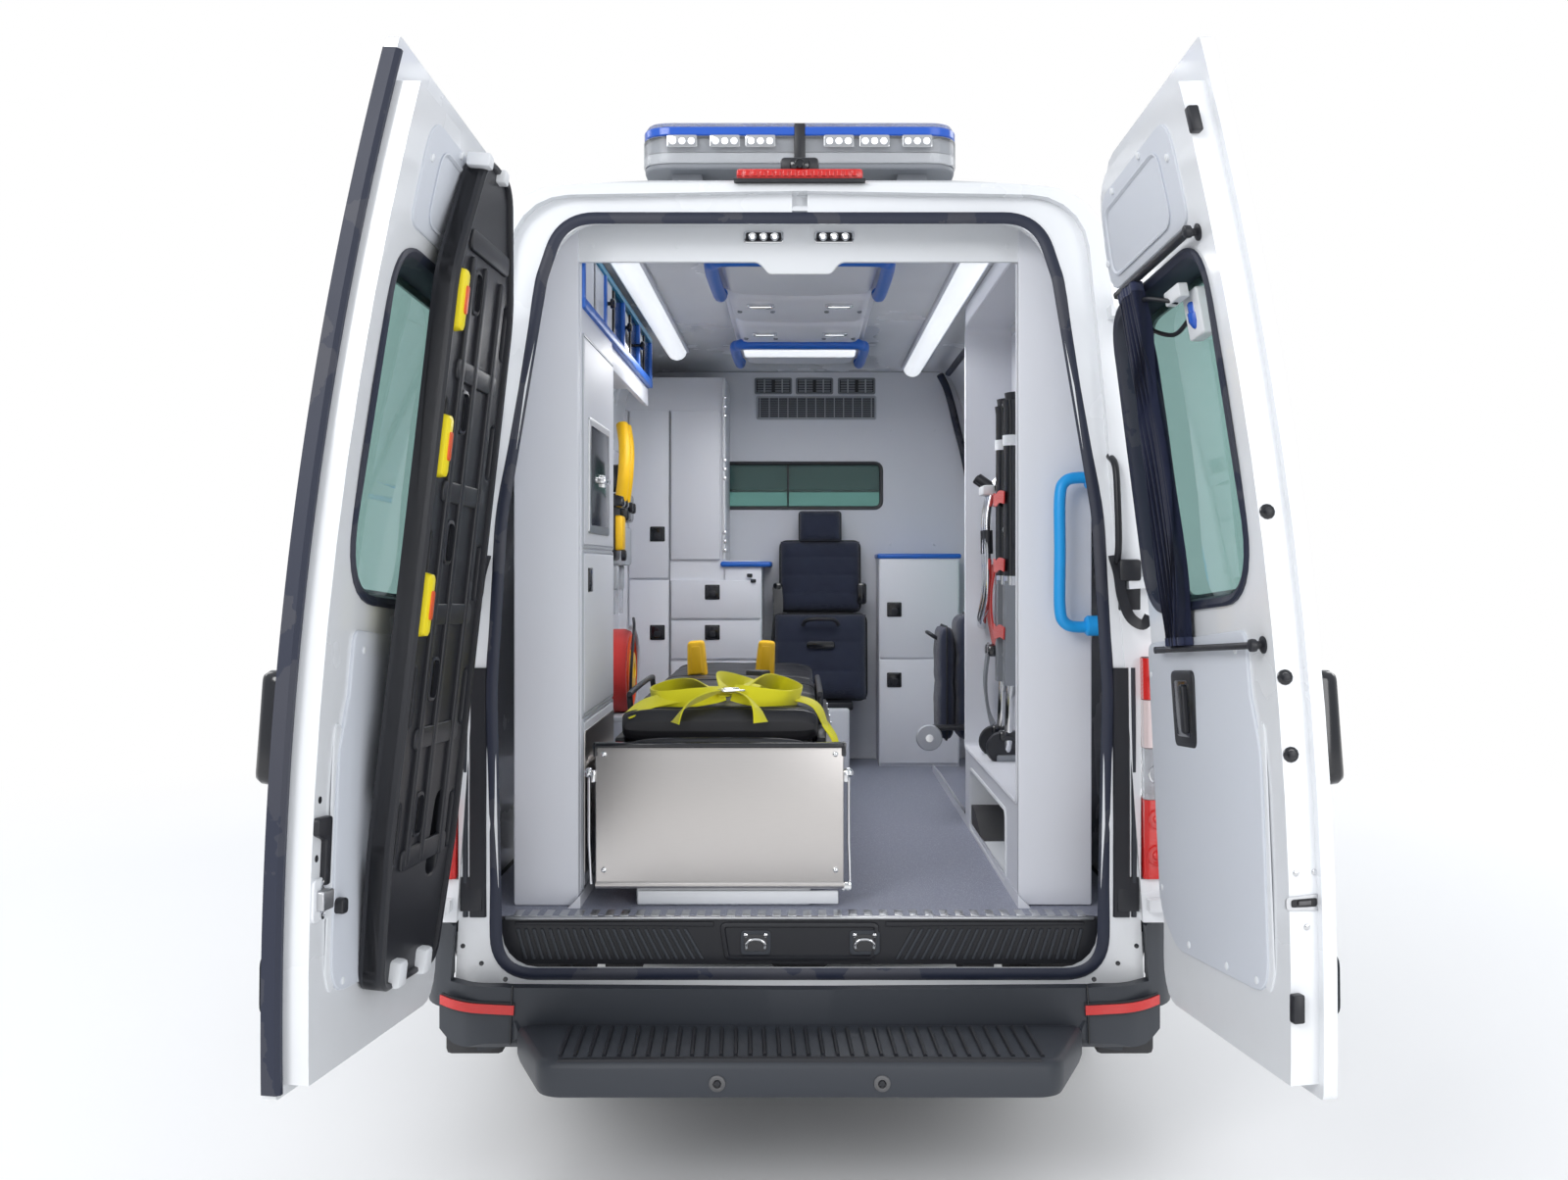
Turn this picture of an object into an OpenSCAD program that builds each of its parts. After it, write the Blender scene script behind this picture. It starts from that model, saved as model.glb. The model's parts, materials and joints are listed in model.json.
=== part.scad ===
// High-roof panel-van ambulance, rear doors standing open.
// +X is the front, +Y the left side, +Z up; the origin is on the ground under the middle.
// Depths along the vehicle are measured ahead of the closed rear face.

/* [Body] */
// Length from the rear face to the front bumper
body_l = 5900; // [5600:10:6400]
// Widest half width of the body sides
half_w = 1000; // [960:5:1040]
// Height of the roof at its crown
roof_z = 2652; // [2550:5:2750]
// Height of the patient floor
floor_z = 680; // [620:5:740]
// Depth of the bulkhead face ahead of the rear face
bulkhead_d = 3095; // [2900:5:3200]

/* [Wheels] */
// Distance between the axles
wheelbase = 3665; // [3400:5:3900]
// Depth of the rear axle ahead of the rear face
rear_axle_d = 1231; // [1150:1:1300]
// Tyre outside diameter
tyre_d = 710; // [660:2:740]
// Tyre width
tyre_w = 235; // [205:5:245]
// Rim diameter over the bead seat
rim_d = 406; // [380:1:432]
// Half the distance between the wheel centre planes
half_track = 855; // [835:1:870]
// Half the distance between the kingpins
kingpin_y = 775; // [765:1:785]

/* [Rear doors] */
// Angle at which both rear doors stand open
rear_open = 94; // [0:1:180]
// Thickness of a door's outer panel
door_t = 26; // [20:1:32]
// Depth of a door's inner step into the opening
door_step = 54; // [30:1:60]
// Gap between the doors and around them
door_gap = 10; // [6:1:14]

/* [Stretcher] */
// Width of the stretcher table
table_w = 664; // [600:2:700]
// Height of the table top
table_z = 1050; // [950:5:1100]
// Length of the table
table_l = 2020; // [1900:10:2100]

/* [Light bars] */
// Length of a roof light bar across the body
bar_w = 890; // [700:10:1200]
// Height of a light bar
bar_h = 137; // [100:1:150]

/* [Hidden] */
$fn = 48;

white = [0.93, 0.94, 0.95];
lining = [0.84, 0.85, 0.88];
dark = [0.13, 0.14, 0.16];
navy = [0.10, 0.11, 0.18];
steel = [0.62, 0.62, 0.63];
glass_tint = [0.45, 0.62, 0.62, 0.5];
blue = [0.10, 0.35, 0.75];
red = [0.80, 0.08, 0.08];
yellow = [0.95, 0.78, 0.05];
rubber = [0.06, 0.06, 0.07];
silver = [0.75, 0.76, 0.78];

// The rear doors reach this far behind the rear face when open.
door_reach = 1010;
rear_x = (door_reach - body_l) / 2;
front_axle_d = rear_axle_d + wheelbase;
tyre_r = tyre_d / 2;
arch_r = tyre_r + 55;
far = 4000;

// Line of the windscreen in side view: cowl, then header.
cowl = [5060, 1330];
header = [4400, 2085];
// Top of the rear bumper's corners.
corner_z = 692;
// How far the rear bumper wraps along the sides.
bumper_wrap = 330;
step_bolt_r = 9;
tow_bore_r = 12;
// The cab floor and the fire wall.
cab_floor_z = 600;
firewall_d = 4700;
// Depth where the room's fittings begin behind the closed doors.
room_d = 196;
// Depth of the front cabinets' faces.
cabinet_d = 2676;
// Depth where the cab floor begins.
cab_d0 = 3340;
// Rear edge of the cab doors, front edge, and the waist line under the side windows.
cab_door_d = [3400, 4500];
waist_z = 1330;
gutter_z = 2330;
// Lower edge of the bonnet's nose.
bonnet_z = 1054;
// Hinge line of the cab doors in depth and Y, its barrels on the door, and those on the wing.
cab_hinge = [4504, 996];
cab_barrel_z = [[690, 760], [1080, 1150]];
wing_barrel_z = [[766, 800], [1156, 1190]];
cab_barrel_r = 10;
// Hinge line of the bonnet in depth and Z.
bonnet_hinge = [5062, 1322];

// ---- outlines -------------------------------------------------------------

function unit(v) = v / norm(v);

// One corner b = [x, y, radius] between a and c, as points along its arc.
function corner(a, b, c, n) =
    b[2] == 0 ? [[b.x, b.y]] :
    let (
        u = unit([a.x - b.x, a.y - b.y]),
        v = unit([c.x - b.x, c.y - b.y]),
        half = acos(max(-1, min(1, u * v))) / 2,
        p = [b.x, b.y] + u * b[2] / tan(half),
        q = [b.x, b.y] + v * b[2] / tan(half),
        o = [b.x, b.y] + unit(u + v) * b[2] / sin(half),
        a0 = atan2(p.y - o.y, p.x - o.x),
        a1 = atan2(q.y - o.y, q.x - o.x),
        sweep = (a1 - a0 + 540) % 360 - 180
    )
    [for (i = [0 : n]) o + b[2] * [cos(a0 + sweep * i / n), sin(a0 + sweep * i / n)]];

// An outline of [x, y, radius] corners, each rounded with n steps.
function rounded(p, n = 5) =
    let (k = len(p))
    [for (i = [0 : k - 1]) each corner(p[(i + k - 1) % k], p[i], p[(i + 1) % k], n)];

// A rectangle with rounded corners.
function slab(x0, x1, y0, y1, r) = [[x0, y0, r], [x1, y0, r], [x1, y1, r], [x0, y1, r]];

// A half outline of [y, z, radius] points from the bottom up, closed by its mirror image.
function both_halves(half) =
    concat(half, [for (i = [len(half) - 1 : -1 : 0]) if (half[i].x > 0) [-half[i].x, half[i].y,
        half[i][2]]]);

// ---- placing --------------------------------------------------------------

// Moves to a depth ahead of the rear face.
module ahead(d = 0, y = 0, z = 0) translate([rear_x + d, y, z]) children();

// A block between two depths, two sides and two heights.
module block(d, y, z) ahead(d[0], y[0], z[0]) cube([d[1] - d[0], y[1] - y[0], z[1] - z[0]]);

// An outline in Y and Z, carried along X between two depths.
module along(d) ahead(d[0]) rotate([90, 0, 90]) linear_extrude(d[1] - d[0]) children();

// An outline in depth and Z, carried along Y.
module across(y) ahead(0, y[1]) rotate([90, 0, 0]) linear_extrude(y[1] - y[0]) children();

// An outline in depth and Y, carried upwards.
module upwards(z) ahead(0, 0, z[0]) linear_extrude(z[1] - z[0]) children();

// A round bar between two points [depth, y, z].
module bar(a, b, r) {
    v = b - a;
    ahead() translate(a)
        rotate([0, acos(v.z / norm(v)), atan2(v.y, v.x)])
            cylinder(h = norm(v), r = r, $fn = 24);
}

module both_sides() {
    children();
    mirror([0, 1, 0]) children();
}

// ---- body envelope ---------------------------------------------------------

section_half = [
    [half_w - 80, 345, 40], [half_w - 15, 520, 150], [half_w, 850, 1500],
    [half_w - 15, 1300, 1500], [half_w - 138, 2350, 700], [half_w - 205, 2580, 180]
];
section = concat(section_half, [[0, roof_z, 6000]],
    [for (i = [5 : -1 : 0]) [-section_half[i].x, section_half[i].y, section_half[i][2]]]);

// Depth of the bowed rear face at a height.
bow_r = 7275;
bow_z = 1282;
bow_x = -42;
function rear_face(z) = bow_x + pow(z - bow_z, 2) / (2 * bow_r);

// Rear face in side view as steps of height, moved ahead by t.
function rear_line(t, steps = 14) =
    [for (i = [0 : steps]) let (z = 300 + 160 * i) [rear_face(z) + t, z, 0]];

side_outline = concat(
    [[5900, 420, 60], [5860, 240, 40], [rear_face(240), 240, 0]],
    rear_line(0),
    [[84, 2612, 60], [520, roof_z, 2500], [3750, roof_z, 900], [4130, 2430, 500], [header.x, header.y, 160],
     [cowl.x, cowl.y, 60], [5740, 1120, 260], [5870, 900, 160], [5900, 700, 160]]
);

plan_half = [[bow_x, 1005, 110], [4700, 1005, 3000], [5540, 905, 420], [5830, 600, 450]];
plan_outline = concat(plan_half, [[5900, 0, 2600]],
    [for (i = [3 : -1 : 0]) [plan_half[i].x, -plan_half[i].y, plan_half[i][2]]]);

// Everything inboard of the left profile, leaned inwards behind a given depth.
module tapered_half(reach, inset) {
    k = inset / reach;
    multmatrix([[1, 0, 0, 0], [k, 1, 0, -k * (rear_x + reach)], [0, 0, 1, 0], [0, 0, 0, 1]])
        along([-200, 6200])
            polygon(rounded(concat([[-far, 200, 0]], section_half, [[0, roof_z, 6000],
                [-far, roof_z, 0]])));
}

module envelope() {
    intersection() {
        along([-10, 6000]) polygon(rounded(section));
        across([-1100, 1100]) polygon(rounded(side_outline));
        upwards([200, 2700]) polygon(rounded(plan_outline, 8));
        tapered_half(900, 40);
        tapered_half(90, 45);
        mirror([0, 1, 0]) tapered_half(900, 40);
        mirror([0, 1, 0]) tapered_half(90, 45);
    }
}

// The patient room and the cab.
inner_half = [[half_w - 100, floor_z, 0], [half_w - 105, 1300, 900], [half_w - 225, 2330, 300],
    [half_w - 290, 2520, 90]];
cab_half = [[half_w - 100, cab_floor_z, 0], [half_w - 90, 1300, 900], [half_w - 215, 2330, 300],
    [half_w - 290, 2520, 90]];

module room(d0 = -100) {
    along([d0, bulkhead_d]) polygon(rounded(both_halves(inner_half)));
}

module cab_room() {
    intersection() {
        along([bulkhead_d - 1, 5100]) polygon(rounded(both_halves(cab_half)));
        across([-1000, 1000])
            polygon(rounded([
                [bulkhead_d - 1, cab_floor_z, 0], [firewall_d, cab_floor_z, 60], [4960, 1270, 30],
                [header.x - 60, header.y - 20, 160], [4060, 2380, 400], [3700, 2520, 300],
                [bulkhead_d - 1, 2520, 0]
            ]));
    }
}

// The space under the floor and around the engine.
module under_room() {
    block([-100, cab_d0], [-900, 900], [200, floor_z]);
    block([cab_d0 - 1, 4800], [-900, 900], [200, cab_floor_z]);
    intersection() {
        across([-1000, 1000])
            polygon([
                [firewall_d + 40, 200], [5700, 200], [5700, 1040], [5640, 1070], [5080, 1275],
                    [firewall_d + 40, 700]
            ]);
        upwards([200, 1400])
            polygon(rounded([
                [4700, 940, 0], [5440, 850, 400], [5700, 520, 260], [5700, -520, 260], [5440, -850, 400],
                [4700, -940, 0]
            ]));
    }
}

module arches(d, y0 = 560, r = arch_r) {
    both_sides() ahead(d, y0, tyre_r) rotate([-90, 0, 0]) cylinder(h = 600, r = r, $fn = 96);
}

// ---- openings --------------------------------------------------------------

// Rear opening outline, half width by height; g makes it smaller all round.
function portal_half(g) = [
    [768 - g, 560 + g, 90], [775 - g, 1280, 900], [752 - g, 1720, 900], [661 - g, 2345, 200],
        [615 - g, 2500 - g, 130]
];

module portal(g) polygon(rounded(both_halves(portal_half(g))));

// Hinge line of the left rear door, bottom and top.
hinge_low = [-50, 967, 566];
hinge_high = [-30, 844, 2568];
hinge_dir = unit(hinge_high - hinge_low);
// Lean of the hinge line about X and about Y.
hinge_lean = [3.516, 0.572, 0];

function hinge_at(z) =
    hinge_low + (hinge_high - hinge_low) * (z - hinge_low.z) / (hinge_high.z - hinge_low.z);

// Hinge-side edge of the closed left rear door at a height.
function door_side(z) = 878 - (z - 525) * 147 / 2030;

door_low = 549;

// Outline of the closed left rear door in Y and Z; g makes it larger all round.
function door_outline(g) = [
    [door_gap / 2 - g, door_low - g, 10], [door_side(door_low) + g, door_low - g, 60],
    [door_side(2555) + g, 2555 + g, 150],
    [door_gap / 2 - g, 2568 + g, 10]
];

// A layer that follows the rear face, from t0 to t1 ahead of it.
module rear_layer(t0, t1) {
    far_side = rear_line(t1, 15);
    across([-1000, 1000])
        polygon([for (p = concat(rear_line(t0, 15), [for (i = [15 : -1 : 0]) far_side[i]])) [p.x, p.y]]);
}

// Everything between the two outer edges of the rear doorway.
module inboard(g) {
    low = door_side(300) + g;
    high = door_side(2700) + g;
    along([-200, 400]) polygon([[-low, 300], [low, 300], [high, 2700], [-high, 2700]]);
}

// Window of a rear door in Y and Z; g makes it larger.
function rear_window(g) = [
    [95 - g, 1480 - g, 150], [750 + g, 1480 - g, 130], [700 + g, 2190 + g, 120], [95 - g, 2190 + g, 100]
];

// Cab door in depth and Z; g makes it larger.
function cab_door(g) = [
    [cab_door_d[0] - g, 520 - g, 60], [cab_door_d[1] + g, 520 - g, 60], [cab_door_d[1] + g, waist_z, 40],
    [4085 + g, 1950 + g, 90], [cab_door_d[0] - g, 1975 + g, 90]
];

function cab_window(g) = [
    [3480 - g, waist_z + 20 - g, 60], [4400 + g, waist_z + 20 - g, 30], [4060 + g, 1880 + g, 70],
        [3480 - g, 1895 + g, 70]
];

// Sliding door in depth and Z; g makes it larger.
slide_d = [1820, 3088];
function slide_door(g) = [
    [slide_d[0] - g, 520 - g, 60], [slide_d[1] + g, 520 - g, 60], [slide_d[1] + g, 2300 + g, 90],
        [slide_d[0] - g, 2300 + g, 90]
];

function slide_window(g) = slab(slide_d[0] + 190 - g, slide_d[1] - 190 + g, 1345 - g, 2010 + g, 80);

// ---- shell nodes -----------------------------------------------------------

// The body wall within a region given as children, hollowed out.
module wall() {
    difference() {
        intersection() {
            envelope();
            children();
        }
        room();
        cab_room();
        under_room();
        arches(rear_axle_d);
    }
}

// The solid corner beside the rear doors within a region given as children.
module rear_post() {
    intersection() {
        envelope();
        rear_layer(-60, 62);
        children();
    }
}

module door_recess() {
    both_sides()
        intersection() {
            rear_layer(-60, door_t + 8);
            along([-100, 300]) polygon(rounded(door_outline(8)));
        }
    block([-100, 130], [-20, 20], [500, 2576]);
}

module side_panel() {
    difference() {
        union() {
            wall() block([-60, cab_d0], [700, 1100], [345, gutter_z]);
            rear_post() block([-60, 200], [700, 1100], [corner_z, gutter_z]);
        }
        intersection() {
            rear_layer(-60, 200);
            inboard(8);
            block([-100, 64], [-1000, 1000], [300, 2700]);
        }
        intersection() {
            rear_layer(-60, 62.4);
            inboard(8);
        }
        lamp_pocket(0);
        block([-60, bumper_wrap], [700, 1100], [300, corner_z]);
    }
    body_knuckles();
}

module side_left() {
    color(white) side_panel();
}

module side_right() {
    color(white)
        difference() {
            mirror([0, 1, 0]) side_panel();
            across([-1100, -600]) polygon(rounded(slide_door(6)));
        }
}

module sliding_door() {
    color(white)
        difference() {
            intersection() {
                envelope();
                across([-1100, -600]) polygon(rounded(slide_door(0)));
            }
            room();
            under_room();
            across([-1100, -600]) polygon(rounded(slide_window(0)));
        }
}

module roof() {
    color(white)
        difference() {
            union() {
                difference() {
                    intersection() {
                        envelope();
                        block([-60, 4360], [-1000, 1000], [gutter_z, 2700]);
                    }
                    room();
                    cab_room();
                }
                rear_post() block([-60, 200], [-1000, 1000], [gutter_z, 2700]);
            }
            door_recess();
            along([-100, 200]) portal(0);
        }
}

// Flange around the rear opening, with the closing panel under the floor.
module rear_frame() {
    color(white)
        difference() {
            intersection() {
                rear_layer(door_t + 8, 62);
                inboard(8);
                block([-60, 200], [-1000, 1000], [440, gutter_z]);
            }
            along([-100, 200]) portal(0);
        }
}

// Space of a tail lamp in the left rear corner; g makes it smaller.
module lamp_pocket(g) {
    intersection() {
        block([-100, 92], [868 + g, 1100], [802 + g, 1368 - g]);
        difference() {
            block([-100, 92], [800, 1100], [600, 1400]);
            inboard(10 + g);
        }
    }
}

// Pillars, cowl, fire wall and windscreen frame.
module cab_shell() {
    color(white)
        difference() {
            intersection() {
                envelope();
                union() {
                    block([cab_d0, cab_door_d[1]], [-1100, 1100], [345, gutter_z]);
                    across([-1100, 1100])
                        polygon([
                            [4490, 1000], [4700, 1000], [4740, cab_floor_z], [4800, 1100], [5050, 1240],
                            [5050, 1400], [4400, gutter_z], [4490, gutter_z]
                        ]);
                    block([4490, 4740], [-899, 899], [cab_floor_z, 1240]);
                }
            }
            cab_room();
            under_room();
            arches(front_axle_d);
            both_sides() across([600, 1100]) polygon(rounded(cab_door(6)));
            windscreen_hole();
            quarter_hole();
            wing_region(4);
        }
}

screen_half = [[800, 1395, 60], [745, 2030, 90]];
quarter = [[4545, 1375, 12], [4700, 1375, 12], [4545, 1575, 12]];

module windscreen_hole() {
    along([4300, 5400]) polygon(rounded(both_halves(screen_half)));
}

// Small fixed window between the pillar and the cab door.
module quarter_hole() {
    both_sides() across([600, 1100]) polygon(rounded(quarter));
}

// The band beside and ahead of the fire wall that the wings and bonnet fill.
module wing_region(g) {
    across([-1100, 1100])
        polygon([[4508 - g, 300], [6000, 300], [6000, 1400], [5054 - g, 1400], [5054 - g, 1322 + g],
            [4508 - g, 1322 + g]]);
}

module bonnet_outline(g) {
    upwards([bonnet_z - g, 1500])
        polygon(rounded([
            [5054 - g, -790 - g, 20], [5500, -760 - g, 300], [5900, -560 - g, 200], [5900, 560 + g, 200],
            [5500, 760 + g, 300], [5054 - g, 790 + g, 20]
        ]));
}

// Keeps only the outermost skin of its children, t deep from the front.
module front_skin(t) {
    difference() {
        children();
        translate([-t, 0, 0]) envelope();
    }
}

// Front view regions of the bumper and the headlamps.
module bumper_zone(g) {
    block([5320 - g, 6000], [-1100, 1100], [200, 700 + g]);
    block([5650 - g, 6000], [-1100, 1100], [200, 812]);
}

module front_wings() {
    color(white)
        difference() {
            intersection() {
                envelope();
                wing_region(0);
                block([4500, 6000], [-1100, 1100], [345, 1400]);
            }
            under_room();
            block([4400, 4745], [-960, 960], [300, 1400]);
            block([4740, 4906], [-886, 886], [754, 1400]);
            both_sides() block([front_axle_d - 65, front_axle_d + 65], [494, 692], [300, 956]);
            bonnet_outline(6);
            arches(front_axle_d);
            lamp_block(4);
            bumper_zone(4);
            block([5500, 6000], [-560, 560], [700, bonnet_z]);
            for (z = cab_barrel_z)
                cab_barrel([z[0] - 6, z[1] + 6], cab_barrel_r + 6);
        }
    color(white)
        for (z = wing_barrel_z)
            cab_barrel(z, cab_barrel_r);
}

// Upright hinge barrel beside each cab door.
module cab_barrel(z, r) {
    both_sides() ahead(cab_hinge.x, cab_hinge.y, z[0]) cylinder(h = z[1] - z[0], r = r);
}

// Headlamp volume at each front corner; g makes it larger.
module lamp_block(g) {
    both_sides()
        intersection() {
            along([5420 - g, 6000])
                polygon([[556 - g, 812 - g], [1100, 812 - g], [1100, 1075 + g], [556 - g, 1020 + g]]);
            across([0, 1100])
                polygon([[5600 - g, 700], [6000, 700], [6000, 1100 + g], [5380 - g, 1100 + g]]);
        }
}

module front_bumper() {
    color(dark)
        difference() {
            intersection() {
                envelope();
                bumper_zone(0);
            }
            under_room();
            arches(front_axle_d);
            front_skin(40) along([5600, 6000]) polygon(rounded(slab(-520, 520, 420, 560, 30)));
            front_skin(40) along([5600, 6000]) polygon(rounded(slab(-380, 380, 720, 790, 20)));
            both_sides() front_skin(30) along([5500, 6000]) polygon(rounded(slab(640, 780, 440, 560, 30)));
            ahead(5840, 300, 620) rotate([0, 90, 0]) cylinder(h = 80, r = tow_bore_r);
        }
}

module grille() {
    color(dark)
        difference() {
            intersection() {
                envelope();
                block([5600, 6000], [-552, 552], [816, bonnet_z - 6]);
            }
            under_room();
            lamp_block(4);
            for (i = [0 : 3])
                front_skin(28) along([5600, 6000]) polygon(rounded(slab(-500, 500, 836 + 50 * i,
                    866 + 50 * i, 8)));
        }
}

module headlamps() {
    color(silver)
        difference() {
            intersection() {
                envelope();
                lamp_block(0);
            }
            under_room();
            bonnet_outline(6);
        }
}

// A layer just under the outer surface of the front slope.
module screen_layer(t0, t1) {
    difference() {
        translate([-t0, 0, 0]) envelope();
        translate([-t1, 0, 0]) envelope();
    }
}

module fixed_glass() {
    color(glass_tint) {
        intersection() {
            screen_layer(4, 14);
            along([4300, 5400]) polygon(rounded(both_halves(screen_half)));
        }
        both_sides()
            intersection() {
                translate([0, -6, 0]) envelope();
                across([936, 1000]) polygon(rounded(quarter));
                multmatrix([[1, 0, 0, 0], [0, 1, -0.117, 0], [0, 0, 1, 0], [0, 0, 0, 1]])
                    block([4400, 4800], [1120, 1130], [1300, 1700]);
            }
        slide_pane();
        bulkhead_pane();
    }
}

// Flat pane of the sliding door, leaning with the side.
module slide_pane() {
    mirror([0, 1, 0])
        intersection() {
            across([600, 1100]) polygon(rounded(slide_window(0)));
            multmatrix([[1, 0, 0, 0], [0, 1, -0.117, 0], [0, 0, 1, 0], [0, 0, 0, 1]])
                block([slide_d[0], slide_d[1]], [1116, 1124], [1300, 2050]);
        }
}

module bulkhead_pane() {
    along([bulkhead_d + 20, bulkhead_d + 26]) polygon(rounded(slab(-380, 357, 1880, 2078, 28)));
}

module bulkhead() {
    color(lining)
        difference() {
            intersection() {
                along([bulkhead_d, bulkhead_d + 48]) polygon(rounded(both_halves(inner_half)));
                along([bulkhead_d - 10, bulkhead_d + 60]) polygon(rounded(both_halves(cab_half)));
            }
            along([bulkhead_d - 10, bulkhead_d + 60]) polygon(rounded(slab(-380, 357, 1880, 2078, 28)));
            for (y = [-358, -158, 37])
                block([bulkhead_d - 1, bulkhead_d + 20], [y, y + 177], [2413, 2488]);
            block([bulkhead_d - 1, bulkhead_d + 20], [-358, 200], [2297, 2399]);
        }
}

// Floors, chassis rails, cross members and the rear wheel boxes.
module underbody() {
    rail_y = [430, 500];
    color(dark)
        difference() {
            union() {
                block([100, cab_d0], [-899, 899], [floor_z - 40, floor_z]);
                block([cab_d0, 4738], [-899, 899], [cab_floor_z - 42, cab_floor_z]);
                block([cab_d0, cab_d0 + 4], [-899, 899], [cab_floor_z - 42, floor_z]);
                both_sides() {
                    block([100, cab_d0 + 4], rail_y, [500, floor_z - 40]);
                    block([cab_d0, 5600], rail_y, [430, cab_floor_z - 42]);
                    block([cab_d0 + 60, 4480], [820, 899], [510, cab_floor_z - 42]);
                    ahead(rear_axle_d, 590, tyre_r) rotate([-90, 0, 0]) cylinder(h = 309,
                        r = arch_r + 14, $fn = 96);
                }
                for (d = [100, 700, 1740, 2400, 3000])
                    block([d, d + 60], [-890, 890], [570, floor_z - 40]);
                block([5540, 5600], [-430, 430], [440, 540]);
                block([5600, 5700], [-360, -300], [440, 1000]);
                block([5600, 5700], [300, 360], [440, 1000]);
                block([5600, 5640], [-361, 361], [430, 1000]);
            }
            arches(rear_axle_d, 604, arch_r);
            block([500, 2000], [-1000, 1000], [-200, 480]);
            arches(front_axle_d, 520);
            intersection() {
                block([400, 2100], [502, 1000], [200, floor_z - 40]);
                arches(rear_axle_d, 502, arch_r);
            }
        }
}

// ---- rear end --------------------------------------------------------------

// Plan outline of the rear bumper, t inside its outer face.
function bumper_plan(t) = [
    [t - 74, 0, 5200], [t - 56, 820, 140 - t], [50 + t / 3, 968 - t, 140 - t],
        [bumper_wrap - 6, 992 - t, 0],
    [bumper_wrap - 6, t - 992, 0], [50 + t / 3, t - 968, 140 - t], [t - 56, -820, 140 - t]
];

// Bumper shell with raised corners that wrap round to the sides.
module rear_bumper() {
    color(dark)
        difference() {
            intersection() {
                upwards([380, corner_z - 4]) polygon(rounded(bumper_plan(0)));
                across([-1100, 1100])
                    polygon(rounded([
                        [-90, 430, 30], [-40, 384, 20], [400, 400, 0], [400, corner_z, 0],
                            [-10, corner_z, 20],
                        [-62, 600, 60]
                    ]));
                along([-100, 500])
                    polygon(rounded(both_halves([
                        [880, 380, 90], [1000, 470, 60], [1000, corner_z, 0], [876, corner_z, 50],
                            [800, 540, 120],
                        [0, 540, 0]
                    ])));
            }
            upwards([300, corner_z + 50]) polygon(rounded(bumper_plan(34)));
            intersection() {
                rear_layer(-100, 400);
                inboard(12);
                block([-100, 400], [-1000, 1000], [door_low - 7, 800]);
            }
            block([20, 500], [-1100, 1100], [300, 470]);
        }
}

// Sill cover, and the step plate on its two brackets.
module rear_step() {
    step_front = -78;
    step_rear = -352;
    color(dark) {
        along([78, 100]) polygon(rounded(both_halves([[774, 556, 90], [779, floor_z - 4, 0]])));
        difference() {
            intersection() {
                upwards([366, 468])
                    polygon(rounded([
                        [step_rear, -600, 70], [step_front, -712, 30], [step_front, 712, 30],
                            [step_rear, 600, 70]
                    ]));
                across([-800, 800])
                    polygon(rounded([
                        [step_rear, 366, 14], [step_front, 366, 4], [step_front, 468, 6],
                            [step_rear, 450, 20]
                    ]));
            }
            for (y = [-190, 190])
                ahead(step_rear - 10, y, 408) rotate([0, 90, 0]) cylinder(h = 60, r = step_bolt_r);
        }
        both_sides() {
            block([step_front - 2, 260], [432, 498], [366, 382]);
            block([200, 260], [432, 498], [380, 500]);
        }
    }
}

// Tail lamps in the corners, high brake lamp and rear camera on the roof edge.
module rear_lamps() {
    color(red) {
        both_sides()
            intersection() {
                translate([-6, 0, 0]) envelope();
                lamp_pocket(2);
            }
        difference() {
            union() {
                block([76, 124], [-165, 165], [2608, 2634]);
                block([84, 150], [-50, 50], [2633, 2668]);
            }
            envelope();
        }
    }
}

module light_bar(d, z) {
    difference() {
        union() {
            along([d, d + 290]) polygon(rounded(slab(-bar_w / 2, bar_w / 2, z, z + bar_h, 34)));
            both_sides() block([d + 60, d + 230], [280, 360], [roof_z - 70, z + 10]);
        }
        envelope();
    }
}

module light_bars() {
    color(blue) {
        light_bar(355, roof_z + 61);
        light_bar(3420, roof_z + 61);
    }
}

module roof_unit() {
    color(white)
        difference() {
            intersection() {
                upwards([2560, 2800])
                    polygon(rounded([[820, -560, 90], [2040, -560, 160], [2040, 560, 160],
                        [820, 560, 90]]));
                across([-600, 600])
                    polygon(rounded([
                        [820, 2560, 0], [2040, 2560, 0], [2040, 2690, 60], [1840, 2788, 200],
                            [920, 2788, 90],
                        [820, 2700, 60]
                    ]));
            }
            envelope();
        }
}

// ---- running gear ----------------------------------------------------------

module front_subframe() {
    d = front_axle_d;
    color(dark) {
        block([d - 180, d + 180], [-420, 420], [300, 380]);
        both_sides() {
            block([d - 50, d + 50], [418, 560], [300, 340]);
            block([d - 26, d + 26], [410, 742], [236, 262]);
            block([d - 26, d + 26], [410, 430], [236, 310]);
            block([d + 100, d + 180], [380, 429], [378, 470]);
            block([d + 100, d + 180], [380, 470], [410, 430]);
            bar([d, 650, 480], [d, 600, 930], 36);
            block([d - 60, d + 60], [500, 640], [920, 950]);
            block([d - 60, d + 60], [500, 540], [470, 925]);
            block([d - 60, d + 60], [500, 504], [430, 480]);
        }
        bar([d - 230, -420, 350], [d - 230, 420, 350], 22);
        both_sides() block([d - 240, d - 170], [260, 300], [330, 370]);
    }
}

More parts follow.
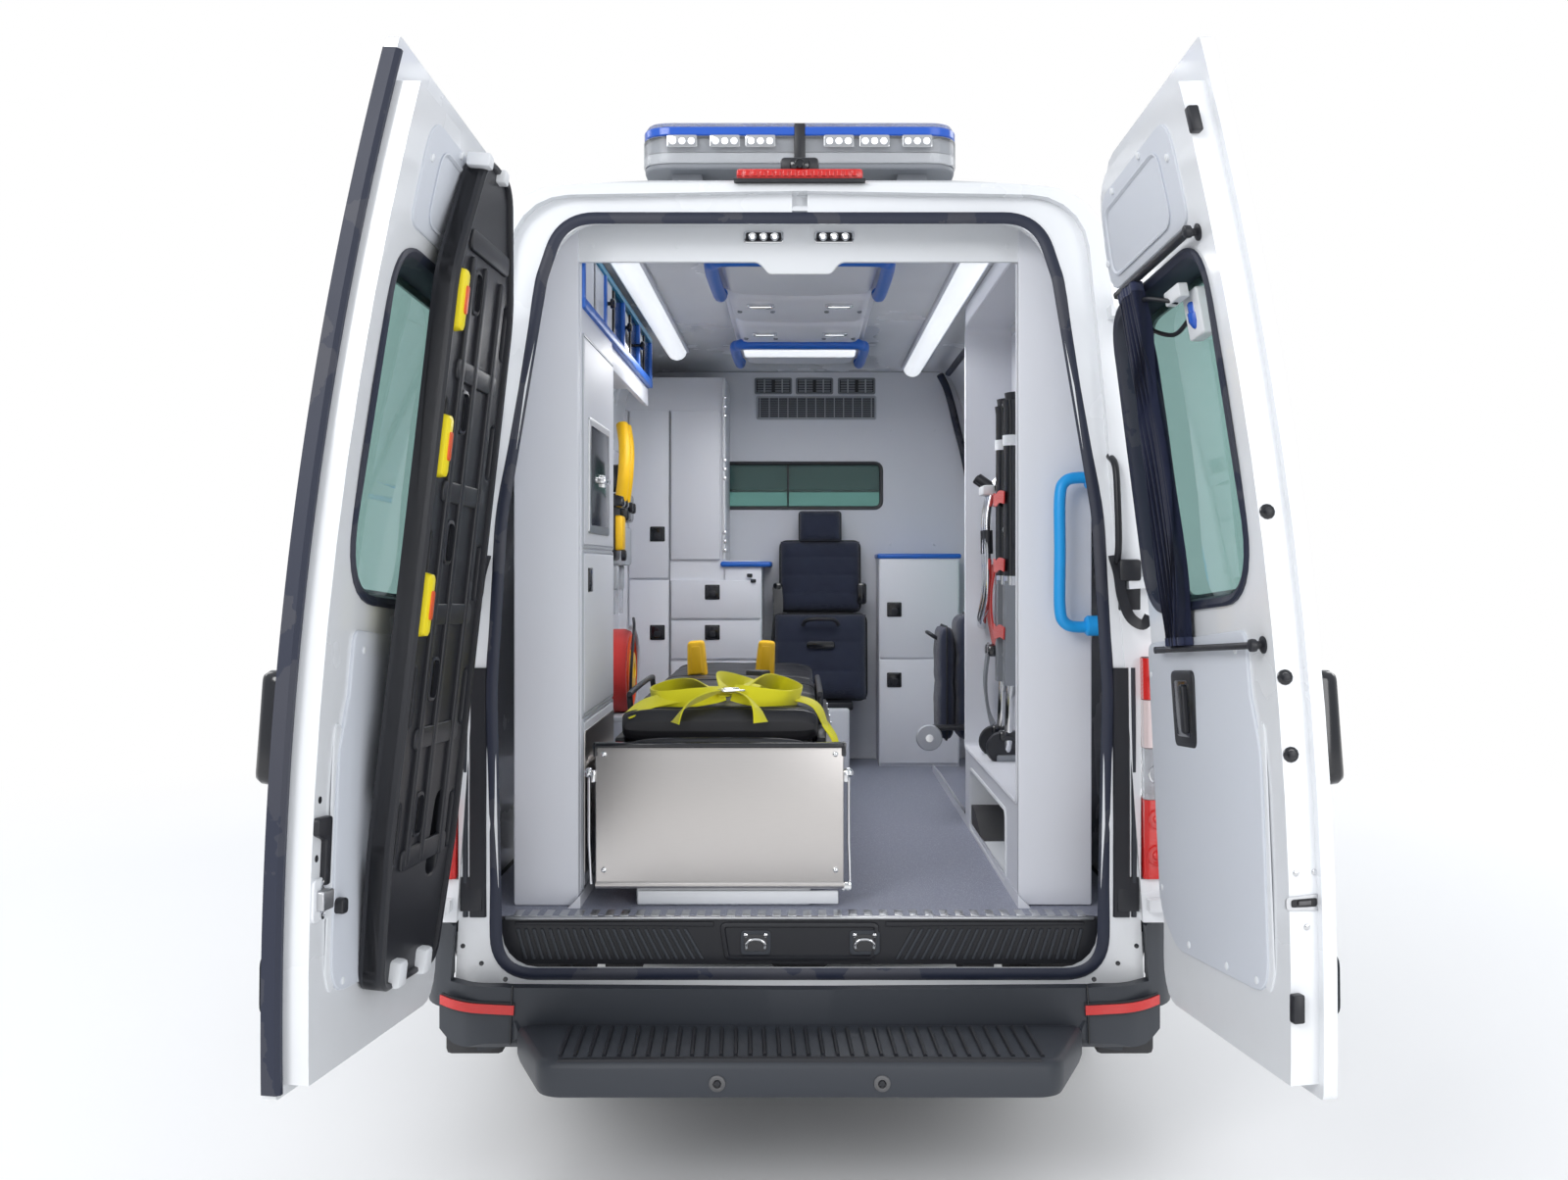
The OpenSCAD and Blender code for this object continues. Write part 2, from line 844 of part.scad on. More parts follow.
module rear_axle() {
    d = rear_axle_d;
    color(dark) {
        ahead(d, 0, tyre_r) rotate([90, 0, 0]) cylinder(h = 1500, r = 45, center = true);
        ahead(d, 0, tyre_r) sphere(r = 150);
        both_sides() {
            block([d - 620, d + 700], [510, 580], [tyre_r + 40, tyre_r + 62]);
            for (x = [-620, 670])
                block([d + x, d + x + 30], [510, 580], [tyre_r + 60, 480]);
            for (x = [-620, 670])
                block([d + x, d + x + 30], [500.4, 580], [478, 560]);
            ahead(d - 120, 385, tyre_r + 20) cylinder(h = 250, r = 28);
            block([d - 150, d + 10], [360, 410], [tyre_r + 4, tyre_r + 30]);
            ahead(d, 700, tyre_r) rotate([-90, 0, 0]) cylinder(h = 110, r = 150);
            ahead(d, 800, tyre_r) rotate([-90, 0, 0]) cylinder(h = half_track + 46 - 800, r = 40);
        }
    }
}

module engine() {
    color(steel) {
        block([5000, 5520], [-280, 280], [470, 1010]);
        block([4330, 5002], [-150, 150], [400, 546]);
    }
}

module exhaust_and_tank() {
    pipe_y = -250;
    color(dark) {
        block([2350, 3250], [150, 425], [390, 560]);
        block([2400, 2460], [150, 425], [556, 570]);
        bar([4300, pipe_y, 400], [2000, pipe_y, 400], 28);
        bar([2000, pipe_y, 400], [1900, pipe_y, 400], 90);
        bar([3300, pipe_y, 400], [2700, pipe_y, 400], 110);
        block([3010, 3050], [pipe_y - 20, pipe_y + 20], [480, 569.6]);
        bar([4328, 0, 470], [1382, 0, 362], 45);
    }
}

// ---- wheels and steering ---------------------------------------------------

// A tyre, its rim and the wheel disc, centred at the origin with its axle along Y.
module wheel_shape() {
    bead_r = rim_d / 2;
    rotate([-90, 0, 0]) {
        color(rubber)
            rotate_extrude($fn = 96)
                polygon(rounded([
                    [bead_r + 4, -95, 4], [bead_r + 40, 6 - tyre_w / 2, 40], [tyre_r - 40, -tyre_w / 2, 30],
                    [tyre_r, -90, 30], [tyre_r, 90, 30], [tyre_r - 40, tyre_w / 2, 30],
                    [bead_r + 40, tyre_w / 2 - 6, 40], [bead_r + 4, 95, 4]
                ]));
        color(silver)
            difference() {
                rotate_extrude($fn = 96)
                    polygon([
                        [bead_r + 4, -95], [bead_r + 4, 95], [bead_r - 14, 95], [bead_r - 26, 50],
                        [120, 58], [86, 66], [0, 66], [0, 52], [86, 52], [bead_r - 26, 34],
                            [bead_r - 14, -95]
                    ]);
                for (a = [0 : 5])
                    rotate(a * 60) translate([65, 0, 40]) cylinder(h = 60, r = 9);
                for (a = [0 : 7])
                    rotate(a * 45 + 22.5) translate([138, 0, 20]) cylinder(h = 80, r = 19);
            }
    }
}

module wheel(d, side) {
    ahead(d, side * half_track, tyre_r) mirror([0, side < 0 ? 1 : 0, 0]) wheel_shape();
}

// Steering knuckle with its kingpin, spindle and brake, inside the wheel.
module knuckle() {
    d = front_axle_d;
    color(dark) {
        ahead(d, kingpin_y, tyre_r - 88) cylinder(h = 206, r = 20);
        ahead(d, kingpin_y - 24, tyre_r) rotate([-90, 0, 0]) cylinder(h = 60, r = 62);
        ahead(d, kingpin_y + 34, tyre_r) rotate([-90, 0, 0]) cylinder(h = 24, r = 145);
        ahead(d, kingpin_y + 56, tyre_r) rotate([-90, 0,
            0]) cylinder(h = half_track + 46 - kingpin_y - 56, r = 40);
        block([d - 20, d + 20], [kingpin_y - 30, kingpin_y + 40], [tyre_r - 80, tyre_r + 110]);
        block([d - 150, d], [kingpin_y - 34, kingpin_y - 10], [tyre_r - 20, tyre_r + 12]);
    }
}

module steering_wheel() {
    color(dark)
        steering_frame() {
            rotate_extrude($fn = 64) translate([185, 0]) circle(r = 14, $fn = 20);
            for (a = [60, 180, 300])
                rotate(a) translate([20, -14, -8]) cube([155, 28, 14]);
            translate([0, 0, -22]) cylinder(h = 36, r = 58);
            translate([0, 0, -150]) cylinder(h = 140, r = 20);
        }
}

// The steering wheel's own frame, with its axle along Z.
module steering_frame() ahead(4240, 430, 1240) rotate([0, -62, 0]) children();

// ---- cab -------------------------------------------------------------------

module dashboard() {
    color(dark) {
        difference() {
            across([-880, 880])
                polygon(rounded([
                    [4380, 900, 40], [4640, 760, 40], [4720, 760, 0], [4900, 1200, 20], [4860, 1255, 20],
                    [4480, 1262, 60], [4370, 1200, 60]
                ]));
            steering_frame() translate([0, 0, -260]) cylinder(h = 300, r = 34);
        }
        block([4440, 4660], [-110, 110], [cab_floor_z, 900]);
    }
}

module cab_seat(y) {
    block([3560, 3980], [y - 190, y + 190], [cab_floor_z, 830]);
    across([y - 240, y + 240])
        polygon(rounded([[3520, 830, 40], [4060, 830, 50], [4060, 960, 60], [3640, 945, 60],
            [3500, 1540, 50], [3380, 1540, 50]]));
    block([3415, 3450], [y - 60, y + 60], [1530, 1610]);
    across([y - 130, y + 130])
        polygon(rounded([[3390, 1590, 30], [3490, 1590, 30], [3470, 1790, 40], [3380, 1790, 40]]));
}

module cab_seats() {
    color(navy) {
        cab_seat(430);
        cab_seat(-430);
    }
}

// ---- doors -----------------------------------------------------------------

// Holds its children, drawn closed on the left side, open about the left hinge line.
module swung(side = 1) {
    mirror([0, side < 0 ? 1 : 0, 0])
        ahead() translate(hinge_low) rotate(a = -rear_open, v = hinge_dir) translate(-hinge_low)
            translate([-rear_x, 0, 0]) children();
}

module at_hinge(z) ahead() translate(hinge_at(z)) rotate(hinge_lean) children();

hinge_heights = [745, 1560, 2250];
barrel_r = 13;
barrel_h = 30;

// A pair of straps from the hinge line onto the door's skin.
module hinge_strap(z) {
    skin = rear_face(z) - hinge_at(z).x;
    edge = hinge_at(z).y - door_side(z);
    for (s = [-1, 1])
        at_hinge(z) translate([0, 0, s * 36 - 15]) {
            cylinder(h = barrel_h, r = barrel_r);
            translate([skin - 20, -edge - 70, 0]) cube([22, 66, barrel_h]);
            translate([skin - 20, -edge - 10, 0]) cube([8, edge + 10, barrel_h]);
            translate([min(0, skin - 20), -8, 0]) cube([max(skin - 12, 8), 16, barrel_h]);
        }
}

// Fixed barrels of the left rear door's hinges, on the body corner.
module body_knuckles() {
    for (z = hinge_heights)
        at_hinge(z) {
            translate([0, 0, -15]) cylinder(h = barrel_h, r = barrel_r);
            translate([0, -75, -15]) cube([150, 75 + barrel_r, barrel_h]);
        }
}

module rear_door_shape() {
    difference() {
        union() {
            intersection() {
                rear_layer(0, door_t);
                along([-100, 300]) polygon(rounded(door_outline(0)));
            }
            intersection() {
                rear_layer(door_t - 1, door_t + door_step);
                along([-100, 300]) portal(14);
                block([-100, 300], [25, 900], [500, 2600]);
            }
        }
        along([-100, 300]) polygon(rounded(rear_window(0)));
    }
    for (z = hinge_heights)
        hinge_strap(z);
    intersection() {
        rear_layer(-34, 2);
        along([-100, 100]) polygon(rounded(slab(40, 84, 1120, 1330, 20)));
    }
}

module rear_door_pane() {
    intersection() {
        rear_layer(6, 12);
        along([-100, 300]) polygon(rounded(rear_window(-1)));
    }
}

// Leans its children, drawn at depth 0, along the inside of the closed rear door.
module board_plane() {
    lean = atan((rear_face(board_z[1]) - rear_face(board_z[0])) / (board_z[1] - board_z[0]));
    ahead(rear_face(board_z[0]) + door_t + door_step + 4, 0, board_z[0]) rotate([0, lean, 0])
        translate([-rear_x, 0, -board_z[0]]) children();
}

board_z = [690, 2462];
board_y = [215, 640];

// Long board with its hand holes, stood against the inside of the left rear door.
module spine_board() {
    color(dark)
        swung() board_plane()
            difference() {
                along([0, 46])
                    polygon(rounded([
                        [board_y[0] + 40, board_z[0], 60], [board_y[1] - 40, board_z[0], 60],
                        [board_y[1], 980, 200], [board_y[1], 2180, 300],
                            [board_y[1] - 120, board_z[1], 100],
                        [board_y[0] + 120, board_z[1], 100], [board_y[0], 2180, 300], [board_y[0], 980, 200]
                    ]));
                for (i = [0 : 4], y = [board_y[0] + 22, board_y[1] - 54])
                    along([-10, 60]) polygon(rounded(slab(y, y + 32, 960 + 290 * i, 1090 + 290 * i, 14)));
            }
    color(dark)
        swung()
            for (z = [900, 2100])
                intersection() {
                    block([-100, 300], [400, 440], [z, z + 40]);
                    rear_layer(door_t + door_step, door_t + door_step + 60);
                    difference() {
                        block([-100, 300], [300, 500], [500, 2600]);
                        board_plane() block([0, 300], [0, 900], [-1000, 4000]);
                    }
                }
}

// Height and Y range of each curtain rod, from the door's free edge.
rods = [[1388, 70, 640], [2206, 90, 560]];
rod_t = 105;
curtain_y = [400, 550];

module curtain() {
    color(navy)
        swung(-1)
            intersection() {
                rear_layer(door_t + door_step + 4, door_t + door_step + 54);
                block([-100, 300], curtain_y, [rods[0][0] + 7, rods[1][0] - 7]);
            }
}

// Rods above and below the curtain, on feet that stand on the door's inner step.
module curtain_rods() {
    color(dark)
        swung(-1)
            for (rod = rods) {
                z = rod[0];
                foot = door_t + door_step + 0.4 + 8 * abs(z - bow_z) / bow_r;
                bar([rear_face(z) + rod_t, rod[1], z], [rear_face(z) + rod_t, rod[2], z], 7);
                for (y = [rod[1], rod[2]])
                    bar([rear_face(z) + foot, y, z], [rear_face(z) + rod_t + 6, y, z], 8);
            }
}

module front_door_shape() {
    difference() {
        intersection() {
            envelope();
            across([600, 1100]) polygon(rounded(cab_door(0)));
        }
        cab_room();
        under_room();
        across([600, 1100]) polygon(rounded(cab_window(0)));
        for (z = wing_barrel_z)
            cab_barrel([z[0] - 6, z[1] + 6], cab_barrel_r + 6);
    }
    for (z = cab_barrel_z)
        ahead(cab_hinge.x, cab_hinge.y, z[0]) cylinder(h = z[1] - z[0], r = cab_barrel_r);
    mirror_d = 4385;
    difference() {
        block([mirror_d, mirror_d + 70], [940, 1060], [1290, 1330]);
        cab_room();
    }
    upwards([1270, 1600])
        polygon(rounded([[mirror_d - 10, 1050, 20], [mirror_d + 90, 1050, 45],
            [mirror_d + 60, 1215, 30], [mirror_d - 10, 1215, 15]]));
    block([3470, 3610], [960, 1016], [1150, 1185]);
}

module front_door_pane() {
    intersection() {
        across([600, 1100]) polygon(rounded(cab_window(-1)));
        multmatrix([[1, 0, 0, 0], [0, 1, -0.117, 0], [0, 0, 1, 0], [0, 0, 0, 1]])
            block([3300, 4500], [1112, 1117], [1300, 1950]);
    }
}

module bonnet() {
    color(white)
        difference() {
            intersection() {
                envelope();
                bonnet_outline(0);
                across([-900, 900])
                    polygon([[5060, 1200], [5060, 1400], [5900, 1400], [5900, 900], [5715, 900],
                        [5715, 1052], [5645, 1082], [5080, 1288]]);
            }
            lamp_block(5);
        }
    color(white)
        both_sides() ahead(bonnet_hinge.x, 560, bonnet_hinge.y) rotate([-90, 0, 0]) cylinder(h = 60, r = 7);
}

// ---- patient room ----------------------------------------------------------

module wheel_box_cut() {
    both_sides() ahead(rear_axle_d, 540, tyre_r) rotate([-90, 0, 0]) cylinder(h = 400,
        r = arch_r + 24, $fn = 96);
}

// Tall rear cabinet, bay back wall and overhead lockers.
module left_cabinets() {
    color(lining)
        difference() {
            intersection() {
                along([room_d, 2674]) polygon(rounded(both_halves(inner_half)));
                union() {
                    block([room_d, 849], [590, 1000], [floor_z, 2520]);
                    block([849, 2674], [800, 1000], [floor_z, 2300]);
                    block([849, 1988], [597, 1000], [2298, 2500]);
                }
            }
            wheel_box_cut();
        }
}

module front_cabinets() {
    color(lining)
        intersection() {
            along([cabinet_d, bulkhead_d]) polygon(rounded(both_halves(inner_half)));
            union() {
                block([cabinet_d, bulkhead_d], [331, 1000], [floor_z, 2440]);
                block([cabinet_d, bulkhead_d], [166, 331], [floor_z, 1609]);
                block([2826, bulkhead_d], [-732, -358], [floor_z, 1645]);
            }
        }
}

// Right wall lining with the niche of the carry chair.
module right_lining() {
    color(lining)
        difference() {
            intersection() {
                along([room_d, 1408]) polygon(rounded(both_halves(inner_half)));
                block([room_d, 1408], [-1000, -588], [floor_z, 2520]);
            }
            across([-760, -500]) polygon(rounded([[216, 960, 20], [1388, 960, 20], [1388, 2440, 60],
                [216, 2440, 60]]));
            wheel_box_cut();
        }
}

module carry_chair() {
    d = [1000, 1180];
    color(dark) {
        for (x = d) {
            bar([x, -700, 970], [x, -700, 2140], 16);
            bar([x, -660, 980], [x, -660, 1500], 12);
            bar([x, -700, 1480], [x, -660, 1480], 12);
        }
        for (z = [1300, 2140])
            bar([d[0], -700, z], [d[1], -700, z], 15);
        block([d[0] + 4, d[1] - 4], [-740, -712], [1350, 2000]);
        block([d[0] - 20, d[1] + 20], [-740, -640], [960, 985]);
    }
}

module attendant_seat() {
    d = cabinet_d;
    color(navy) {
        block([d, bulkhead_d], [-222, 150], [floor_z, 976]);
        across([-313, 123]) polygon(rounded([[d + 75, 976, 30], [d + 310, 976, 30],
            [d + 310, 1391, 40], [d + 118, 1391, 40]]));
        across([-285, 95]) polygon(rounded([[d + 225, 1389, 10], [d + 387, 1389, 20],
            [d + 387, 1709, 40], [d + 268, 1709, 40]]));
        across([-193, 3]) polygon(rounded([[d + 258, 1707, 10], [d + 365, 1707, 10],
            [d + 365, 1852, 30], [d + 279, 1852, 30]]));
        block([d + 308, bulkhead_d], [-250, 60], [975, 1391]);
    }
}

module side_seat() {
    color(navy) {
        block([1530, 1760], [-760, -640], [922, 1459]);
        block([1530, 1760], [-641, -560], [980, 1420]);
        block([1690, 1730], [-720, -660], [floor_z, 930]);
    }
}

module ceiling_unit() {
    color(lining) {
        block([300, 2418], [-265, 265], [2440, 2520]);
        both_sides() block([247, 2396], [478, 562], [2470, 2520]);
    }
}

module wall_kit() {
    color(yellow) {
        block([1960, 2150], [700, 770], [1620, 2180]);
        block([2200, 2420], [700, 800], [1600, 1900]);
        ahead(2300, 700, 1160) rotate([-90, 0, 0]) cylinder(h = 100, r = 175);
    }
}

module stretcher_table() {
    color(steel) {
        block([200, 200 + table_l], [-100, -100 + table_w - 20], [floor_z, 735]);
        block([230, 180 + table_l], [-60, 500], [735, table_z - 30]);
        block([200, 200 + table_l], [-110, -110 + table_w], [table_z - 30, table_z]);
    }
}

module stretcher() {
    color(dark) {
        for (y = [-60, 500])
            bar([260, y, table_z + 40], [2150, y, table_z + 40], 18);
        for (d = [280, 900, 1500, 2130])
            bar([d, -60, table_z + 40], [d, 500, table_z + 40], 16);
        for (d = [280, 2130], y = [-60, 500])
            ahead(d, y, table_z) cylinder(h = 30, r = 14);
    }
}

module mattress() {
    color(dark) block([270, 2140], [-50, 490], [table_z + 58, table_z + 150]);
}

// Steel flap that stands behind the stretcher and folds down to the rear.
module loading_flap() {
    y = [-118, 546];
    color(steel) {
        block([174, 184], y, [750, 1128]);
        block([156, 184], y, [1116, 1128]);
        ahead(180, y[0], 746) rotate([-90, 0, 0]) cylinder(h = y[1] - y[0], r = 12);
    }
}

// ---- drawing ---------------------------------------------------------------

underbody();
side_left();
side_right();
sliding_door();
roof();
rear_frame();
cab_shell();
front_wings();
front_bumper();
grille();
headlamps();
fixed_glass();
bulkhead();
rear_bumper();
rear_step();
rear_lamps();
light_bars();
roof_unit();
front_subframe();
rear_axle();
engine();
exhaust_and_tank();
dashboard();
cab_seats();
attendant_seat();
side_seat();
left_cabinets();
front_cabinets();
right_lining();
carry_chair();
ceiling_unit();
wall_kit();
stretcher_table();
stretcher();
mattress();
color(white) swung() rear_door_shape();  // rear_door_left
color(white) swung(-1) rear_door_shape();  // rear_door_right
color(glass_tint) swung() rear_door_pane();  // rear_glass_left
color(glass_tint) swung(-1) rear_door_pane();  // rear_glass_right
spine_board();
curtain();
curtain_rods();
color(white) front_door_shape();  // front_door_left
color(white) mirror([0, 1, 0]) front_door_shape();  // front_door_right
color(glass_tint) front_door_pane();  // front_glass_left
color(glass_tint) mirror([0, 1, 0]) front_door_pane();  // front_glass_right
bonnet();
loading_flap();
steering_wheel();
knuckle();  // knuckle_left
mirror([0, 1, 0]) knuckle();  // knuckle_right
wheel(front_axle_d, 1);  // wheel_front_left
wheel(front_axle_d, -1);  // wheel_front_right
wheel(rear_axle_d, 1);  // wheel_rear_left
wheel(rear_axle_d, -1);  // wheel_rear_right
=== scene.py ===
"""Looks of a high-roof van ambulance with open rear doors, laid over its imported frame."""

import json
import logging
import math
import random
from collections.abc import Callable, Iterable, Sequence
from dataclasses import dataclass, field
from enum import Enum

import bmesh
import bpy
from mathutils import Matrix, Vector


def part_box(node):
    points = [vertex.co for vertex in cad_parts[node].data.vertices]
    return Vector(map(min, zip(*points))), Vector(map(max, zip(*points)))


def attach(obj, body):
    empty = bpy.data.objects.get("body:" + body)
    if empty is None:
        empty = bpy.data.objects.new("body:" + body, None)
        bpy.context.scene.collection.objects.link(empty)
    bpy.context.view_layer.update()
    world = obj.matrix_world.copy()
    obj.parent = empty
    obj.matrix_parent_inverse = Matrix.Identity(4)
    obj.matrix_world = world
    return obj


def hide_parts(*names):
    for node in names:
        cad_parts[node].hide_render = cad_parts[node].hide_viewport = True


log = logging.getLogger("ambulance")
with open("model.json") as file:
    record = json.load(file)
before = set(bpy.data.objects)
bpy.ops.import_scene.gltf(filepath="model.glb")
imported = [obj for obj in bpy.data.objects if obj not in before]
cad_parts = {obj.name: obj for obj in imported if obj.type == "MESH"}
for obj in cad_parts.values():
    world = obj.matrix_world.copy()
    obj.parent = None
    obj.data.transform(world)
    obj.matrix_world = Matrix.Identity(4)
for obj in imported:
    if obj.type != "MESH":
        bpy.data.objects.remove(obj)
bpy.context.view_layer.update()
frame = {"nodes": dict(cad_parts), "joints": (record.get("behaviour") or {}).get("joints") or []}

Point = Sequence[float]
Outline = list[tuple[float, float]]

MM = 0.001
REAR_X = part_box("right_lining")[0].x - 0.196
SIDES = (1, -1)


class Effect(Enum):
    """Shader node group that gives a finish its small-scale life."""

    PAINT = "soft_paint"
    GRAIN = "fine_grain"
    WEAVE = "woven_threads"
    BRUSHED = "brushed_lines"
    SPECKLE = "vinyl_speckle"
    LENS = "lens_ribs"
    RUBBER = "rubber_dust"


@dataclass(frozen=True)
class Finish:
    """One surface finish, from which a node material is made."""

    name: str
    color: tuple[float, float, float]
    roughness: float = 0.5
    effect: Effect = Effect.GRAIN
    metallic: float = 0.0
    scale: float = 300.0
    bump: float = 0.12
    coat: float = 0.0
    transmission: float = 0.0
    glow: float = 0.0
    vary: float = 0.06


WHITE = Finish("white_gloss", (0.80, 0.82, 0.85), 0.26, Effect.PAINT, scale=3.0, bump=0.02, coat=0.5,
               vary=0.02)
COVER = Finish("white_plastic", (0.77, 0.79, 0.82), 0.38, scale=500, bump=0.04, vary=0.02)
LINING = Finish("lining_board", (0.72, 0.735, 0.79), 0.42, scale=420, bump=0.06, vary=0.02)
PANEL = Finish("door_lining", (0.62, 0.65, 0.71), 0.5, scale=380, bump=0.08, vary=0.03)
DARK = Finish("dark_plastic", (0.03, 0.035, 0.045), 0.46, scale=700, bump=0.3, vary=0.12)
GLOSS = Finish("gloss_black", (0.008, 0.009, 0.013), 0.16, scale=300, bump=0.03, coat=0.4)
SATIN = Finish("satin_black", (0.014, 0.015, 0.02), 0.42, scale=600, bump=0.15)
COAT = Finish("underbody_wax", (0.045, 0.045, 0.048), 0.75, scale=160, bump=0.5, vary=0.3)
SEAL = Finish("navy_seal", (0.013, 0.018, 0.04), 0.5, Effect.RUBBER, scale=260, bump=0.1)
RUBBER = Finish("tyre_rubber", (0.022, 0.022, 0.024), 0.72, Effect.RUBBER, scale=220, bump=0.3, vary=0.3)
GLASS = Finish("teal_glass", (0.34, 0.55, 0.52), 0.04, Effect.LENS, transmission=0.88, bump=0.0, scale=2)
CLEAR = Finish("clear_lens", (0.88, 0.90, 0.93), 0.06, Effect.LENS, transmission=0.9, bump=0.25, scale=110)
RED = Finish("red_lens", (0.62, 0.012, 0.010), 0.14, Effect.LENS, bump=0.35, coat=0.6, scale=95)
BLUE_LENS = Finish("blue_lens", (0.012, 0.10, 0.55), 0.12, Effect.LENS, bump=0.3, coat=0.6, scale=90)
AMBER = Finish("amber_lens", (0.75, 0.22, 0.01), 0.15, Effect.LENS, bump=0.3, coat=0.5, scale=90)
CHROME = Finish("chrome", (0.74, 0.75, 0.77), 0.1, Effect.BRUSHED, metallic=1.0, bump=0.01, scale=60)
STEEL = Finish("brushed_steel", (0.60, 0.575, 0.56), 0.34, Effect.BRUSHED, metallic=1.0, bump=0.05, scale=26)
ALUMINIUM = Finish("satin_aluminium", (0.55, 0.56, 0.58), 0.38, Effect.BRUSHED, metallic=1.0, bump=0.05,
                   scale=40)
IRON = Finish("dull_iron", (0.15, 0.15, 0.155), 0.62, metallic=0.8, scale=180, bump=0.35, vary=0.3)
GREY = Finish("grey_plastic", (0.22, 0.235, 0.26), 0.45, scale=500, bump=0.1)
PALE_GREY = Finish("pale_grey_plastic", (0.45, 0.47, 0.51), 0.42, scale=500, bump=0.08)
BLUE = Finish("blue_trim", (0.014, 0.13, 0.56), 0.36, scale=400, bump=0.06)
CYAN = Finish("cyan_grip", (0.013, 0.35, 0.82), 0.4, scale=400, bump=0.08)
TEAL = Finish("teal_trim", (0.02, 0.24, 0.42), 0.4, scale=400, bump=0.06)
AMBER_GRIP = Finish("yellow_grip", (0.86, 0.50, 0.005), 0.42, scale=350, bump=0.1)
BOARD_GRIP = Finish("board_grip", (0.88, 0.72, 0.01), 0.42, scale=350, bump=0.1)
NEON = Finish("neon_webbing", (0.86, 0.80, 0.002), 0.6, Effect.WEAVE, scale=520, bump=0.5)
RED_WEB = Finish("red_webbing", (0.60, 0.02, 0.015), 0.6, Effect.WEAVE, scale=520, bump=0.5)
ORANGE = Finish("orange_shell", (0.72, 0.09, 0.012), 0.35, scale=300, bump=0.08)
NAVY_CLOTH = Finish("navy_cloth", (0.018, 0.026, 0.075), 0.85, Effect.WEAVE, scale=620, bump=0.5)
SEAT_CLOTH = Finish("seat_cloth", (0.016, 0.022, 0.05), 0.8, Effect.WEAVE, scale=420, bump=0.6)
VINYL = Finish("padded_vinyl", (0.016, 0.016, 0.02), 0.42, scale=330, bump=0.35)
FLOOR = Finish("floor_vinyl", (0.26, 0.275, 0.35), 0.5, Effect.SPECKLE, scale=260, bump=0.08)
SHELL = Finish("board_plastic", (0.012, 0.013, 0.018), 0.4, scale=600, bump=0.25)
LAMP_GLOW = Finish("lamp_glow", (0.9, 0.93, 0.97), 0.35, Effect.LENS, glow=0.75, bump=0.1, scale=60)
LED = Finish("led_dot", (0.95, 0.97, 1.0), 0.2, Effect.LENS, glow=1.1, bump=0.1, scale=200)
MIRROR = Finish("mirror_glass", (0.75, 0.78, 0.8), 0.03, Effect.BRUSHED, metallic=1.0, bump=0.0, scale=5)
PINK_LENS = Finish("pale_lens", (0.72, 0.60, 0.60), 0.12, Effect.LENS, bump=0.4, coat=0.5, scale=100)


class Nodes:
    """Short-hand for wiring a node tree."""

    def __init__(self, tree: bpy.types.NodeTree) -> None:
        """Keeps the tree that it wires."""
        self.tree = tree

    def add(self, kind: str, settings: dict | None = None, **values: object) -> bpy.types.Node:
        """Adds a node.

        Args:
            kind: The node's class name.
            settings: Its properties, such as an operation.
            values: Inputs by socket name or s0, s1, ... and what goes in: a number, a colour or a socket.

        Returns:
            The new node.
        """
        node = self.tree.nodes.new(kind)
        for key, value in (settings or {}).items():
            setattr(node, key, value)
        for key, value in values.items():
            indexed = key[0] == "s" and key[1:].isdigit()
            socket = node.inputs[int(key[1:])] if indexed else node.inputs[key.replace("_", " ")]
            if isinstance(value, bpy.types.NodeSocket):
                self.tree.links.new(value, socket)
            else:
                socket.default_value = value
        return node

    def math(self, operation: str, a: object, b: object = 0.0, c: object = 0.0) -> bpy.types.NodeSocket:
        """Adds a Math node and returns its result."""
        return self.add("ShaderNodeMath", {"operation": operation}, s0=a, s1=b, s2=c).outputs[0]

    def noise(self, vector: object, scale: object, detail: float = 3.0) -> bpy.types.NodeSocket:
        """Adds a noise texture and returns its factor."""
        return self.add("ShaderNodeTexNoise", Vector=vector, Scale=scale, Detail=detail).outputs[0]

    def mapping(self, vector: object, scale: Point) -> bpy.types.NodeSocket:
        """Stretches coordinates."""
        return self.add("ShaderNodeMapping", Vector=vector, Scale=scale).outputs[0]

    def mix(self, factor: object, a: object, b: object) -> bpy.types.NodeSocket:
        """Mixes two colours.

        Args:
            factor: Share of the second value.
            a: First value.
            b: Second value.

        Returns:
            The mixed socket.
        """
        node = self.add("ShaderNodeMix", {"data_type": "RGBA"})
        for index, value in ((0, factor), (6, a), (7, b)):
            if isinstance(value, bpy.types.NodeSocket):
                self.tree.links.new(value, node.inputs[index])
            else:
                node.inputs[index].default_value = value
        return node.outputs[2]


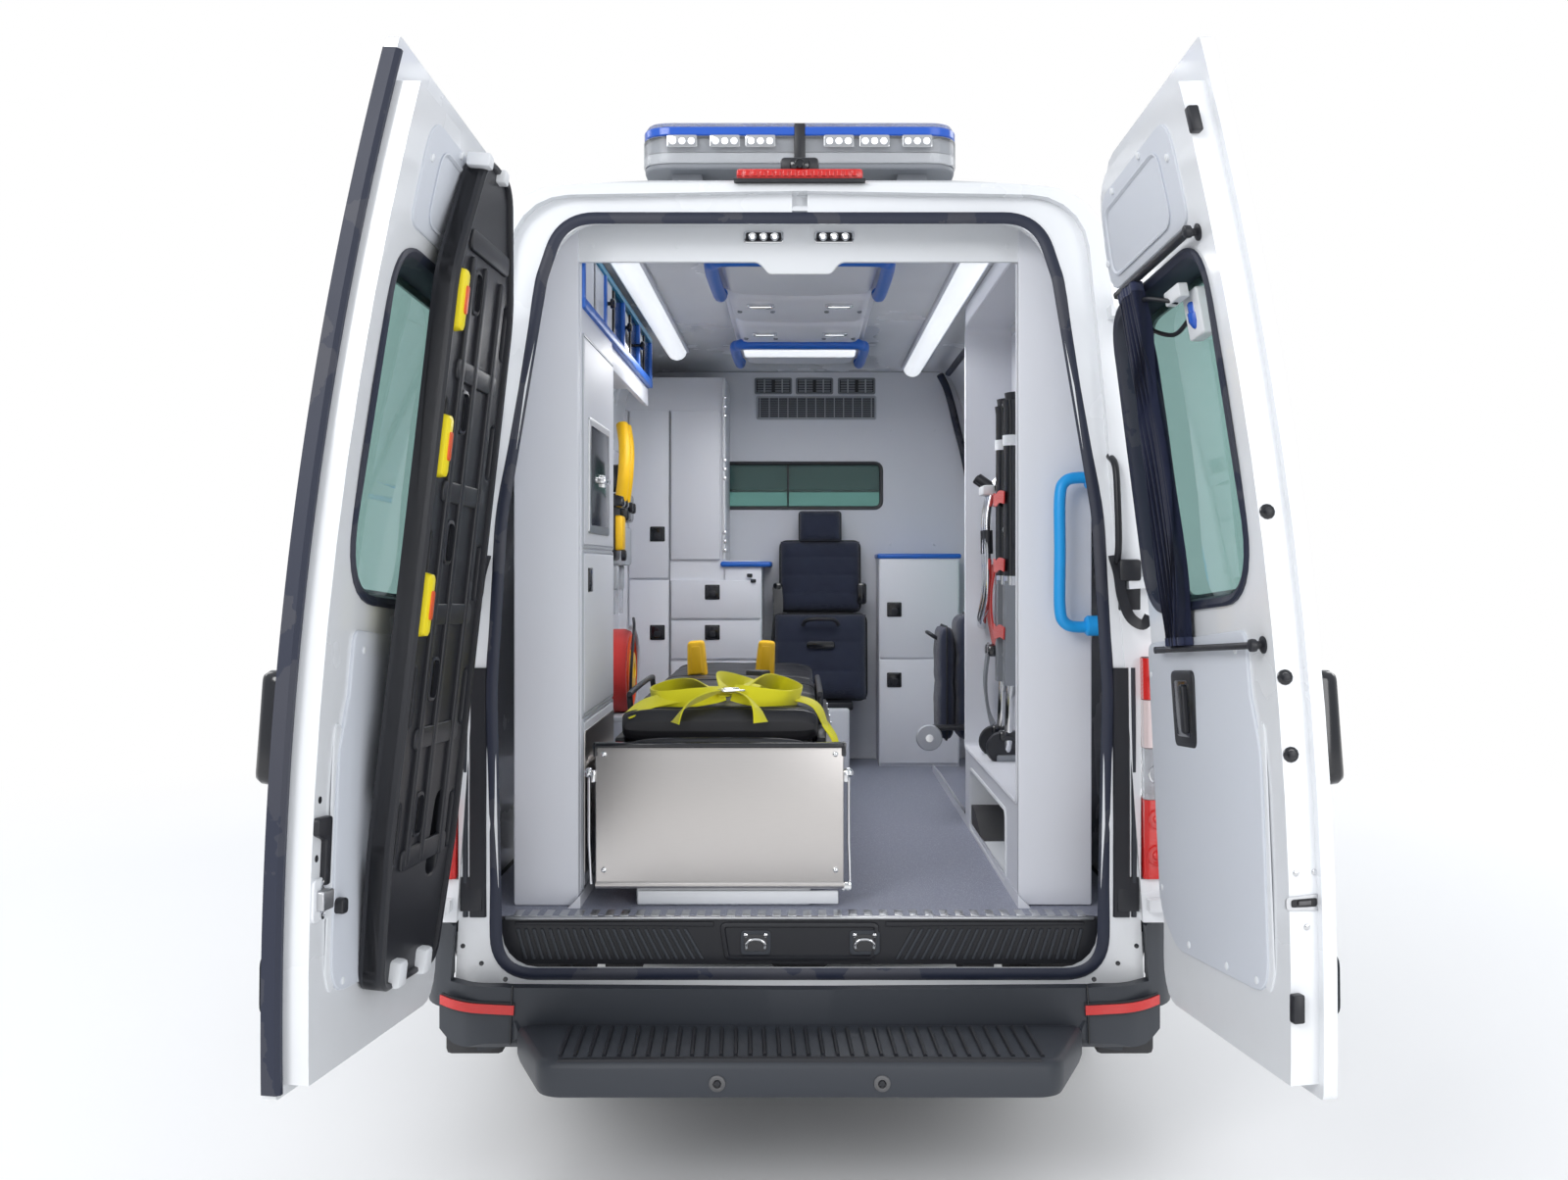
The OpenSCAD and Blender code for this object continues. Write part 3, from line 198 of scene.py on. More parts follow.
class Effects:
    """Shader node groups shared by the materials, worked out from a finish's own values."""

    def __init__(self) -> None:
        """Starts with no group built."""
        self.made: dict[Effect, bpy.types.NodeTree] = {}

    def group(self, effect: Effect) -> bpy.types.NodeTree:
        """Returns the node group of an effect, built once."""
        if effect not in self.made:
            self.made[effect] = self._build(effect)
        return self.made[effect]

    def _build(self, effect: Effect) -> bpy.types.NodeTree:
        """Builds one effect's group with its named sockets.

        Args:
            effect: Which effect.

        Returns:
            The node group.
        """
        tree = bpy.data.node_groups.new(effect.value, "ShaderNodeTree")
        for name, kind in (("Color", "NodeSocketColor"), ("Roughness", "NodeSocketFloat"),
                           ("Scale", "NodeSocketFloat"), ("Vary", "NodeSocketFloat")):
            tree.interface.new_socket(name, in_out="INPUT", socket_type=kind)
        for name, kind in (("Color", "NodeSocketColor"), ("Roughness", "NodeSocketFloat"),
                           ("Height", "NodeSocketFloat")):
            tree.interface.new_socket(name, in_out="OUTPUT", socket_type=kind)
        n = Nodes(tree)
        given = n.add("NodeGroupInput").outputs
        place = n.add("ShaderNodeTexCoord").outputs["Object"]
        soft = n.noise(place, 2.3, 4)
        fine = n.noise(place, given["Scale"], 4)
        tone, height, gloss, tint = self._recipe(n, effect, place, given, soft, fine)
        swing = n.math("MULTIPLY", n.math("SUBTRACT", tone, 0.5), given["Vary"])
        value = n.math("ADD", 1.0, n.math("MULTIPLY", swing, 2.0))
        color = n.add("ShaderNodeHueSaturation", Value=value, Color=tint).outputs[0]
        rough = n.math("ADD", given["Roughness"], n.math("MULTIPLY", n.math("SUBTRACT", gloss, 0.5), 0.14))
        rough = n.math("MAXIMUM", rough, 0.02)
        n.add("NodeGroupOutput", Color=color, Roughness=rough, Height=height)
        return tree

    @staticmethod
    def _recipe(n: Nodes, effect: Effect, place: object, given: object, soft: object, fine: object) -> tuple:
        """Returns (tone, height, gloss, tint) of an effect.

        Args:
            n: Wiring helper of the group.
            effect: Which effect.
            place: Socket with the place on the surface.
            given: Sockets of the group's inputs.
            soft: Socket with slow variation.
            fine: Socket with fine variation.

        Returns:
            Sockets for colour, roughness and height.
        """
        color = given["Color"]
        if effect is Effect.PAINT:
            peel = n.noise(place, 420, 2)
            low = n.add("ShaderNodeSeparateXYZ", Vector=place).outputs[2]
            near_road = n.add("ShaderNodeMapRange", Value=low, From_Min=0.9, From_Max=0.35).outputs[0]
            dust = n.math("MULTIPLY", near_road, n.noise(place, 9, 6))
            tint = n.mix(n.math("MULTIPLY", dust, 0.3), color, (0.42, 0.38, 0.33, 1))
            return soft, peel, n.math("ADD", soft, n.math("MULTIPLY", dust, 2.0)), tint
        if effect is Effect.WEAVE:
            bands = []
            for axes in ((1, 0, 0.35), (0, 1, 1)):
                turned = n.mapping(place, axes)
                bands.append(n.add("ShaderNodeTexWave", {"bands_direction": "DIAGONAL"}, Vector=turned,
                                   Scale=given["Scale"], Distortion=1.2, Detail=1.0).outputs[1])
            weave = n.math("MULTIPLY", bands[0], bands[1])
            return n.math("ADD", n.math("MULTIPLY", weave, 1.4),
                          n.math("MULTIPLY", soft, 0.4)), weave, soft, color
        if effect is Effect.BRUSHED:
            line = n.noise(n.mapping(place, (1, 1, 22)), given["Scale"], 5)
            return n.math("ADD", n.math("MULTIPLY", line, 0.6),
                          n.math("MULTIPLY", soft, 0.4)), line, line, color
        if effect is Effect.SPECKLE:
            cell = n.add("ShaderNodeTexVoronoi", Vector=place, Scale=given["Scale"])
            chip = n.math("LESS_THAN", cell.outputs[0], 0.28)
            pale = n.add("ShaderNodeSeparateColor", Color=cell.outputs[1]).outputs[0]
            tint = n.mix(n.math("MULTIPLY", chip, pale), color, (0.62, 0.64, 0.70, 1))
            dark = n.math("MULTIPLY", chip, n.math("LESS_THAN", pale, 0.3))
            return soft, fine, soft, n.mix(n.math("MULTIPLY", dark, 0.7), tint, (0.09, 0.1, 0.14, 1))
        if effect is Effect.LENS:
            rib = n.add("ShaderNodeTexWave", {"bands_direction": "Z"}, Vector=place, Scale=given["Scale"],
                        Distortion=0.4).outputs[1]
            return soft, rib, soft, color
        if effect is Effect.RUBBER:
            dust = n.math("MULTIPLY", n.math("GREATER_THAN", n.noise(place, 6, 5), 0.55), soft)
            return fine, fine, soft, n.mix(n.math("MULTIPLY", dust, 0.16), color, (0.3, 0.28, 0.25, 1))
        mixed = n.math("ADD", n.math("MULTIPLY", soft, 0.6), n.math("MULTIPLY", fine, 0.4))
        return mixed, fine, mixed, color


EFFECTS = Effects()
MATERIALS: dict[str, bpy.types.Material] = {}


def material(finish: Finish) -> bpy.types.Material:
    """Returns the node material of a finish, made once.

    Args:
        finish: The finish wanted.

    Returns:
        A material whose Principled BSDF is fed by the finish's effect group.
    """
    if finish.name in MATERIALS:
        return MATERIALS[finish.name]
    made = bpy.data.materials.new(finish.name)
    made.use_nodes = True
    made.diffuse_color = (*finish.color, 1)
    tree = made.node_tree
    n = Nodes(tree)
    shader = next(x for x in tree.nodes if x.type == "BSDF_PRINCIPLED")
    group = n.add("ShaderNodeGroup", {"node_tree": EFFECTS.group(finish.effect)})
    for key, value in (("Color", (*finish.color, 1)), ("Roughness", finish.roughness),
                       ("Scale", finish.scale), ("Vary", finish.vary)):
        group.inputs[key].default_value = value
    tree.links.new(group.outputs["Color"], shader.inputs["Base Color"])
    tree.links.new(group.outputs["Roughness"], shader.inputs["Roughness"])
    if finish.bump:
        bump = n.add("ShaderNodeBump", Strength=finish.bump, Distance=0.001, Height=group.outputs["Height"])
        tree.links.new(bump.outputs[0], shader.inputs["Normal"])
    shader.inputs["Metallic"].default_value = finish.metallic
    shader.inputs["Coat Weight"].default_value = finish.coat
    shader.inputs["Coat Roughness"].default_value = 0.08
    shader.inputs["Transmission Weight"].default_value = finish.transmission
    if finish.effect is Effect.WEAVE:
        shader.inputs["Sheen Weight"].default_value = 0.25
    if finish.transmission:
        shader.inputs["IOR"].default_value = 1.45
    if finish.glow:
        tree.links.new(group.outputs["Color"], shader.inputs["Emission Color"])
        shader.inputs["Emission Strength"].default_value = finish.glow
    MATERIALS[finish.name] = made
    return made


# ---------------------------------------------------------------------------
# Outlines and paths, in millimetres
# ---------------------------------------------------------------------------


def rounded(corners: Sequence[Point], radius: float | Sequence[float], steps: int = 5) -> Outline:
    """Rounds a closed outline's corners.

    Args:
        corners: Corner points in order.
        radius: One radius, or one a corner.
        steps: Segments in each corner.

    Returns:
        The rounded outline.
    """
    out: Outline = []
    count = len(corners)
    radii = [radius] * count if isinstance(radius, (int, float)) else list(radius)
    for i, corner in enumerate(corners):
        here = Vector(corner)
        before = Vector(corners[i - 1]) - here
        after = Vector(corners[(i + 1) % count]) - here
        turn = before.angle(after)
        cut = radii[i] / max(math.tan(turn / 2), 1e-6)
        cut = min(cut, before.length * 0.499, after.length * 0.499)
        if radii[i] <= 0 or turn > math.pi - 0.02:
            out.append(tuple(here))
            continue
        a, b = here + before.normalized() * cut, here + after.normalized() * cut
        for k in range(steps + 1):
            t = k / steps
            out.append(tuple(a * (1 - t) ** 2 + here * 2 * t * (1 - t) + b * t * t))
    return out


def box_outline(x0: float, y0: float, x1: float, y1: float, radius: float = 0.0, steps: int = 5) -> Outline:
    """Returns a rectangle's outline with rounded corners."""
    return rounded([(x0, y0), (x1, y0), (x1, y1), (x0, y1)], radius, steps)


def disc_outline(x: float, y: float, radius: float, sides: int = 24) -> Outline:
    """Returns a circle's outline."""
    turns = (2 * math.pi * k / sides for k in range(sides))
    return [(x + radius * math.cos(a), y + radius * math.sin(a)) for a in turns]


def grown(outline: Sequence[Point], by: float) -> Outline:
    """Moves an outline outwards along its own normals.

    Args:
        outline: Closed outline.
        by: How far outwards.

    Returns:
        The moved outline.
    """
    count = len(outline)
    area = sum(outline[i - 1][0] * outline[i][1] - outline[i][0] * outline[i - 1][1] for i in range(count))
    sign = 1 if area > 0 else -1
    out = []
    for i in range(count):
        a, b, c = Vector(outline[i - 1]), Vector(outline[i]), Vector(outline[(i + 1) % count])
        n1 = Vector(((b - a).y, -(b - a).x)).normalized()
        n2 = Vector(((c - b).y, -(c - b).x)).normalized()
        n = (n1 + n2).normalized() if (n1 + n2).length > 1e-6 else n1
        out.append(tuple(b + n * (sign * by / max(n.dot(n1), 0.4))))
    return out


def dense(ring: Outline, step: float = 90) -> Outline:
    """Returns a closed outline with extra points, so that no side is longer than about step.

    Args:
        ring: Closed outline.
        step: Longest side wanted.

    Returns:
        The outline with more points.
    """
    out = []
    for (x, y), (nx, ny) in zip(ring, [*ring[1:], ring[0]]):
        parts = max(int(math.hypot(nx - x, ny - y) / step), 1)
        out += [(x + (nx - x) * k / parts, y + (ny - y) * k / parts) for k in range(parts)]
    return out


def smooth_path(points: Sequence[Point], steps: int = 6, closed: bool = False) -> list[Vector]:
    """Runs a Catmull-Rom curve through points.

    Args:
        points: Points that it runs through.
        steps: Pieces to each stretch.
        closed: Whether it is a loop.

    Returns:
        The curve's points.
    """
    given = [Vector(p) for p in points]
    count = len(given)
    pick = (lambda i: given[i % count]) if closed else (lambda i: given[min(max(i, 0), count - 1)])
    out = []
    for i in range(count if closed else count - 1):
        a, b, c, d = pick(i - 1), pick(i), pick(i + 1), pick(i + 2)
        for k in range(steps):
            t = k / steps
            out.append(0.5 * (2 * b + (c - a) * t + (2 * a - 5 * b + 4 * c - d) * t ** 2
                              + (3 * b - a - 3 * c + d) * t ** 3))
    return out if closed else [*out, given[-1]]


# ---------------------------------------------------------------------------
# Where shapes go
# ---------------------------------------------------------------------------


class Facing(Enum):
    """Side a local drawing is looked at from: (right, up, towards the viewer)."""

    REAR = ((0, -1, 0), (0, 0, 1), (-1, 0, 0))
    FRONT = ((0, 1, 0), (0, 0, 1), (1, 0, 0))
    LEFT = ((-1, 0, 0), (0, 0, 1), (0, 1, 0))
    RIGHT = ((1, 0, 0), (0, 0, 1), (0, -1, 0))
    UP = ((0, -1, 0), (1, 0, 0), (0, 0, 1))
    DOWN = ((0, 1, 0), (1, 0, 0), (0, 0, -1))


REAR, FRONT, LEFT, RIGHT, UP, DOWN = Facing


def facing(origin: Point, side: Facing, roll: float = 0.0) -> Matrix:
    """Returns the matrix that places a local drawing: x right, y up and z towards the viewer.

    Args:
        origin: Where its origin goes.
        side: Where it is looked at from.
        roll: Turn in the drawing's own plane, in degrees.

    Returns:
        A 4x4 matrix in millimetres.
    """
    matrix = Matrix([Vector(v) for v in side.value]).transposed().to_4x4()
    return Matrix.Translation(Vector(origin)) @ matrix @ Matrix.Rotation(math.radians(roll), 4, "Z")


def van(p: Vector) -> Vector:
    """Maps (distance ahead of the rear plane, y, z) in millimetres to the row frame."""
    return Vector((REAR_X + p.x * MM, p.y * MM, p.z * MM))


def rear_bow(z: float) -> float:
    """Returns how far ahead of the rear plane the rear doors' skin is at a height."""
    return -42 + (z - 1282) ** 2 / 14550


JOINTS = {j["name"]: j for j in frame["joints"]}


@dataclass(frozen=True)
class DoorSpace:
    """Maps a rear door's own (depth, distance from the middle, height) to the row frame, open at rest."""

    side: int

    @property
    def body(self) -> str:
        """Name of the door's body."""
        return "rear_door_left" if self.side > 0 else "rear_door_right"

    def __call__(self, p: Vector) -> Vector:
        """Maps one point.

        Args:
            p: Point in millimetres.

        Returns:
            The point in the scene.
        """
        joint = JOINTS[f"{self.body}_hinge"]
        at, axis = (Vector(joint[k]) for k in ("pos_m", "axis"))
        shut = van(Vector((rear_bow(p.z) + p.x, self.side * p.y, p.z)))
        turn = Matrix.Rotation(-math.radians(joint["range_deg"][0]), 3, axis)
        return at + turn @ (shut - at)


# ---------------------------------------------------------------------------
# Building pieces
# ---------------------------------------------------------------------------


class Bench:
    """Builds one named piece out of shapes drawn in millimetres."""

    def __init__(self, name: str, body: str = "body", space: Callable[[Vector], Vector] = van) -> None:
        """Starts an empty piece.

        Args:
            name: Name of the piece.
            body: Body that it rides on.
            space: Mapping to the scene.
        """
        self.name = name
        self.body = body
        self.space = space
        self.at = Matrix.Identity(4)
        self.verts: list[Vector] = []
        self.faces: list[tuple[int, ...]] = []
        self.marks: list[int] = []
        self.finishes: list[Finish] = []

    def add(self, verts: Iterable[Point], faces: Iterable[Sequence[int]], finish: Finish) -> None:
        """Adds raw geometry, placed by the bench's current matrix.

        Args:
            verts: Points.
            faces: Faces, as point numbers.
            finish: Finish.
        """
        if finish not in self.finishes:
            self.finishes.append(finish)
        mark = self.finishes.index(finish)
        base = len(self.verts)
        self.verts.extend(self.at @ Vector(v) for v in verts)
        for face in faces:
            self.faces.append(tuple(base + i for i in face))
            self.marks.append(mark)

    def block(self, lo: Point, hi: Point, finish: Finish, r: float = 0.0, steps: int = 2) -> None:
        """Adds a box with rounded edges.

        Args:
            lo: Lowest corner.
            hi: Highest corner.
            finish: Finish.
            r: Edge radius.
            steps: Pieces to each stretch.
        """
        low = [min(a, b) for a, b in zip(lo, hi)]
        high = [max(a, b) for a, b in zip(lo, hi)]
        mesh = bmesh.new()
        bmesh.ops.create_cube(mesh, size=1)
        size = [b - a for a, b in zip(low, high)]
        for v in mesh.verts:
            v.co = Vector([low[i] + (v.co[i] + 0.5) * size[i] for i in range(3)])
        if r > 0:
            bmesh.ops.bevel(mesh, geom=mesh.edges[:], offset=min(r, min(size) * 0.49), segments=steps,
                            profile=0.5, affect="EDGES")
        mesh.verts.index_update()
        self.add([v.co.copy() for v in mesh.verts], [[v.index for v in f.verts] for f in mesh.faces], finish)
        mesh.free()

    def tube(self, path: Sequence[Point], radius: float | Sequence[float], finish: Finish, sides: int = 10,
             closed: bool = False) -> None:
        """Adds a round bar along a path."""
        count = len(path)
        radii = [radius] * count if isinstance(radius, (int, float)) else list(radius)
        ring = [(math.cos(2 * math.pi * k / sides), math.sin(2 * math.pi * k / sides)) for k in range(sides)]
        self._sweep(path, [[(x * r, y * r) for x, y in ring] for r in radii], finish, closed, None)

    def sweep(self, path: Sequence[Point], profile: Outline, finish: Finish, closed: bool = False,
              up: Point | None = None) -> None:
        """Adds a closed profile swept along a path; its y goes towards up if that is given."""
        self._sweep(path, [profile] * len(path), finish, closed, up)

    def _sweep(self, path: Sequence[Point], rings: Sequence[Outline], finish: Finish, closed: bool,
               up: Point | None) -> None:
        """Skins a row of rings that follow a path.

        Args:
            path: Points along the middle.
            rings: Outlines one after another.
            finish: Finish.
            closed: Whether it is a loop.
            up: Direction kept upwards.
        """
        points = [Vector(p) for p in path]
        count = len(points)
        side: Vector | None = None
        verts: list[Vector] = []
        for i, here in enumerate(points):
            ahead = points[(i + 1) % count] if closed or i < count - 1 else here
            behind = points[i - 1] if closed or i else here
            along = (ahead - behind).normalized()
            if up is not None:
                side = Vector(up).cross(along)
                side = side.normalized() if side.length > 1e-4 else Vector((1, 0, 0))
            elif side is None:
                start = Vector((0, 0, 1)) if abs(along.z) < 0.9 else Vector((1, 0, 0))
                side = start.cross(along).normalized()
            else:
                side = (side - along * side.dot(along)).normalized()
            lift = along.cross(side)
            verts.extend(here + side * x + lift * y for x, y in rings[i])
        width = len(rings[0])
        faces: list[Sequence[int]] = []
        for i in range(count if closed else count - 1):
            j = (i + 1) % count
            for k in range(width):
                m = (k + 1) % width
                faces.append((i * width + k, i * width + m, j * width + m, j * width + k))
        if not closed:
            faces += [tuple(range(width))[::-1], tuple((count - 1) * width + k for k in range(width))]
        self.add(verts, faces, finish)

    def lathe(self, profile: Sequence[Point], finish: Finish, sides: int = 24) -> None:
        """Adds a body turned about the local z axis from (radius, height) points.

        Args:
            profile: Pairs of radius and height.
            finish: Finish.
            sides: Sides around.
        """
        verts: list[Point] = []
        for r, h in profile:
            verts.extend((r * math.cos(2 * math.pi * k / sides), r * math.sin(2 * math.pi * k / sides), h)
                         for k in range(sides))
        faces: list[Sequence[int]] = []
        for i in range(len(profile) - 1):
            for k in range(sides):
                m = (k + 1) % sides
                faces.append((i * sides + k, i * sides + m, (i + 1) * sides + m, (i + 1) * sides + k))
        last = (len(profile) - 1) * sides
        faces += [tuple(range(sides))[::-1], tuple(last + k for k in range(sides))]
        self.add(verts, faces, finish)

    def loft(self, rings: Sequence[tuple[Outline, float]], finish: Finish, caps: bool = True) -> None:
        """Adds a skin through outlines of the same point count, each at its own local height.

        Args:
            rings: Pairs of an outline and its height.
            finish: Finish.
            caps: Whether the ends are closed.
        """
        width = len(rings[0][0])
        verts = [(x, y, h) for outline, h in rings for x, y in outline]
        faces: list[Sequence[int]] = []
        for i in range(len(rings) - 1):
            for k in range(width):
                m = (k + 1) % width
                faces.append((i * width + k, i * width + m, (i + 1) * width + m, (i + 1) * width + k))
        if caps:
            last = (len(rings) - 1) * width
            faces += [tuple(range(width))[::-1], tuple(last + k for k in range(width))]
        self.add(verts, faces, finish)

    def pad(self, outline: Outline, height: float, finish: Finish, r: float = 3.0, base: float = 0.0) -> None:
        """Adds a raised piece with a rounded upper edge.

        Args:
            outline: Closed outline.
            height: How far it stands out.
            finish: Finish.
            r: Edge radius.
            base: Height that it stands on.
        """
        rings = [(outline, base), (outline, base + height - r)]
        for k in (1, 2, 3):
            a = k * math.pi / 6
            rings.append((grown(outline, -r * (1 - math.cos(a))), base + height - r + r * math.sin(a)))
        self.loft(rings, finish)

    def plate(self, outline: Outline, holes: Sequence[Outline], low: float, high: float, finish: Finish,
              r: float = 0.0) -> None:
        """Adds a flat plate with holes, from one local height to another, its edges eased by r.

        Args:
            outline: Closed outline.
            holes: Outlines cut out.
            low: Lower height.
            high: Upper height.
            finish: Finish.
            r: Edge radius.
        """
        curve = bpy.data.curves.new("plate", "CURVE")
        curve.dimensions = "2D"
        curve.fill_mode = "BOTH"
        curve.extrude = max((high - low) / 2 - r, 0.01)
        curve.bevel_depth = r
        curve.offset = -r
        curve.bevel_resolution = 1
        for loop in (outline, *holes):
            spline = curve.splines.new("POLY")
            spline.points.add(len(loop) - 1)
            for point, (x, y) in zip(spline.points, loop):
                point.co = (x, y, 0, 1)
            spline.use_cyclic_u = True
        holder = bpy.data.objects.new("plate", curve)
        mesh = bpy.data.meshes.new_from_object(holder)
        middle = (low + high) / 2
        self.add([(v.co.x, v.co.y, v.co.z + middle) for v in mesh.vertices],
                 [tuple(p.vertices) for p in mesh.polygons], finish)
        bpy.data.objects.remove(holder)
        bpy.data.meshes.remove(mesh)
        bpy.data.curves.remove(curve)

    def frame_rim(self, outline: Outline, profile: Outline, finish: Finish) -> None:
        """Sweeps a profile round a closed local outline: its x outwards, its y towards the viewer.

        Args:
            outline: Closed outline.
            profile: Pairs of growth and height.
            finish: Finish.
        """
        count = len(outline)
        area = sum(outline[i - 1][0] * outline[i][1] - outline[i][0] * outline[i - 1][1]
                   for i in range(count))
        loop = outline if area > 0 else outline[::-1]
        verts = []
        for x, y in profile:
            verts.extend((*p, y) for p in grown(loop, x))
        faces = []
        width = len(profile)
        for i in range(width):
            j = (i + 1) % width
            for k in range(count):
                m = (k + 1) % count
                faces.append((i * count + k, i * count + m, j * count + m, j * count + k))
        self.add(verts, faces, finish)

    def bolt(self, at: Point, side: Facing, radius: float, finish: Finish, height: float = 3.0) -> None:
        """Adds a round-headed screw.

        Args:
            at: Where it goes.
            side: Side that it faces.
            radius: Radius.
            finish: Finish.
            height: How far it stands out.
        """
        keep = self.at
        self.at = keep @ facing(at, side)
        self.lathe([(radius, -1), (radius, height * 0.5), (radius * 0.8, height * 0.9),
                    (radius * 0.35, height)],
                   finish, 12)
        self.at = keep

    def surface(self, nu: int, nv: int, at: Callable[[float, float], Point], finish: Finish,
                thick: float = 0.0, closed_u: bool = False) -> None:
        """Adds a grid given by a function of two numbers from 0 to 1, thickened along its normals.

        Args:
            nu: Steps along u.
            nv: Steps along v.
            at: Point at u and v.
            finish: Finish.
            thick: Thickness.
            closed_u: Whether u runs round.
        """
        rows = [[Vector(at(i / (nu if closed_u else nu - 1), j / (nv - 1))) for i in range(nu)]
                for j in range(nv)]
        verts = [p for row in rows for p in row]
        faces: list[tuple[int, ...]] = []
        for j in range(nv - 1):
            for i in range(nu if closed_u else nu - 1):
                k = (i + 1) % nu
                faces.append((j * nu + i, j * nu + k, (j + 1) * nu + k, (j + 1) * nu + i))
        if thick:
            mesh = bmesh.new()
            points = [mesh.verts.new(v) for v in verts]
            for face in faces:
                mesh.faces.new([points[i] for i in face])
            bmesh.ops.solidify(mesh, geom=mesh.faces[:], thickness=thick)
            mesh.verts.index_update()
            verts = [v.co.copy() for v in mesh.verts]
            faces = [tuple(v.index for v in f.verts) for f in mesh.faces]
            mesh.free()
        self.add(verts, faces, finish)

    def done(self, *nodes: str, slot: str = "", smooth: float = 38.0,
             double: bool = False) -> bpy.types.Object:
        """Makes the object, puts it on its body and hides the CAD nodes it replaces.

        Args:
            nodes: CAD nodes it replaces.
            slot: Not used.
            smooth: Angle in degrees under which edges are smooth.
            double: True to leave the faces' directions as they are.

        Returns:
            The new object.
        """
        mesh = bpy.data.meshes.new(self.name)
        mesh.from_pydata([self.space(v) for v in self.verts], [], self.faces)
        mesh.polygons.foreach_set("material_index", self.marks)
        for finish in self.finishes:
            mesh.materials.append(material(finish))
        if not double:
            shape = bmesh.new()
            shape.from_mesh(mesh)
            bmesh.ops.recalc_face_normals(shape, faces=shape.faces[:])
            shape.to_mesh(mesh)
            shape.free()
        mesh.shade_smooth()
        mesh.set_sharp_from_angle(angle=math.radians(smooth))
        made = bpy.data.objects.new(self.name, mesh)
        bpy.context.scene.collection.objects.link(made)
        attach(made, self.body)
        if nodes:
            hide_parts(*nodes)
        return made


# ---------------------------------------------------------------------------
# Stage
# ---------------------------------------------------------------------------


@dataclass
class Studio:
    """Pale floor, soft light, white surroundings and the camera."""

    distance: float = 3.6
    height: float = 1.6
    lens: float = 32.4
    shift: tuple[float, float] = (-0.01, -0.0156)
    lamps: tuple[tuple[Point, Point, float, float], ...] = (
        ((-9.5, 4.5, 5.5), (-1.5, 0.3, 1.4), 4.0, 330),
        ((-9.0, -4.0, 3.0), (-2.0, 0.0, 1.2), 4.0, 150),
        ((0.5, 7.5, 6.5), (0.0, 0.0, 1.0), 5.0, 150),
        ((2.0, -7.5, 6.0), (0.0, 0.0, 1.0), 5.0, 190),
        ((8.5, 0.0, 5.5), (1.5, 0.0, 1.0), 4.0, 110),
        ((-0.9, 0.0, 2.38), (-0.9, 0.0, 0.0), 1.1, 16),
    )

    def build(self) -> None:
        """Sets up the whole stage."""
        self._floor()
        self._world()
        self._lights()
        self._camera()

    def _floor(self) -> None:
        """Adds the pale floor, which fades to white far out."""
        bench = Bench("studio_floor", space=lambda p: p * MM)
        bench.surface(2, 2, lambda u, v: ((u - 0.5) * 60000, (v - 0.5) * 60000, -1), COVER)
        mesh = bpy.data.meshes.new("studio_floor")
        mesh.from_pydata([bench.space(v) for v in bench.verts], [], bench.faces)
        floor = bpy.data.objects.new("studio_floor", mesh)
        bpy.context.scene.collection.objects.link(floor)
        made = bpy.data.materials.new("studio_floor")
        made.use_nodes = True
        tree = made.node_tree
        n = Nodes(tree)
        shader = next(x for x in tree.nodes if x.type == "BSDF_PRINCIPLED")
        out = next(x for x in tree.nodes if x.type == "OUTPUT_MATERIAL")
        grain = n.noise(n.add("ShaderNodeTexCoord").outputs["Object"], 60)
        shade = n.mix(n.math("MULTIPLY", grain, 0.04), (0.93, 0.93, 0.935, 1), (0.8, 0.8, 0.8, 1))
        tree.links.new(shade, shader.inputs["Base Color"])
        shader.inputs["Roughness"].default_value = 0.9
        shader.inputs["Specular IOR Level"].default_value = 0.1
        plain = n.add("ShaderNodeEmission", Color=(1, 1, 1, 1), Strength=1.0)
        place = n.add("ShaderNodeNewGeometry").outputs["Position"]
        reach = n.add("ShaderNodeVectorMath", {"operation": "LENGTH"}, s0=place).outputs["Value"]
        fade = n.add("ShaderNodeMapRange", {"interpolation_type": "SMOOTHSTEP"}, Value=reach, From_Min=3.2,
                     From_Max=7.0).outputs[0]
        blend = n.add("ShaderNodeMixShader", s0=fade, s1=shader.outputs[0], s2=plain.outputs[0])
        tree.links.new(blend.outputs[0], out.inputs[0])
        mesh.materials.append(made)

    @staticmethod
    def _world() -> None:
        """Adds the soft sky and the white background."""
        world = bpy.data.worlds.new("studio")
        bpy.context.scene.world = world
        world.use_nodes = True
        tree = world.node_tree
        tree.nodes.clear()
        n = Nodes(tree)
        path = n.add("ShaderNodeLightPath").outputs
        up = n.add("ShaderNodeSeparateXYZ",
                   Vector=n.add("ShaderNodeTexCoord").outputs["Generated"]).outputs[2]
        level = n.add("ShaderNodeMapRange", Value=up, From_Min=-0.2, From_Max=0.8, To_Min=0.52,
                      To_Max=0.8).outputs[0]
        soft = n.add("ShaderNodeBackground", Color=(0.93, 0.96, 1.0, 1), Strength=level)
        white = n.add("ShaderNodeBackground", Color=(1, 1, 1, 1), Strength=1.0)
        seen = n.math("MAXIMUM", path["Is Camera Ray"], path["Is Transmission Ray"])
        blend = n.add("ShaderNodeMixShader", s0=seen, s1=soft.outputs[0], s2=white.outputs[0])
        n.add("ShaderNodeOutputWorld", Surface=blend.outputs[0])

    def _lights(self) -> None:
        """Adds the disc lamps."""
        for i, (place, target, size, power) in enumerate(self.lamps):
            data = bpy.data.lights.new(f"lamp_{i}", "AREA")
            data.shape = "DISK"
            data.size = size
            data.energy = power
            lamp = bpy.data.objects.new(f"lamp_{i}", data)
            lamp.location = place
            lamp.rotation_euler = (Vector(target) - Vector(place)).to_track_quat("-Z", "Y").to_euler()
            bpy.context.scene.collection.objects.link(lamp)

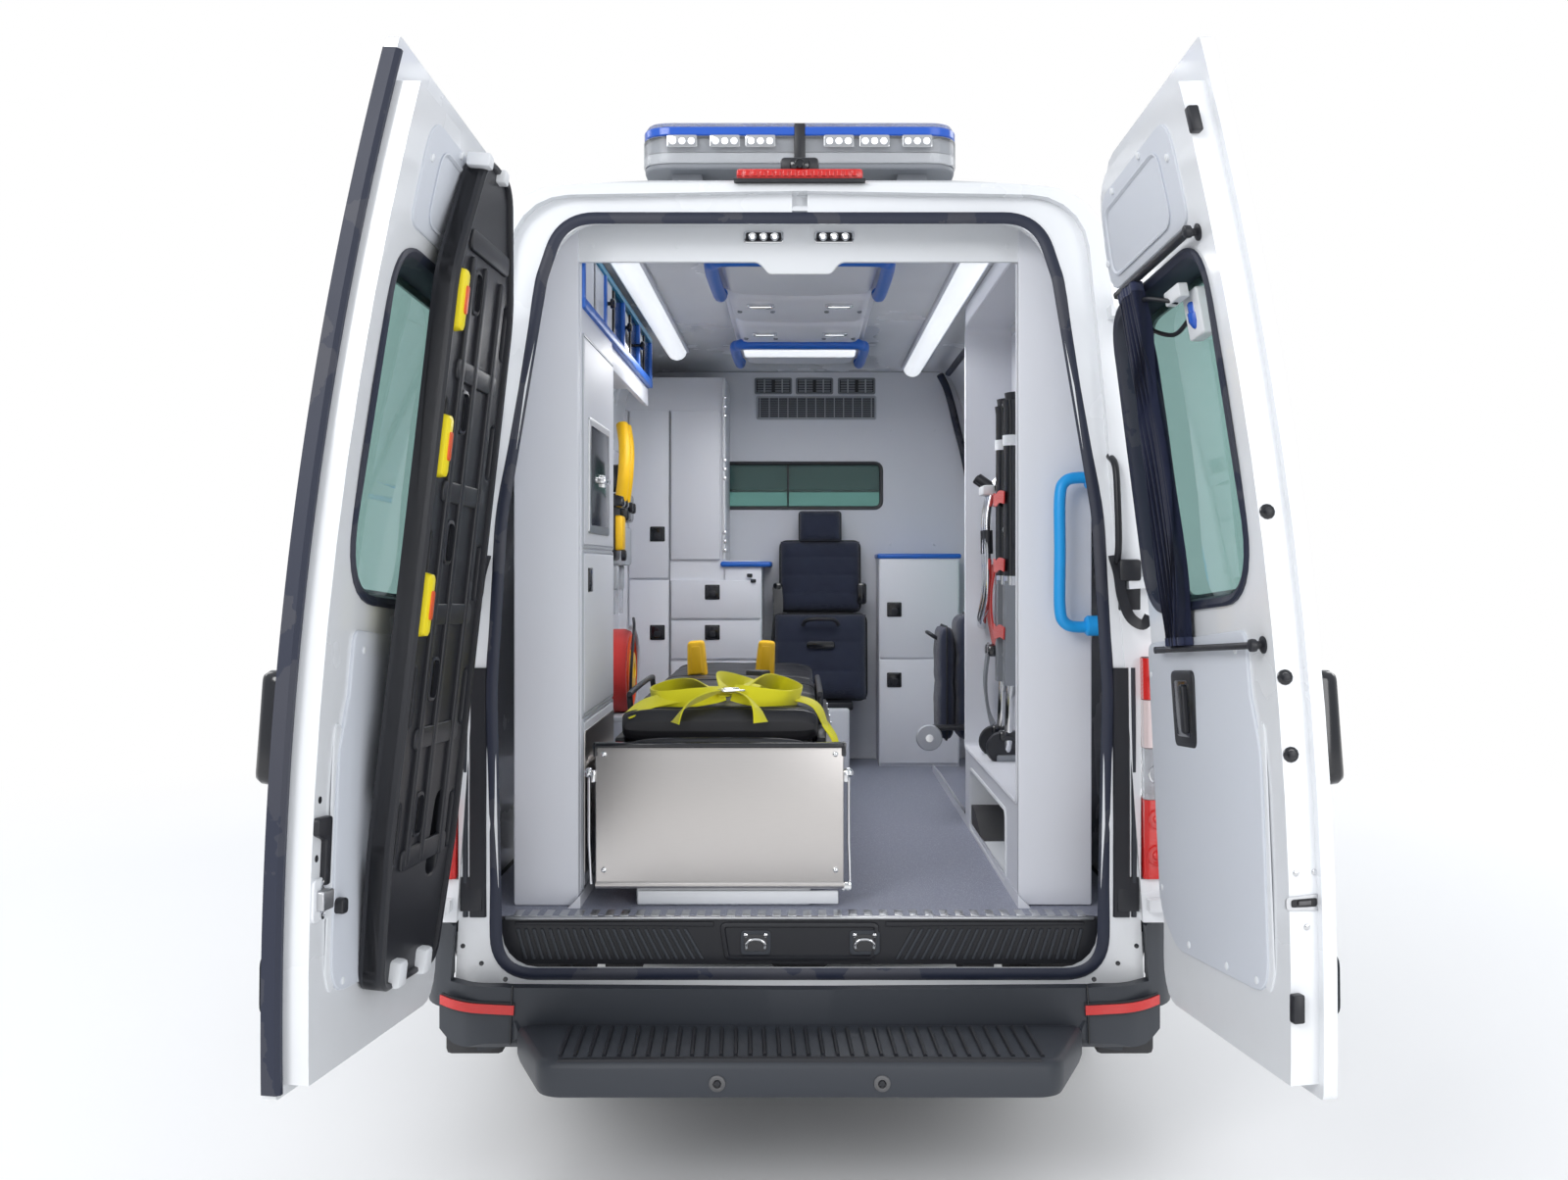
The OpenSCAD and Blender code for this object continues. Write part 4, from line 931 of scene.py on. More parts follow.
    def _camera(self) -> None:
        """Adds the camera behind the open doors."""
        data = bpy.data.cameras.new("camera")
        data.lens = self.lens
        data.sensor_width = 36
        data.shift_x, data.shift_y = self.shift
        data.clip_start = 0.05
        data.clip_end = 200
        camera = bpy.data.objects.new("camera", data)
        camera.location = (REAR_X - self.distance, 0, self.height)
        camera.rotation_euler = (math.pi / 2, 0, -math.pi / 2)
        bpy.context.scene.collection.objects.link(camera)
        bpy.context.scene.camera = camera
        bpy.context.scene.view_settings.view_transform = "Standard"


# ---------------------------------------------------------------------------
# Shells that keep their CAD shape
# ---------------------------------------------------------------------------


@dataclass
class Shells:
    """Finishes and smooth shading for the CAD nodes that stay visible."""

    finishes: dict[str, Finish] = field(default_factory=lambda: {
        **dict.fromkeys(("side_left", "side_right", "sliding_door", "roof", "rear_frame", "cab_shell",
                         "front_wings", "bonnet", "rear_door_left", "rear_door_right",
                         "front_door_left", "front_door_right"), WHITE),
        **dict.fromkeys(("front_bumper", "rear_bumper", "grille", "dashboard", "steering_wheel",
                         "rear_step"), DARK),
        **dict.fromkeys(("underbody", "front_subframe", "rear_axle", "knuckle_left", "knuckle_right"), COAT),
        **dict.fromkeys(("fixed_glass", "rear_glass_left", "rear_glass_right", "front_glass_left",
                         "front_glass_right"), GLASS),
        **dict.fromkeys(("left_cabinets", "front_cabinets", "right_lining", "bulkhead"), LINING),
        **dict.fromkeys(("cab_seats",), SEAT_CLOTH),
        "roof_unit": COVER, "engine": IRON, "exhaust_and_tank": IRON, "headlamps": CLEAR,
        "stretcher": SATIN, "stretcher_table": STEEL, "loading_flap": STEEL, "side_seat": SEAT_CLOTH,
    })
    crease: float = 32.0

    def build(self) -> None:
        """Gives every named node its material, and all but the glass a smoothing modifier."""
        tree = self._smoother()
        for name, node in frame["nodes"].items():
            finish = self.finishes.get(name, COVER)
            node.data.materials.clear()
            node.data.materials.append(material(finish))
            if finish is GLASS:
                continue
            node.modifiers.new("smooth", "NODES").node_group = tree

    def _smoother(self) -> bpy.types.NodeTree:
        """Builds the node group that smooths faces and keeps keen edges."""
        tree = bpy.data.node_groups.new("smooth_by_crease", "GeometryNodeTree")
        tree.interface.new_socket("Geometry", in_out="INPUT", socket_type="NodeSocketGeometry")
        tree.interface.new_socket("Geometry", in_out="OUTPUT", socket_type="NodeSocketGeometry")
        n = Nodes(tree)
        given = n.add("NodeGroupInput").outputs[0]
        plain = n.add("GeometryNodeRemoveAttribute", Geometry=given, Name="custom_normal").outputs[0]
        welded = n.add("GeometryNodeMergeByDistance", Geometry=plain, Distance=0.00005).outputs[0]
        angle = n.add("GeometryNodeInputMeshEdgeAngle").outputs[0]
        keen = n.math("GREATER_THAN", angle, math.radians(self.crease))
        edged = n.add("GeometryNodeSetShadeSmooth", {"domain": "EDGE"}, Geometry=welded)
        soft = n.add("FunctionNodeBooleanMath", {"operation": "NOT"})
        tree.links.new(keen, soft.inputs[0])
        tree.links.new(soft.outputs[0], edged.inputs["Shade Smooth"])
        faced = n.add("GeometryNodeSetShadeSmooth", {"domain": "FACE"}, Geometry=edged.outputs[0],
                      Shade_Smooth=True)
        n.add("NodeGroupOutput", Geometry=faced.outputs[0])
        return tree


# ---------------------------------------------------------------------------
# Rear doors
# ---------------------------------------------------------------------------


@dataclass
class RearDoor:
    """Linings, seals and fittings of one rear door, drawn closed with depth from its skin."""

    side: int
    inner_t: float = 80.0
    window: Outline = field(default_factory=lambda: rounded(
        [(95, 1480), (750, 1480), (700, 2190), (95, 2190)], [150, 130, 120, 100], 8))

    def __post_init__(self) -> None:
        """Works out the door's mapping and outlines."""
        self.space = DoorSpace(self.side)
        self.tag = "left" if self.side > 0 else "right"

    def bench(self, name: str) -> Bench:
        """Returns a bench whose local drawing is (y, z) with height along depth."""
        bench = Bench(f"{name}_{self.tag}", self.space.body, self.space)
        bench.at = Matrix(((0, 0, 1, 0), (1, 0, 0, 0), (0, 1, 0, 0), (0, 0, 0, 1)))
        return bench

    def build(self) -> None:
        """Builds what both doors share, then what is the door's own."""
        self._lining()
        self._glazing()
        self._edge()
        self._outer_trim()
        self._hinges()
        if self.side > 0:
            self._board()
        else:
            self._curtain()

    def _lining(self) -> None:
        """Adds the inner panels with their clips."""
        b = self.bench("door_lining")
        t = self.inner_t
        low = rounded([(118, 716), (640, 704), (772, 780), (768, 1405), (150, 1420), (150, 1290),
                       (118, 1180)],
                      [70, 120, 110, 40, 30, 20, 40])
        b.pad(low, 7, PANEL, 3.5, t)
        b.pad(rounded([(196, 1180), (118, 1165), (118, 1075), (160, 1000), (172, 760), (118, 712), (96, 760),
                       (96, 1250)], 20), 3, COVER, 1.5, t)
        upper = rounded([(120, 2235), (655, 2235), (600, 2445), (120, 2455)], [40, 50, 90, 60])
        b.pad(upper, 5, PANEL, 2.5, t)
        b.frame_rim(rounded([(200, 2262), (610, 2262), (575, 2405), (200, 2415)], 40),
                    [(0, t + 5), (4, t + 5), (6, t + 9), (2, t + 10), (-3, t + 6)], PANEL)
        for y, z in ((170, 735), (330, 730), (560, 730), (740, 830), (755, 1050), (750, 1330), (470, 1395),
                     (200, 1380), (190, 1150), (160, 880), (300,
                                                            2440), (500, 2432), (150, 2380), (630, 2300)):
            b.loft([(disc_outline(y, z, r, 10), t + h) for r, h in ((8, 5), (8, 9), (5, 10.5))], COVER)
        b.done()
        self._handles(t)

    def _handles(self, t: float) -> None:
        """Adds the inner handle, catches and switch box.

        Args:
            t: Height of the inner face.
        """
        b = self.bench("door_fittings")
        if self.side < 0:
            b.pad(box_outline(452, 1168, 596, 1340, 22), 9, SATIN, 4, t + 5)
            b.pad(box_outline(478, 1192, 574, 1318, 16), 2, GLOSS, 1, t + 13)
            b.pad(box_outline(494, 1200, 520, 1310, 12), 12, SATIN, 5, t + 13)
            b.pad(box_outline(244, 2040, 330, 2140, 8), 26, COVER, 4, t - 60)
            b.pad(box_outline(250, 2120, 342, 2150, 6), 20, COVER, 3, t - 20)
            self._bulb(b, t)
        else:
            b.pad(rounded([(26, 1062), (92, 1062), (92, 932), (66, 932), (66, 1018), (26, 1030)], 8), 12,
                  SATIN, 4, t)
            b.pad(box_outline(120, 870, 150, 900, 10), 26, SATIN, 4, t)
            for y, z in ((50, 1094), (46, 985), (74, 960)):
                b.loft([(disc_outline(y, z, 7, 12), t + h) for h in (-2, 1.5)], GLOSS)
        b.done()

    def _bulb(self, b: Bench, t: float) -> None:
        """Adds the blue-ended wiper motor with its lead.

        Args:
            b: Bench to add to.
            t: Height of the inner face.
        """
        keep = b.at
        b.at = keep @ Matrix.Translation((286, 2085, t - 40)) @ Matrix.Rotation(math.radians(90), 4, "X")
        b.lathe([(11, -30), (14, -26), (14, -8), (17, -6), (17, 12), (11, 24), (5, 28)], BLUE_LENS, 16)
        b.at = keep
        loop = smooth_path([(300, 2120, t - 10), (380, 2150, t + 20), (470, 2160, t + 10),
                            (520, 2120, t - 20),
                            (430, 2080, t - 40), (320, 2090, t - 40)], 6)
        b.tube(loop, 5, SATIN, 8)

    def _glazing(self) -> None:
        """Adds the seals around the window."""
        b = self.bench("window_seal")
        t = self.inner_t
        b.frame_rim(self.window, [(-16, 5), (-16, t - 14), (-10, t + 4), (2, t + 9), (9, t + 6), (9, t - 1),
                                  (1, t - 4),
                                  (1, 5)], SEAL)
        b.frame_rim(self.window, [(-30, -3), (-30, 4), (3, 4), (8, 1), (8, -2), (3, -5), (-26, -5)], GLOSS)
        b.done()

    def _edge(self) -> None:
        """Adds the edge seal, locks, striker and plugs."""
        b = self.bench("door_edge")
        t = self.inner_t
        if self.side > 0:
            profile = [(0, 0), (26, 0), (34, 8), (34, 18), (26, 26), (0, 26)]
            path = [(4, z, 14) for z in range(560, 2556, 36)]
            b.sweep(path, [(x - 12, y - 8) for x, y in profile], SEAL, up=(1, 0, 0))
            b.pad(box_outline(28, 866, 104, 948, 14), 6, COVER, 3, t)
            b.pad(box_outline(40, 888, 92, 926, 6), 16, ALUMINIUM, 4, t + 4)
            for z in (880, 934):
                b.loft([(disc_outline(66, z, r, 14), t + h) for r,
                        h in ((10, 5), (10, 9), (6, 10), (3, 8))], CHROME)
        keep = b.at
        b.at = Matrix.Identity(4)
        for z in (1180, 1325, 1640) if self.side < 0 else ():
            b.bolt((64, 25, z), RIGHT, 15, GLOSS, 5)
            b.bolt((64, 21, z), RIGHT, 8, SATIN, 10)
        if self.side < 0:
            b.at = facing((54, 25, 905), RIGHT)
            b.plate(rounded([(-34, -16), (34, -12), (34, 12), (-34, 16)], 8),
                    [rounded([(-26, -8), (24, -7), (24, 7), (-26, 8)], 5)], -1, 4, ALUMINIUM, 1)
            b.plate(box_outline(-30, -10, 30, 10, 4), [], -2, 1, GLOSS)
            b.block((-14, -4, 0), (10, 4, 6), IRON, 1.5)
            b.at = Matrix.Identity(4)
            for d, z in ((30, 960), (66, 960), (48, 860)):
                b.bolt((d, 25, z), RIGHT, 6, CHROME, 3)
            b.block((62, 2, 690), (84, 26, 742), SATIN, 4)
            b.block((62, 2, 2380), (84, 26, 2430), SATIN, 4)
        b.at = keep
        b.done()

    def _outer_trim(self) -> None:
        """Adds the outer handle, the crease drawn as a thin black line of painted shade, and the moulding."""
        b = self.bench("door_outer_trim")
        grip = rounded([(36, 1118), (86, 1118), (86, 1332), (36, 1332)], 22, 6)
        b.loft([(grip, 1), (grown(grip, 3), -8), (grown(grip, 1), -34), (grown(grip, -6), -44),
                (grown(grip, -16), -48)], GLOSS)
        # The crease: a thin gloss black strip, painted shade where the pressed line falls dark.
        b.pad(box_outline(110, 880, 640, 884, 2), -3, GLOSS, -1)
        b.pad(rounded([(20, 700), (842, 700), (846, 800), (20, 800)], 18), -10, DARK, -4)
        b.done()

    def _hinges(self) -> None:
        """Adds the lugs that the check straps hold."""
        b = Bench(f"door_check_{self.tag}", self.space.body, self.space)
        for z in (2150, 1430):
            b.block((24, 700, z - 14), (56, 762, z + 14), SATIN, 5)
        b.done()

    def _board(self) -> None:
        """Adds the spine board strapped to the left door."""
        z0, z1 = 690, 2462
        base = rear_bow(z0) + 26 + 54 + 4
        lean = math.atan((rear_bow(z1) - rear_bow(z0)) / (z1 - z0))

        def leaning(p: Vector) -> Vector:
            """Maps the board's own drawing to the door."""
            up = p.z - z0
            depth = base + p.x * math.cos(lean) + up * math.sin(lean)
            height = z0 + up * math.cos(lean) - p.x * math.sin(lean)
            return self.space(Vector((depth - rear_bow(height), p.y, height)))

        b = Bench("spine_board_shell", self.space.body, leaning)
        b.at = Matrix(((0, 0, 1, 0), (1, 0, 0, 0), (0, 1, 0, 0), (0, 0, 0, 1)))
        edge = rounded([(255, 690), (600, 690), (640, 980), (640, 2180), (520, 2462), (335, 2462),
                        (215, 2180),
                        (215, 980)], [60, 60, 200, 300, 100, 100, 300, 200], 8)
        slots = []
        for z in (1010, 1290, 1570, 1850, 2130):
            for y in (237, 586):
                slots.append(box_outline(y, z - 62, y + 32, z + 62, 14))
        oval = rounded([(470, 900), (540, 900), (560, 1080), (490, 1080)], 34)
        b.plate(edge, [*slots, oval], 2, 42, SHELL, 6)
        b.frame_rim(grown(edge, -8), [(-8, 0), (8, 0), (8, 46), (2, 52), (-6, 50), (-8, 42)], SHELL)
        for y in (308, 398, 520):
            b.pad(rounded([(y, 940), (y + 22, 940), (y + 22, 2230), (y, 2230)], 10), 12, SHELL, 5, 40)
        for z in (930, 1180, 1440, 1700, 1960, 2240):
            b.pad(rounded([(290, z), (570, z + 14), (570, z + 60), (290, z + 46)], 18), 8, SHELL, 4, 41)
        for z in (1046, 1330, 1620, 1900, 2160):
            b.frame_rim(box_outline(330, z - 40, 372, z + 40, 16), [(0, 44), (7, 44), (7, 52), (0, 54)],
                        SHELL)
        for z in (1482, 1812, 2120):
            for y in (237,):
                grip = box_outline(y - 6, z - 66, y + 36, z + 66, 16)
                b.loft([(grip, 0), (grip, 44), (grown(grip, -3), 58), (grown(grip, -12), 62)], BOARD_GRIP)
                b.pad(box_outline(y + 6, z - 30, y + 24, z + 30, 8), 3, ORANGE, 1, 62)
        for y, z in ((300, 2440), (420, 2446)):
            b.block((y, z - 16, 10), (y + 34, z + 14, 62), COVER, 5)
        for y, z in ((310, 704), (470, 700)):
            b.block((y, z - 12, 10), (y + 48, z + 44, 66), COVER, 9)
        b.done("spine_board", slot="board")

    def _curtain(self) -> None:
        """Adds the gathered curtain, its bands and its rods."""
        z0, z1 = 1395, 2199
        folds = 9
        t0 = self.inner_t + 29

        def cloth(u: float, v: float) -> Point:
            """Returns a point of the cloth.

            Args:
                u: Share of the way across, from 0 to 1.
                v: Share of the way up, from 0 to 1.

            Returns:
                The point.
            """
            pinch = 1 - 0.30 * math.exp(-((v - 0.02) / 0.10) ** 2) - 0.14 * math.exp(-((v - 1) / 0.1) ** 2)
            drift = 24 * math.sin(v * 2.3 + 0.4) - 36 * (1 - v) ** 1.5
            y = 475 + (u - 0.5) * 146 * pinch - drift * 0.3
            wave = math.sin(u * folds * 2 * math.pi + 0.9 * math.sin(v * 5.1)
                            + 0.5 * math.sin(v * 11 + 3 * u))
            deep = 15 + 6 * math.sin(v * 3 + u * 9)
            t = t0 + wave * deep * (0.8 + 0.2 * math.cos(v * 7 + u * 4))
            return (y + 4 * math.cos(u * folds * 4 * math.pi + v * 6), z0 + (z1 - z0) * v, t)

        b = self.bench("curtain_cloth")
        columns, rows = 200, 90
        b.surface(columns, rows, cloth, NAVY_CLOTH, 1.4)
        grid = [[self.space(b.at @ Vector(cloth(i / 60, j / 20))) for i in range(61)] for j in range(21)]
        cloth_made = b.done("curtain", slot="curtain_cloth")
        hem = self.bench("curtain_band")
        for v in (0.012, 0.985):
            path = [(*cloth(i / 240, v)[:2], cloth(i / 240, v)[2]) for i in range(241)]
            hem.sweep(path, [(-1.6, -9), (1.6, -9), (1.6, 9), (-1.6, 9)], NAVY_CLOTH, up=(0, 1, 0))
        hem_made = hem.done()
        rods = self.bench("curtain_rod_pair")
        for z, y0, y1, r in ((1388, 70, 640, 7), (2206, 90, 560, 9)):
            rods.tube([(y0 - 6, z, 105), (y0 + 20, z, 105), (y1, z, 105)], r, SATIN, 12)
            for y in (y0, y1):
                rods.tube([(y, z, self.inner_t + 1.5), (y, z, 111)], 8, SATIN, 10)
                rods.loft([(disc_outline(y, z, q, 16), self.inner_t + h) for q,
                           h in ((17, 1), (17, 4), (10, 7))],
                          SATIN)
            rods.at = rods.at @ Matrix.Translation((y0 - 6, z, 105))
            rods.lathe([(6, -9), (12, -6), (13, 0), (12, 6), (6, 9)], SATIN, 14)
            rods.at = Matrix(((0, 0, 1, 0), (1, 0, 0, 0), (0, 1, 0, 0), (0, 0, 0, 1)))
        rod_made = rods.done("curtain_rods", slot="dark_trim")


# ---------------------------------------------------------------------------
# Rear end
# ---------------------------------------------------------------------------

PORTAL: Outline = [(768, 560), (775, 1280), (752, 1720), (661, 2345), (615, 2500)]


def portal_loop(grow: float = 0.0, steps: int = 10) -> Outline:
    """Returns the rear opening's outline in (y, z), moved outwards by grow."""
    half = [(y, z) for y, z in PORTAL]
    both = [*half, *((-y, z) for y, z in reversed(half))]
    return grown(rounded(both, [90, 900, 900, 200, 130, 130, 200, 900, 900, 90], steps), grow)


@dataclass
class RearEnd:
    """Doorway seal, corner strips, lamps, header, sill and step."""

    def build(self) -> None:
        """Builds every piece of the rear end."""
        self._seal()
        self._corner_strips()
        self._check_straps()
        self._tail_lamps()
        self._header()
        self._roof_edge()
        self._sill()
        self._step()
        self._bumper_trim()

    @staticmethod
    def _seal() -> None:
        """Adds the rubber around the doorway and its flange."""
        b = Bench("doorway_seal")
        loop = portal_loop()
        profile = [(-4, 0), (-6, 4), (0, 8), (10, 11), (20, 10), (26, 5), (24, 0), (14, -6), (0, -6)]
        verts, faces = [], []
        count = len(loop)
        for x, t in profile:
            verts += [(rear_bow(z) + 38 - t, y, z) for y, z in grown(loop, x)]
        for i in range(len(profile)):
            j = (i + 1) % len(profile)
            faces += [(i * count + k, i * count + (k + 1) % count, j * count + (k + 1) % count, j * count + k)
                      for k in range(count)]
        b.add(verts, faces, SEAL)
        b.done()
        step = Bench("doorway_flange")
        rings = [(30, 36), (40, 34), (44, 30), (44, 22)]
        verts, faces = [], []
        for x, t in rings:
            verts += [(rear_bow(z) + 70 - t, y, z) for y, z in grown(loop, x)]
        for i in range(len(rings) - 1):
            faces += [(i * count + k, i * count + (k + 1) % count, (i + 1) * count + (k + 1) % count,
                       (i + 1) * count + k) for k in range(count)]
        step.add(verts, faces, COVER)
        step.done(double=True)

    @staticmethod
    def _corner_strips() -> None:
        """Adds the dark strips beside the doorway and the corner caps."""
        b = Bench("corner_strips")
        for s in SIDES:
            rows = [(z, rear_bow(z)) for z in range(700, 1345, 32)]
            for inner, outer, lift, finish in ((800, 848, 2, SATIN), (846, 866, 1, DARK)):
                verts, faces = [], []
                for z, d in rows:
                    lean = (z - 700) / 640 * 8
                    verts += [(d + 30 - lift + 10, s * (inner - lean), z),
                              (d + 30 - lift, s * (inner + 6 - lean), z),
                              (d + 30 - lift, s * (outer - 6 - lean),
                               z), (d + 30 - lift + 10, s * (outer - lean), z)]
                for i in range(len(rows) - 1):
                    faces += [(i * 4 + k, i * 4 + k + 1, i * 4 + k + 5, i * 4 + k + 4) for k in range(3)]
                b.add(verts, faces, finish)
            for z in (1530, 760):
                d = rear_bow(z)
                b.block((d + 27, s * 812, z - 44), (d + 40, s * 868, z + 44), SATIN, 3)
        b.done(double=False)
        caps = Bench("corner_caps")
        for s in SIDES:
            caps.block((12, s * 866, 694), (70, s * 936, 800), COVER, 8)
            caps.block((2, s * 884, 728), (20, s * 914, 762), COVER, 5)
            caps.block((-4, s * 890, 736), (8, s * 908, 752), PALE_GREY, 3)
        caps.done()

    @staticmethod
    def _check_straps() -> None:
        """Adds the straps and leads that hold the doors open."""
        b = Bench("check_straps")
        for s in SIDES:
            d = rear_bow(1540)
            path = smooth_path([(d + 40, s * 800, 1625), (d + 6, s * 806, 1580), (d - 10, s * 812, 1520),
                                (d - 22, s * 830, 1470), (d - 34, s * 858, 1452), (d - 44, s * 872, 1474)], 8)
            b.sweep(path, [(-13, -2.5), (13, -2.5), (13, 2.5), (-13, 2.5)], SATIN, up=(1, 0, 0))
            path = smooth_path([(d + 46, s * 792, 1880), (d + 4, s * 798, 1850), (d - 12, s * 800, 1760),
                                (d - 10, s * 803, 1660), (d + 20, s * 806, 1610)], 8)
            b.tube(path, 9, SATIN, 10)
            b.block((d - 8, s * 806, 1560), (d + 34, s * 862, 1616), SATIN, 8)
        b.done()

    @staticmethod
    def _tail_lamps() -> None:
        """Adds the tail lamps, brake lamp and camera."""
        b = Bench("tail_lamps")
        bands = [(1366, 1262, RED), (1260, 1140, PINK_LENS), (1138, 1010, CLEAR), (1008, 806, RED)]
        for s in SIDES:
            for top, bottom, finish in bands:
                steps = 6
                rows = []
                for i in range(steps + 1):
                    z = bottom + (top - bottom) * i / steps
                    bulge = 10 * math.sin(math.pi * (z - 800) / 570)
                    inner = 872 - (z - 806) * 0.012
                    d = rear_bow(z) - 3 - bulge * 0.3
                    rows.append([(60, inner), (d + 8, inner + 1), (d, inner + 10), (d + 2, 902),
                                 (d + 14, 934),
                                 (d + 38, 960 + bulge * 0.2), (d + 74,
                                                               976 + bulge * 0.2), (90, 979), (90, 950),
                                 (60, 930)])
                count = len(rows[0])
                verts = [(d, s * y, bottom + (top - bottom) * i / steps) for i, row in enumerate(rows)
                         for d, y in row]
                faces = [(i * count + k, i * count + (k + 1) % count, (i + 1) * count + (k + 1) % count,
                          (i + 1) * count + k) for i in range(steps) for k in range(count)]
                faces += [tuple(range(count)), tuple(steps * count + k for k in range(count))]
                b.add(verts, faces, finish)
            for z in (1313, 1074, 960, 868):
                d = rear_bow(z) - 5
                b.at = facing((d, s * 906, z), REAR)
                b.frame_rim(disc_outline(0, 0, 24, 24), [(0, -2), (3, -2), (3, 4), (0, 5)],
                            CHROME if 1000 < z < 1100 else RED)
                b.lathe([(13, -2), (12, 2), (6, 5), (1, 6)], CHROME if z > 1000 else RED, 20)
                b.at = Matrix.Identity(4)
            for i in range(7):
                z = 1150 + i * 16
                b.block((rear_bow(z) - 5, s * 884, z), (rear_bow(z), s * 926, z + 7), PINK_LENS, 2)
        b.done("rear_lamps", slot="rear_lens")
        high = Bench("brake_lamp")
        high.block((70, -165, 2606), (128, 165, 2634), RED, 8)
        for i in range(16):
            y = -150 + i * 20
            high.block((66, y, 2612), (72, y + 14, 2628), RED, 2)
        high.block((62, -172, 2600), (120, 172, 2606), SATIN, 3)
        high.done()
        camera = Bench("rear_camera")
        camera.block((84, -50, 2630), (150, 50, 2668), SATIN, 10)
        camera.block((72, -26, 2632), (100, 26, 2660), GLOSS, 9)
        camera.at = facing((70, 0, 2646), REAR)
        camera.lathe([(13, -4), (13, 4), (10, 7), (9, 3), (1, 2)], GLOSS, 20)
        camera.done()

    @staticmethod
    def _header() -> None:
        """Adds the panel over the doorway with its two lamps."""
        b = Bench("header_panel")
        z0, z1 = 2382, 2516
        shape = rounded([(-650, z0 + 14), (-618, z1 - 4), (618, z1 - 4), (650, z0 + 14), (110, z0 + 14),
                         (84, z0 - 18),
                         (-84, z0 - 18), (-110, z0 + 14)], [10, 60, 60, 10, 30, 22, 22, 30])
        b.at = facing((216, 0, 21), REAR)
        b.plate(shape, [], 0, 14, COVER, 4)
        for x in (-97, 93):
            lamp = box_outline(x - 54, 2446, x + 54, 2480, 10)
            b.plate(lamp, [], 12, 20, CHROME, 3)
            b.plate(box_outline(x - 48, 2451, x + 48, 2475, 7), [], 18, 21, GLOSS, 1)
            for k in (-1, 0, 1):
                b.loft([(disc_outline(x + 30 * k, 2463, r, 16), h) for r, h in ((12, 20), (11, 23), (8, 22))],
                       CHROME)
                b.loft([(disc_outline(x + 30 * k, 2463, r, 12), h) for r, h in ((7, 21), (5, 25), (1, 26))],
                       LED)
        for x in (-560, -330, 330, 560):
            b.loft([(disc_outline(x, 2440, r, 12), h) for r, h in ((8, 12), (7, 15), (3, 16))], COVER)
        b.done()

    @staticmethod
    def _roof_edge() -> None:
        """Adds the gutters along the roof."""
        b = Bench("roof_gutter")
        for s in SIDES:
            path = [(d, s * y, z) for d, y, z in
                    ((130, 868, 2334), (600, 868, 2336), (1800, 868, 2336), (3300, 868, 2336),
                     (3900, 850, 2336))]
            b.tube(smooth_path(path, 6), 7, COVER, 8)
        b.done()

    @staticmethod
    def _sill() -> None:
        """Adds the ribbed sill cover and the metal strip."""
        b = Bench("sill_cover")
        b.at = facing((100, 0, 0), REAR)
        outline = rounded([(-779, 676), (779, 676), (774, 556), (-774, 556)], [6, 6, 80, 80])
        b.plate(outline, [], -2, 6, SATIN, 2)
        for s in SIDES:
            for i in range(22):
                x = s * (250 + i * 22)
                lean = s * (46 - i * 1.2)
                b.plate(rounded([(x, 570), (x + 9 * s, 570), (x + 9 * s + lean, 650), (x + lean, 650)], 3),
                        [], 5, 11,
                        DARK, 2)
            b.plate(rounded([(s * 225, 656), (s * 745, 660), (s * 745, 668), (s * 225, 668)], 3), [], 5, 12,
                    SATIN, 2)
        middle = rounded([(-212, 668), (212, 668), (196, 566), (-196, 566)], 22)
        b.loft([(middle, 5), (grown(middle, -2), 11), (grown(middle, -8), 13), (grown(middle, -12), 13),
                (grown(middle, -15), 8)], SATIN)
        for x in (-115, 170):
            b.plate(box_outline(x - 40, 582, x + 40, 646, 14), [], 7, 12, DARK, 2)
            b.plate(box_outline(x - 30, 592, x + 30, 636, 8), [], 11, 12.6, GLOSS, 0.5)
            b.tube(smooth_path([(x - 24, 600, 11), (x - 24, 612, 14), (x - 12, 622, 15), (x + 12, 622, 15),
                                (x + 24, 612, 14), (x + 24, 600, 11)], 5), 4.5, CHROME, 12)
            for k in (-26, 26):
                b.loft([(disc_outline(x + k, 634, r, 12), h) for r, h in ((5, 11), (5, 14), (3, 15))], CHROME)
        b.done()
        plate = Bench("sill_strip")
        plate.block((86, -770, 674), (168, 770, 682), ALUMINIUM, 3)
        for i in range(38):
            y = -740 + 40 * i
            plate.block((94, y - 11, 681), (156, y + 11, 684.5), ALUMINIUM, 1.2)
        plate.done()

    @staticmethod
    def _step() -> None:
        """Adds the ribbed rear step with its brackets."""
        b = Bench("rear_step_shell")
        outline = rounded([(-600, -352), (-712, -78), (712, -78), (600, -352)], [70, 30, 30, 70])
        b.at = Matrix(((0, 1, 0, 0), (1, 0, 0, 0), (0, 0, 1, 0), (0, 0, 0, 1)))
        b.loft([(grown(outline, -24), 366), (grown(outline, -6), 374), (outline, 392), (outline, 440),
                (grown(outline, -6), 452), (grown(outline, -16), 458)], DARK)
        b.at = Matrix.Identity(4)
        for i in range(34):
            y = -561 + 34 * i
            bend = 20 * math.cos(math.pi * y / 1200)
            path = [(-320 + bend * 0.3, y - 4, 459), (-215, y, 460), (-110 - bend, y + 4, 461)]
            b.tube(smooth_path(path, 3), 5, SATIN, 6)
        b.sweep([(-334, y, 452 + 4 * math.cos(y / 400)) for y in range(-560, 561, 80)],
                [(-10, -6), (10, -6), (8, 6), (-8, 6)], SATIN, up=(0, 0, 1))
        for y in (-190, 190):
            b.at = facing((-352, y, 408), REAR)
            b.lathe([(19, -2), (19, 3), (16, 5), (10, 5), (9, 1), (1, 0)], IRON, 24)
            b.lathe([(9, -8), (9, 2), (7, 4), (1, 4)], SATIN, 6)
            b.at = Matrix.Identity(4)
        for s in SIDES:
            b.block((-80, s * 432, 366), (260, s * 498, 382), COAT, 3)
            b.block((200, s * 432, 380), (260, s * 498, 500), COAT, 3)
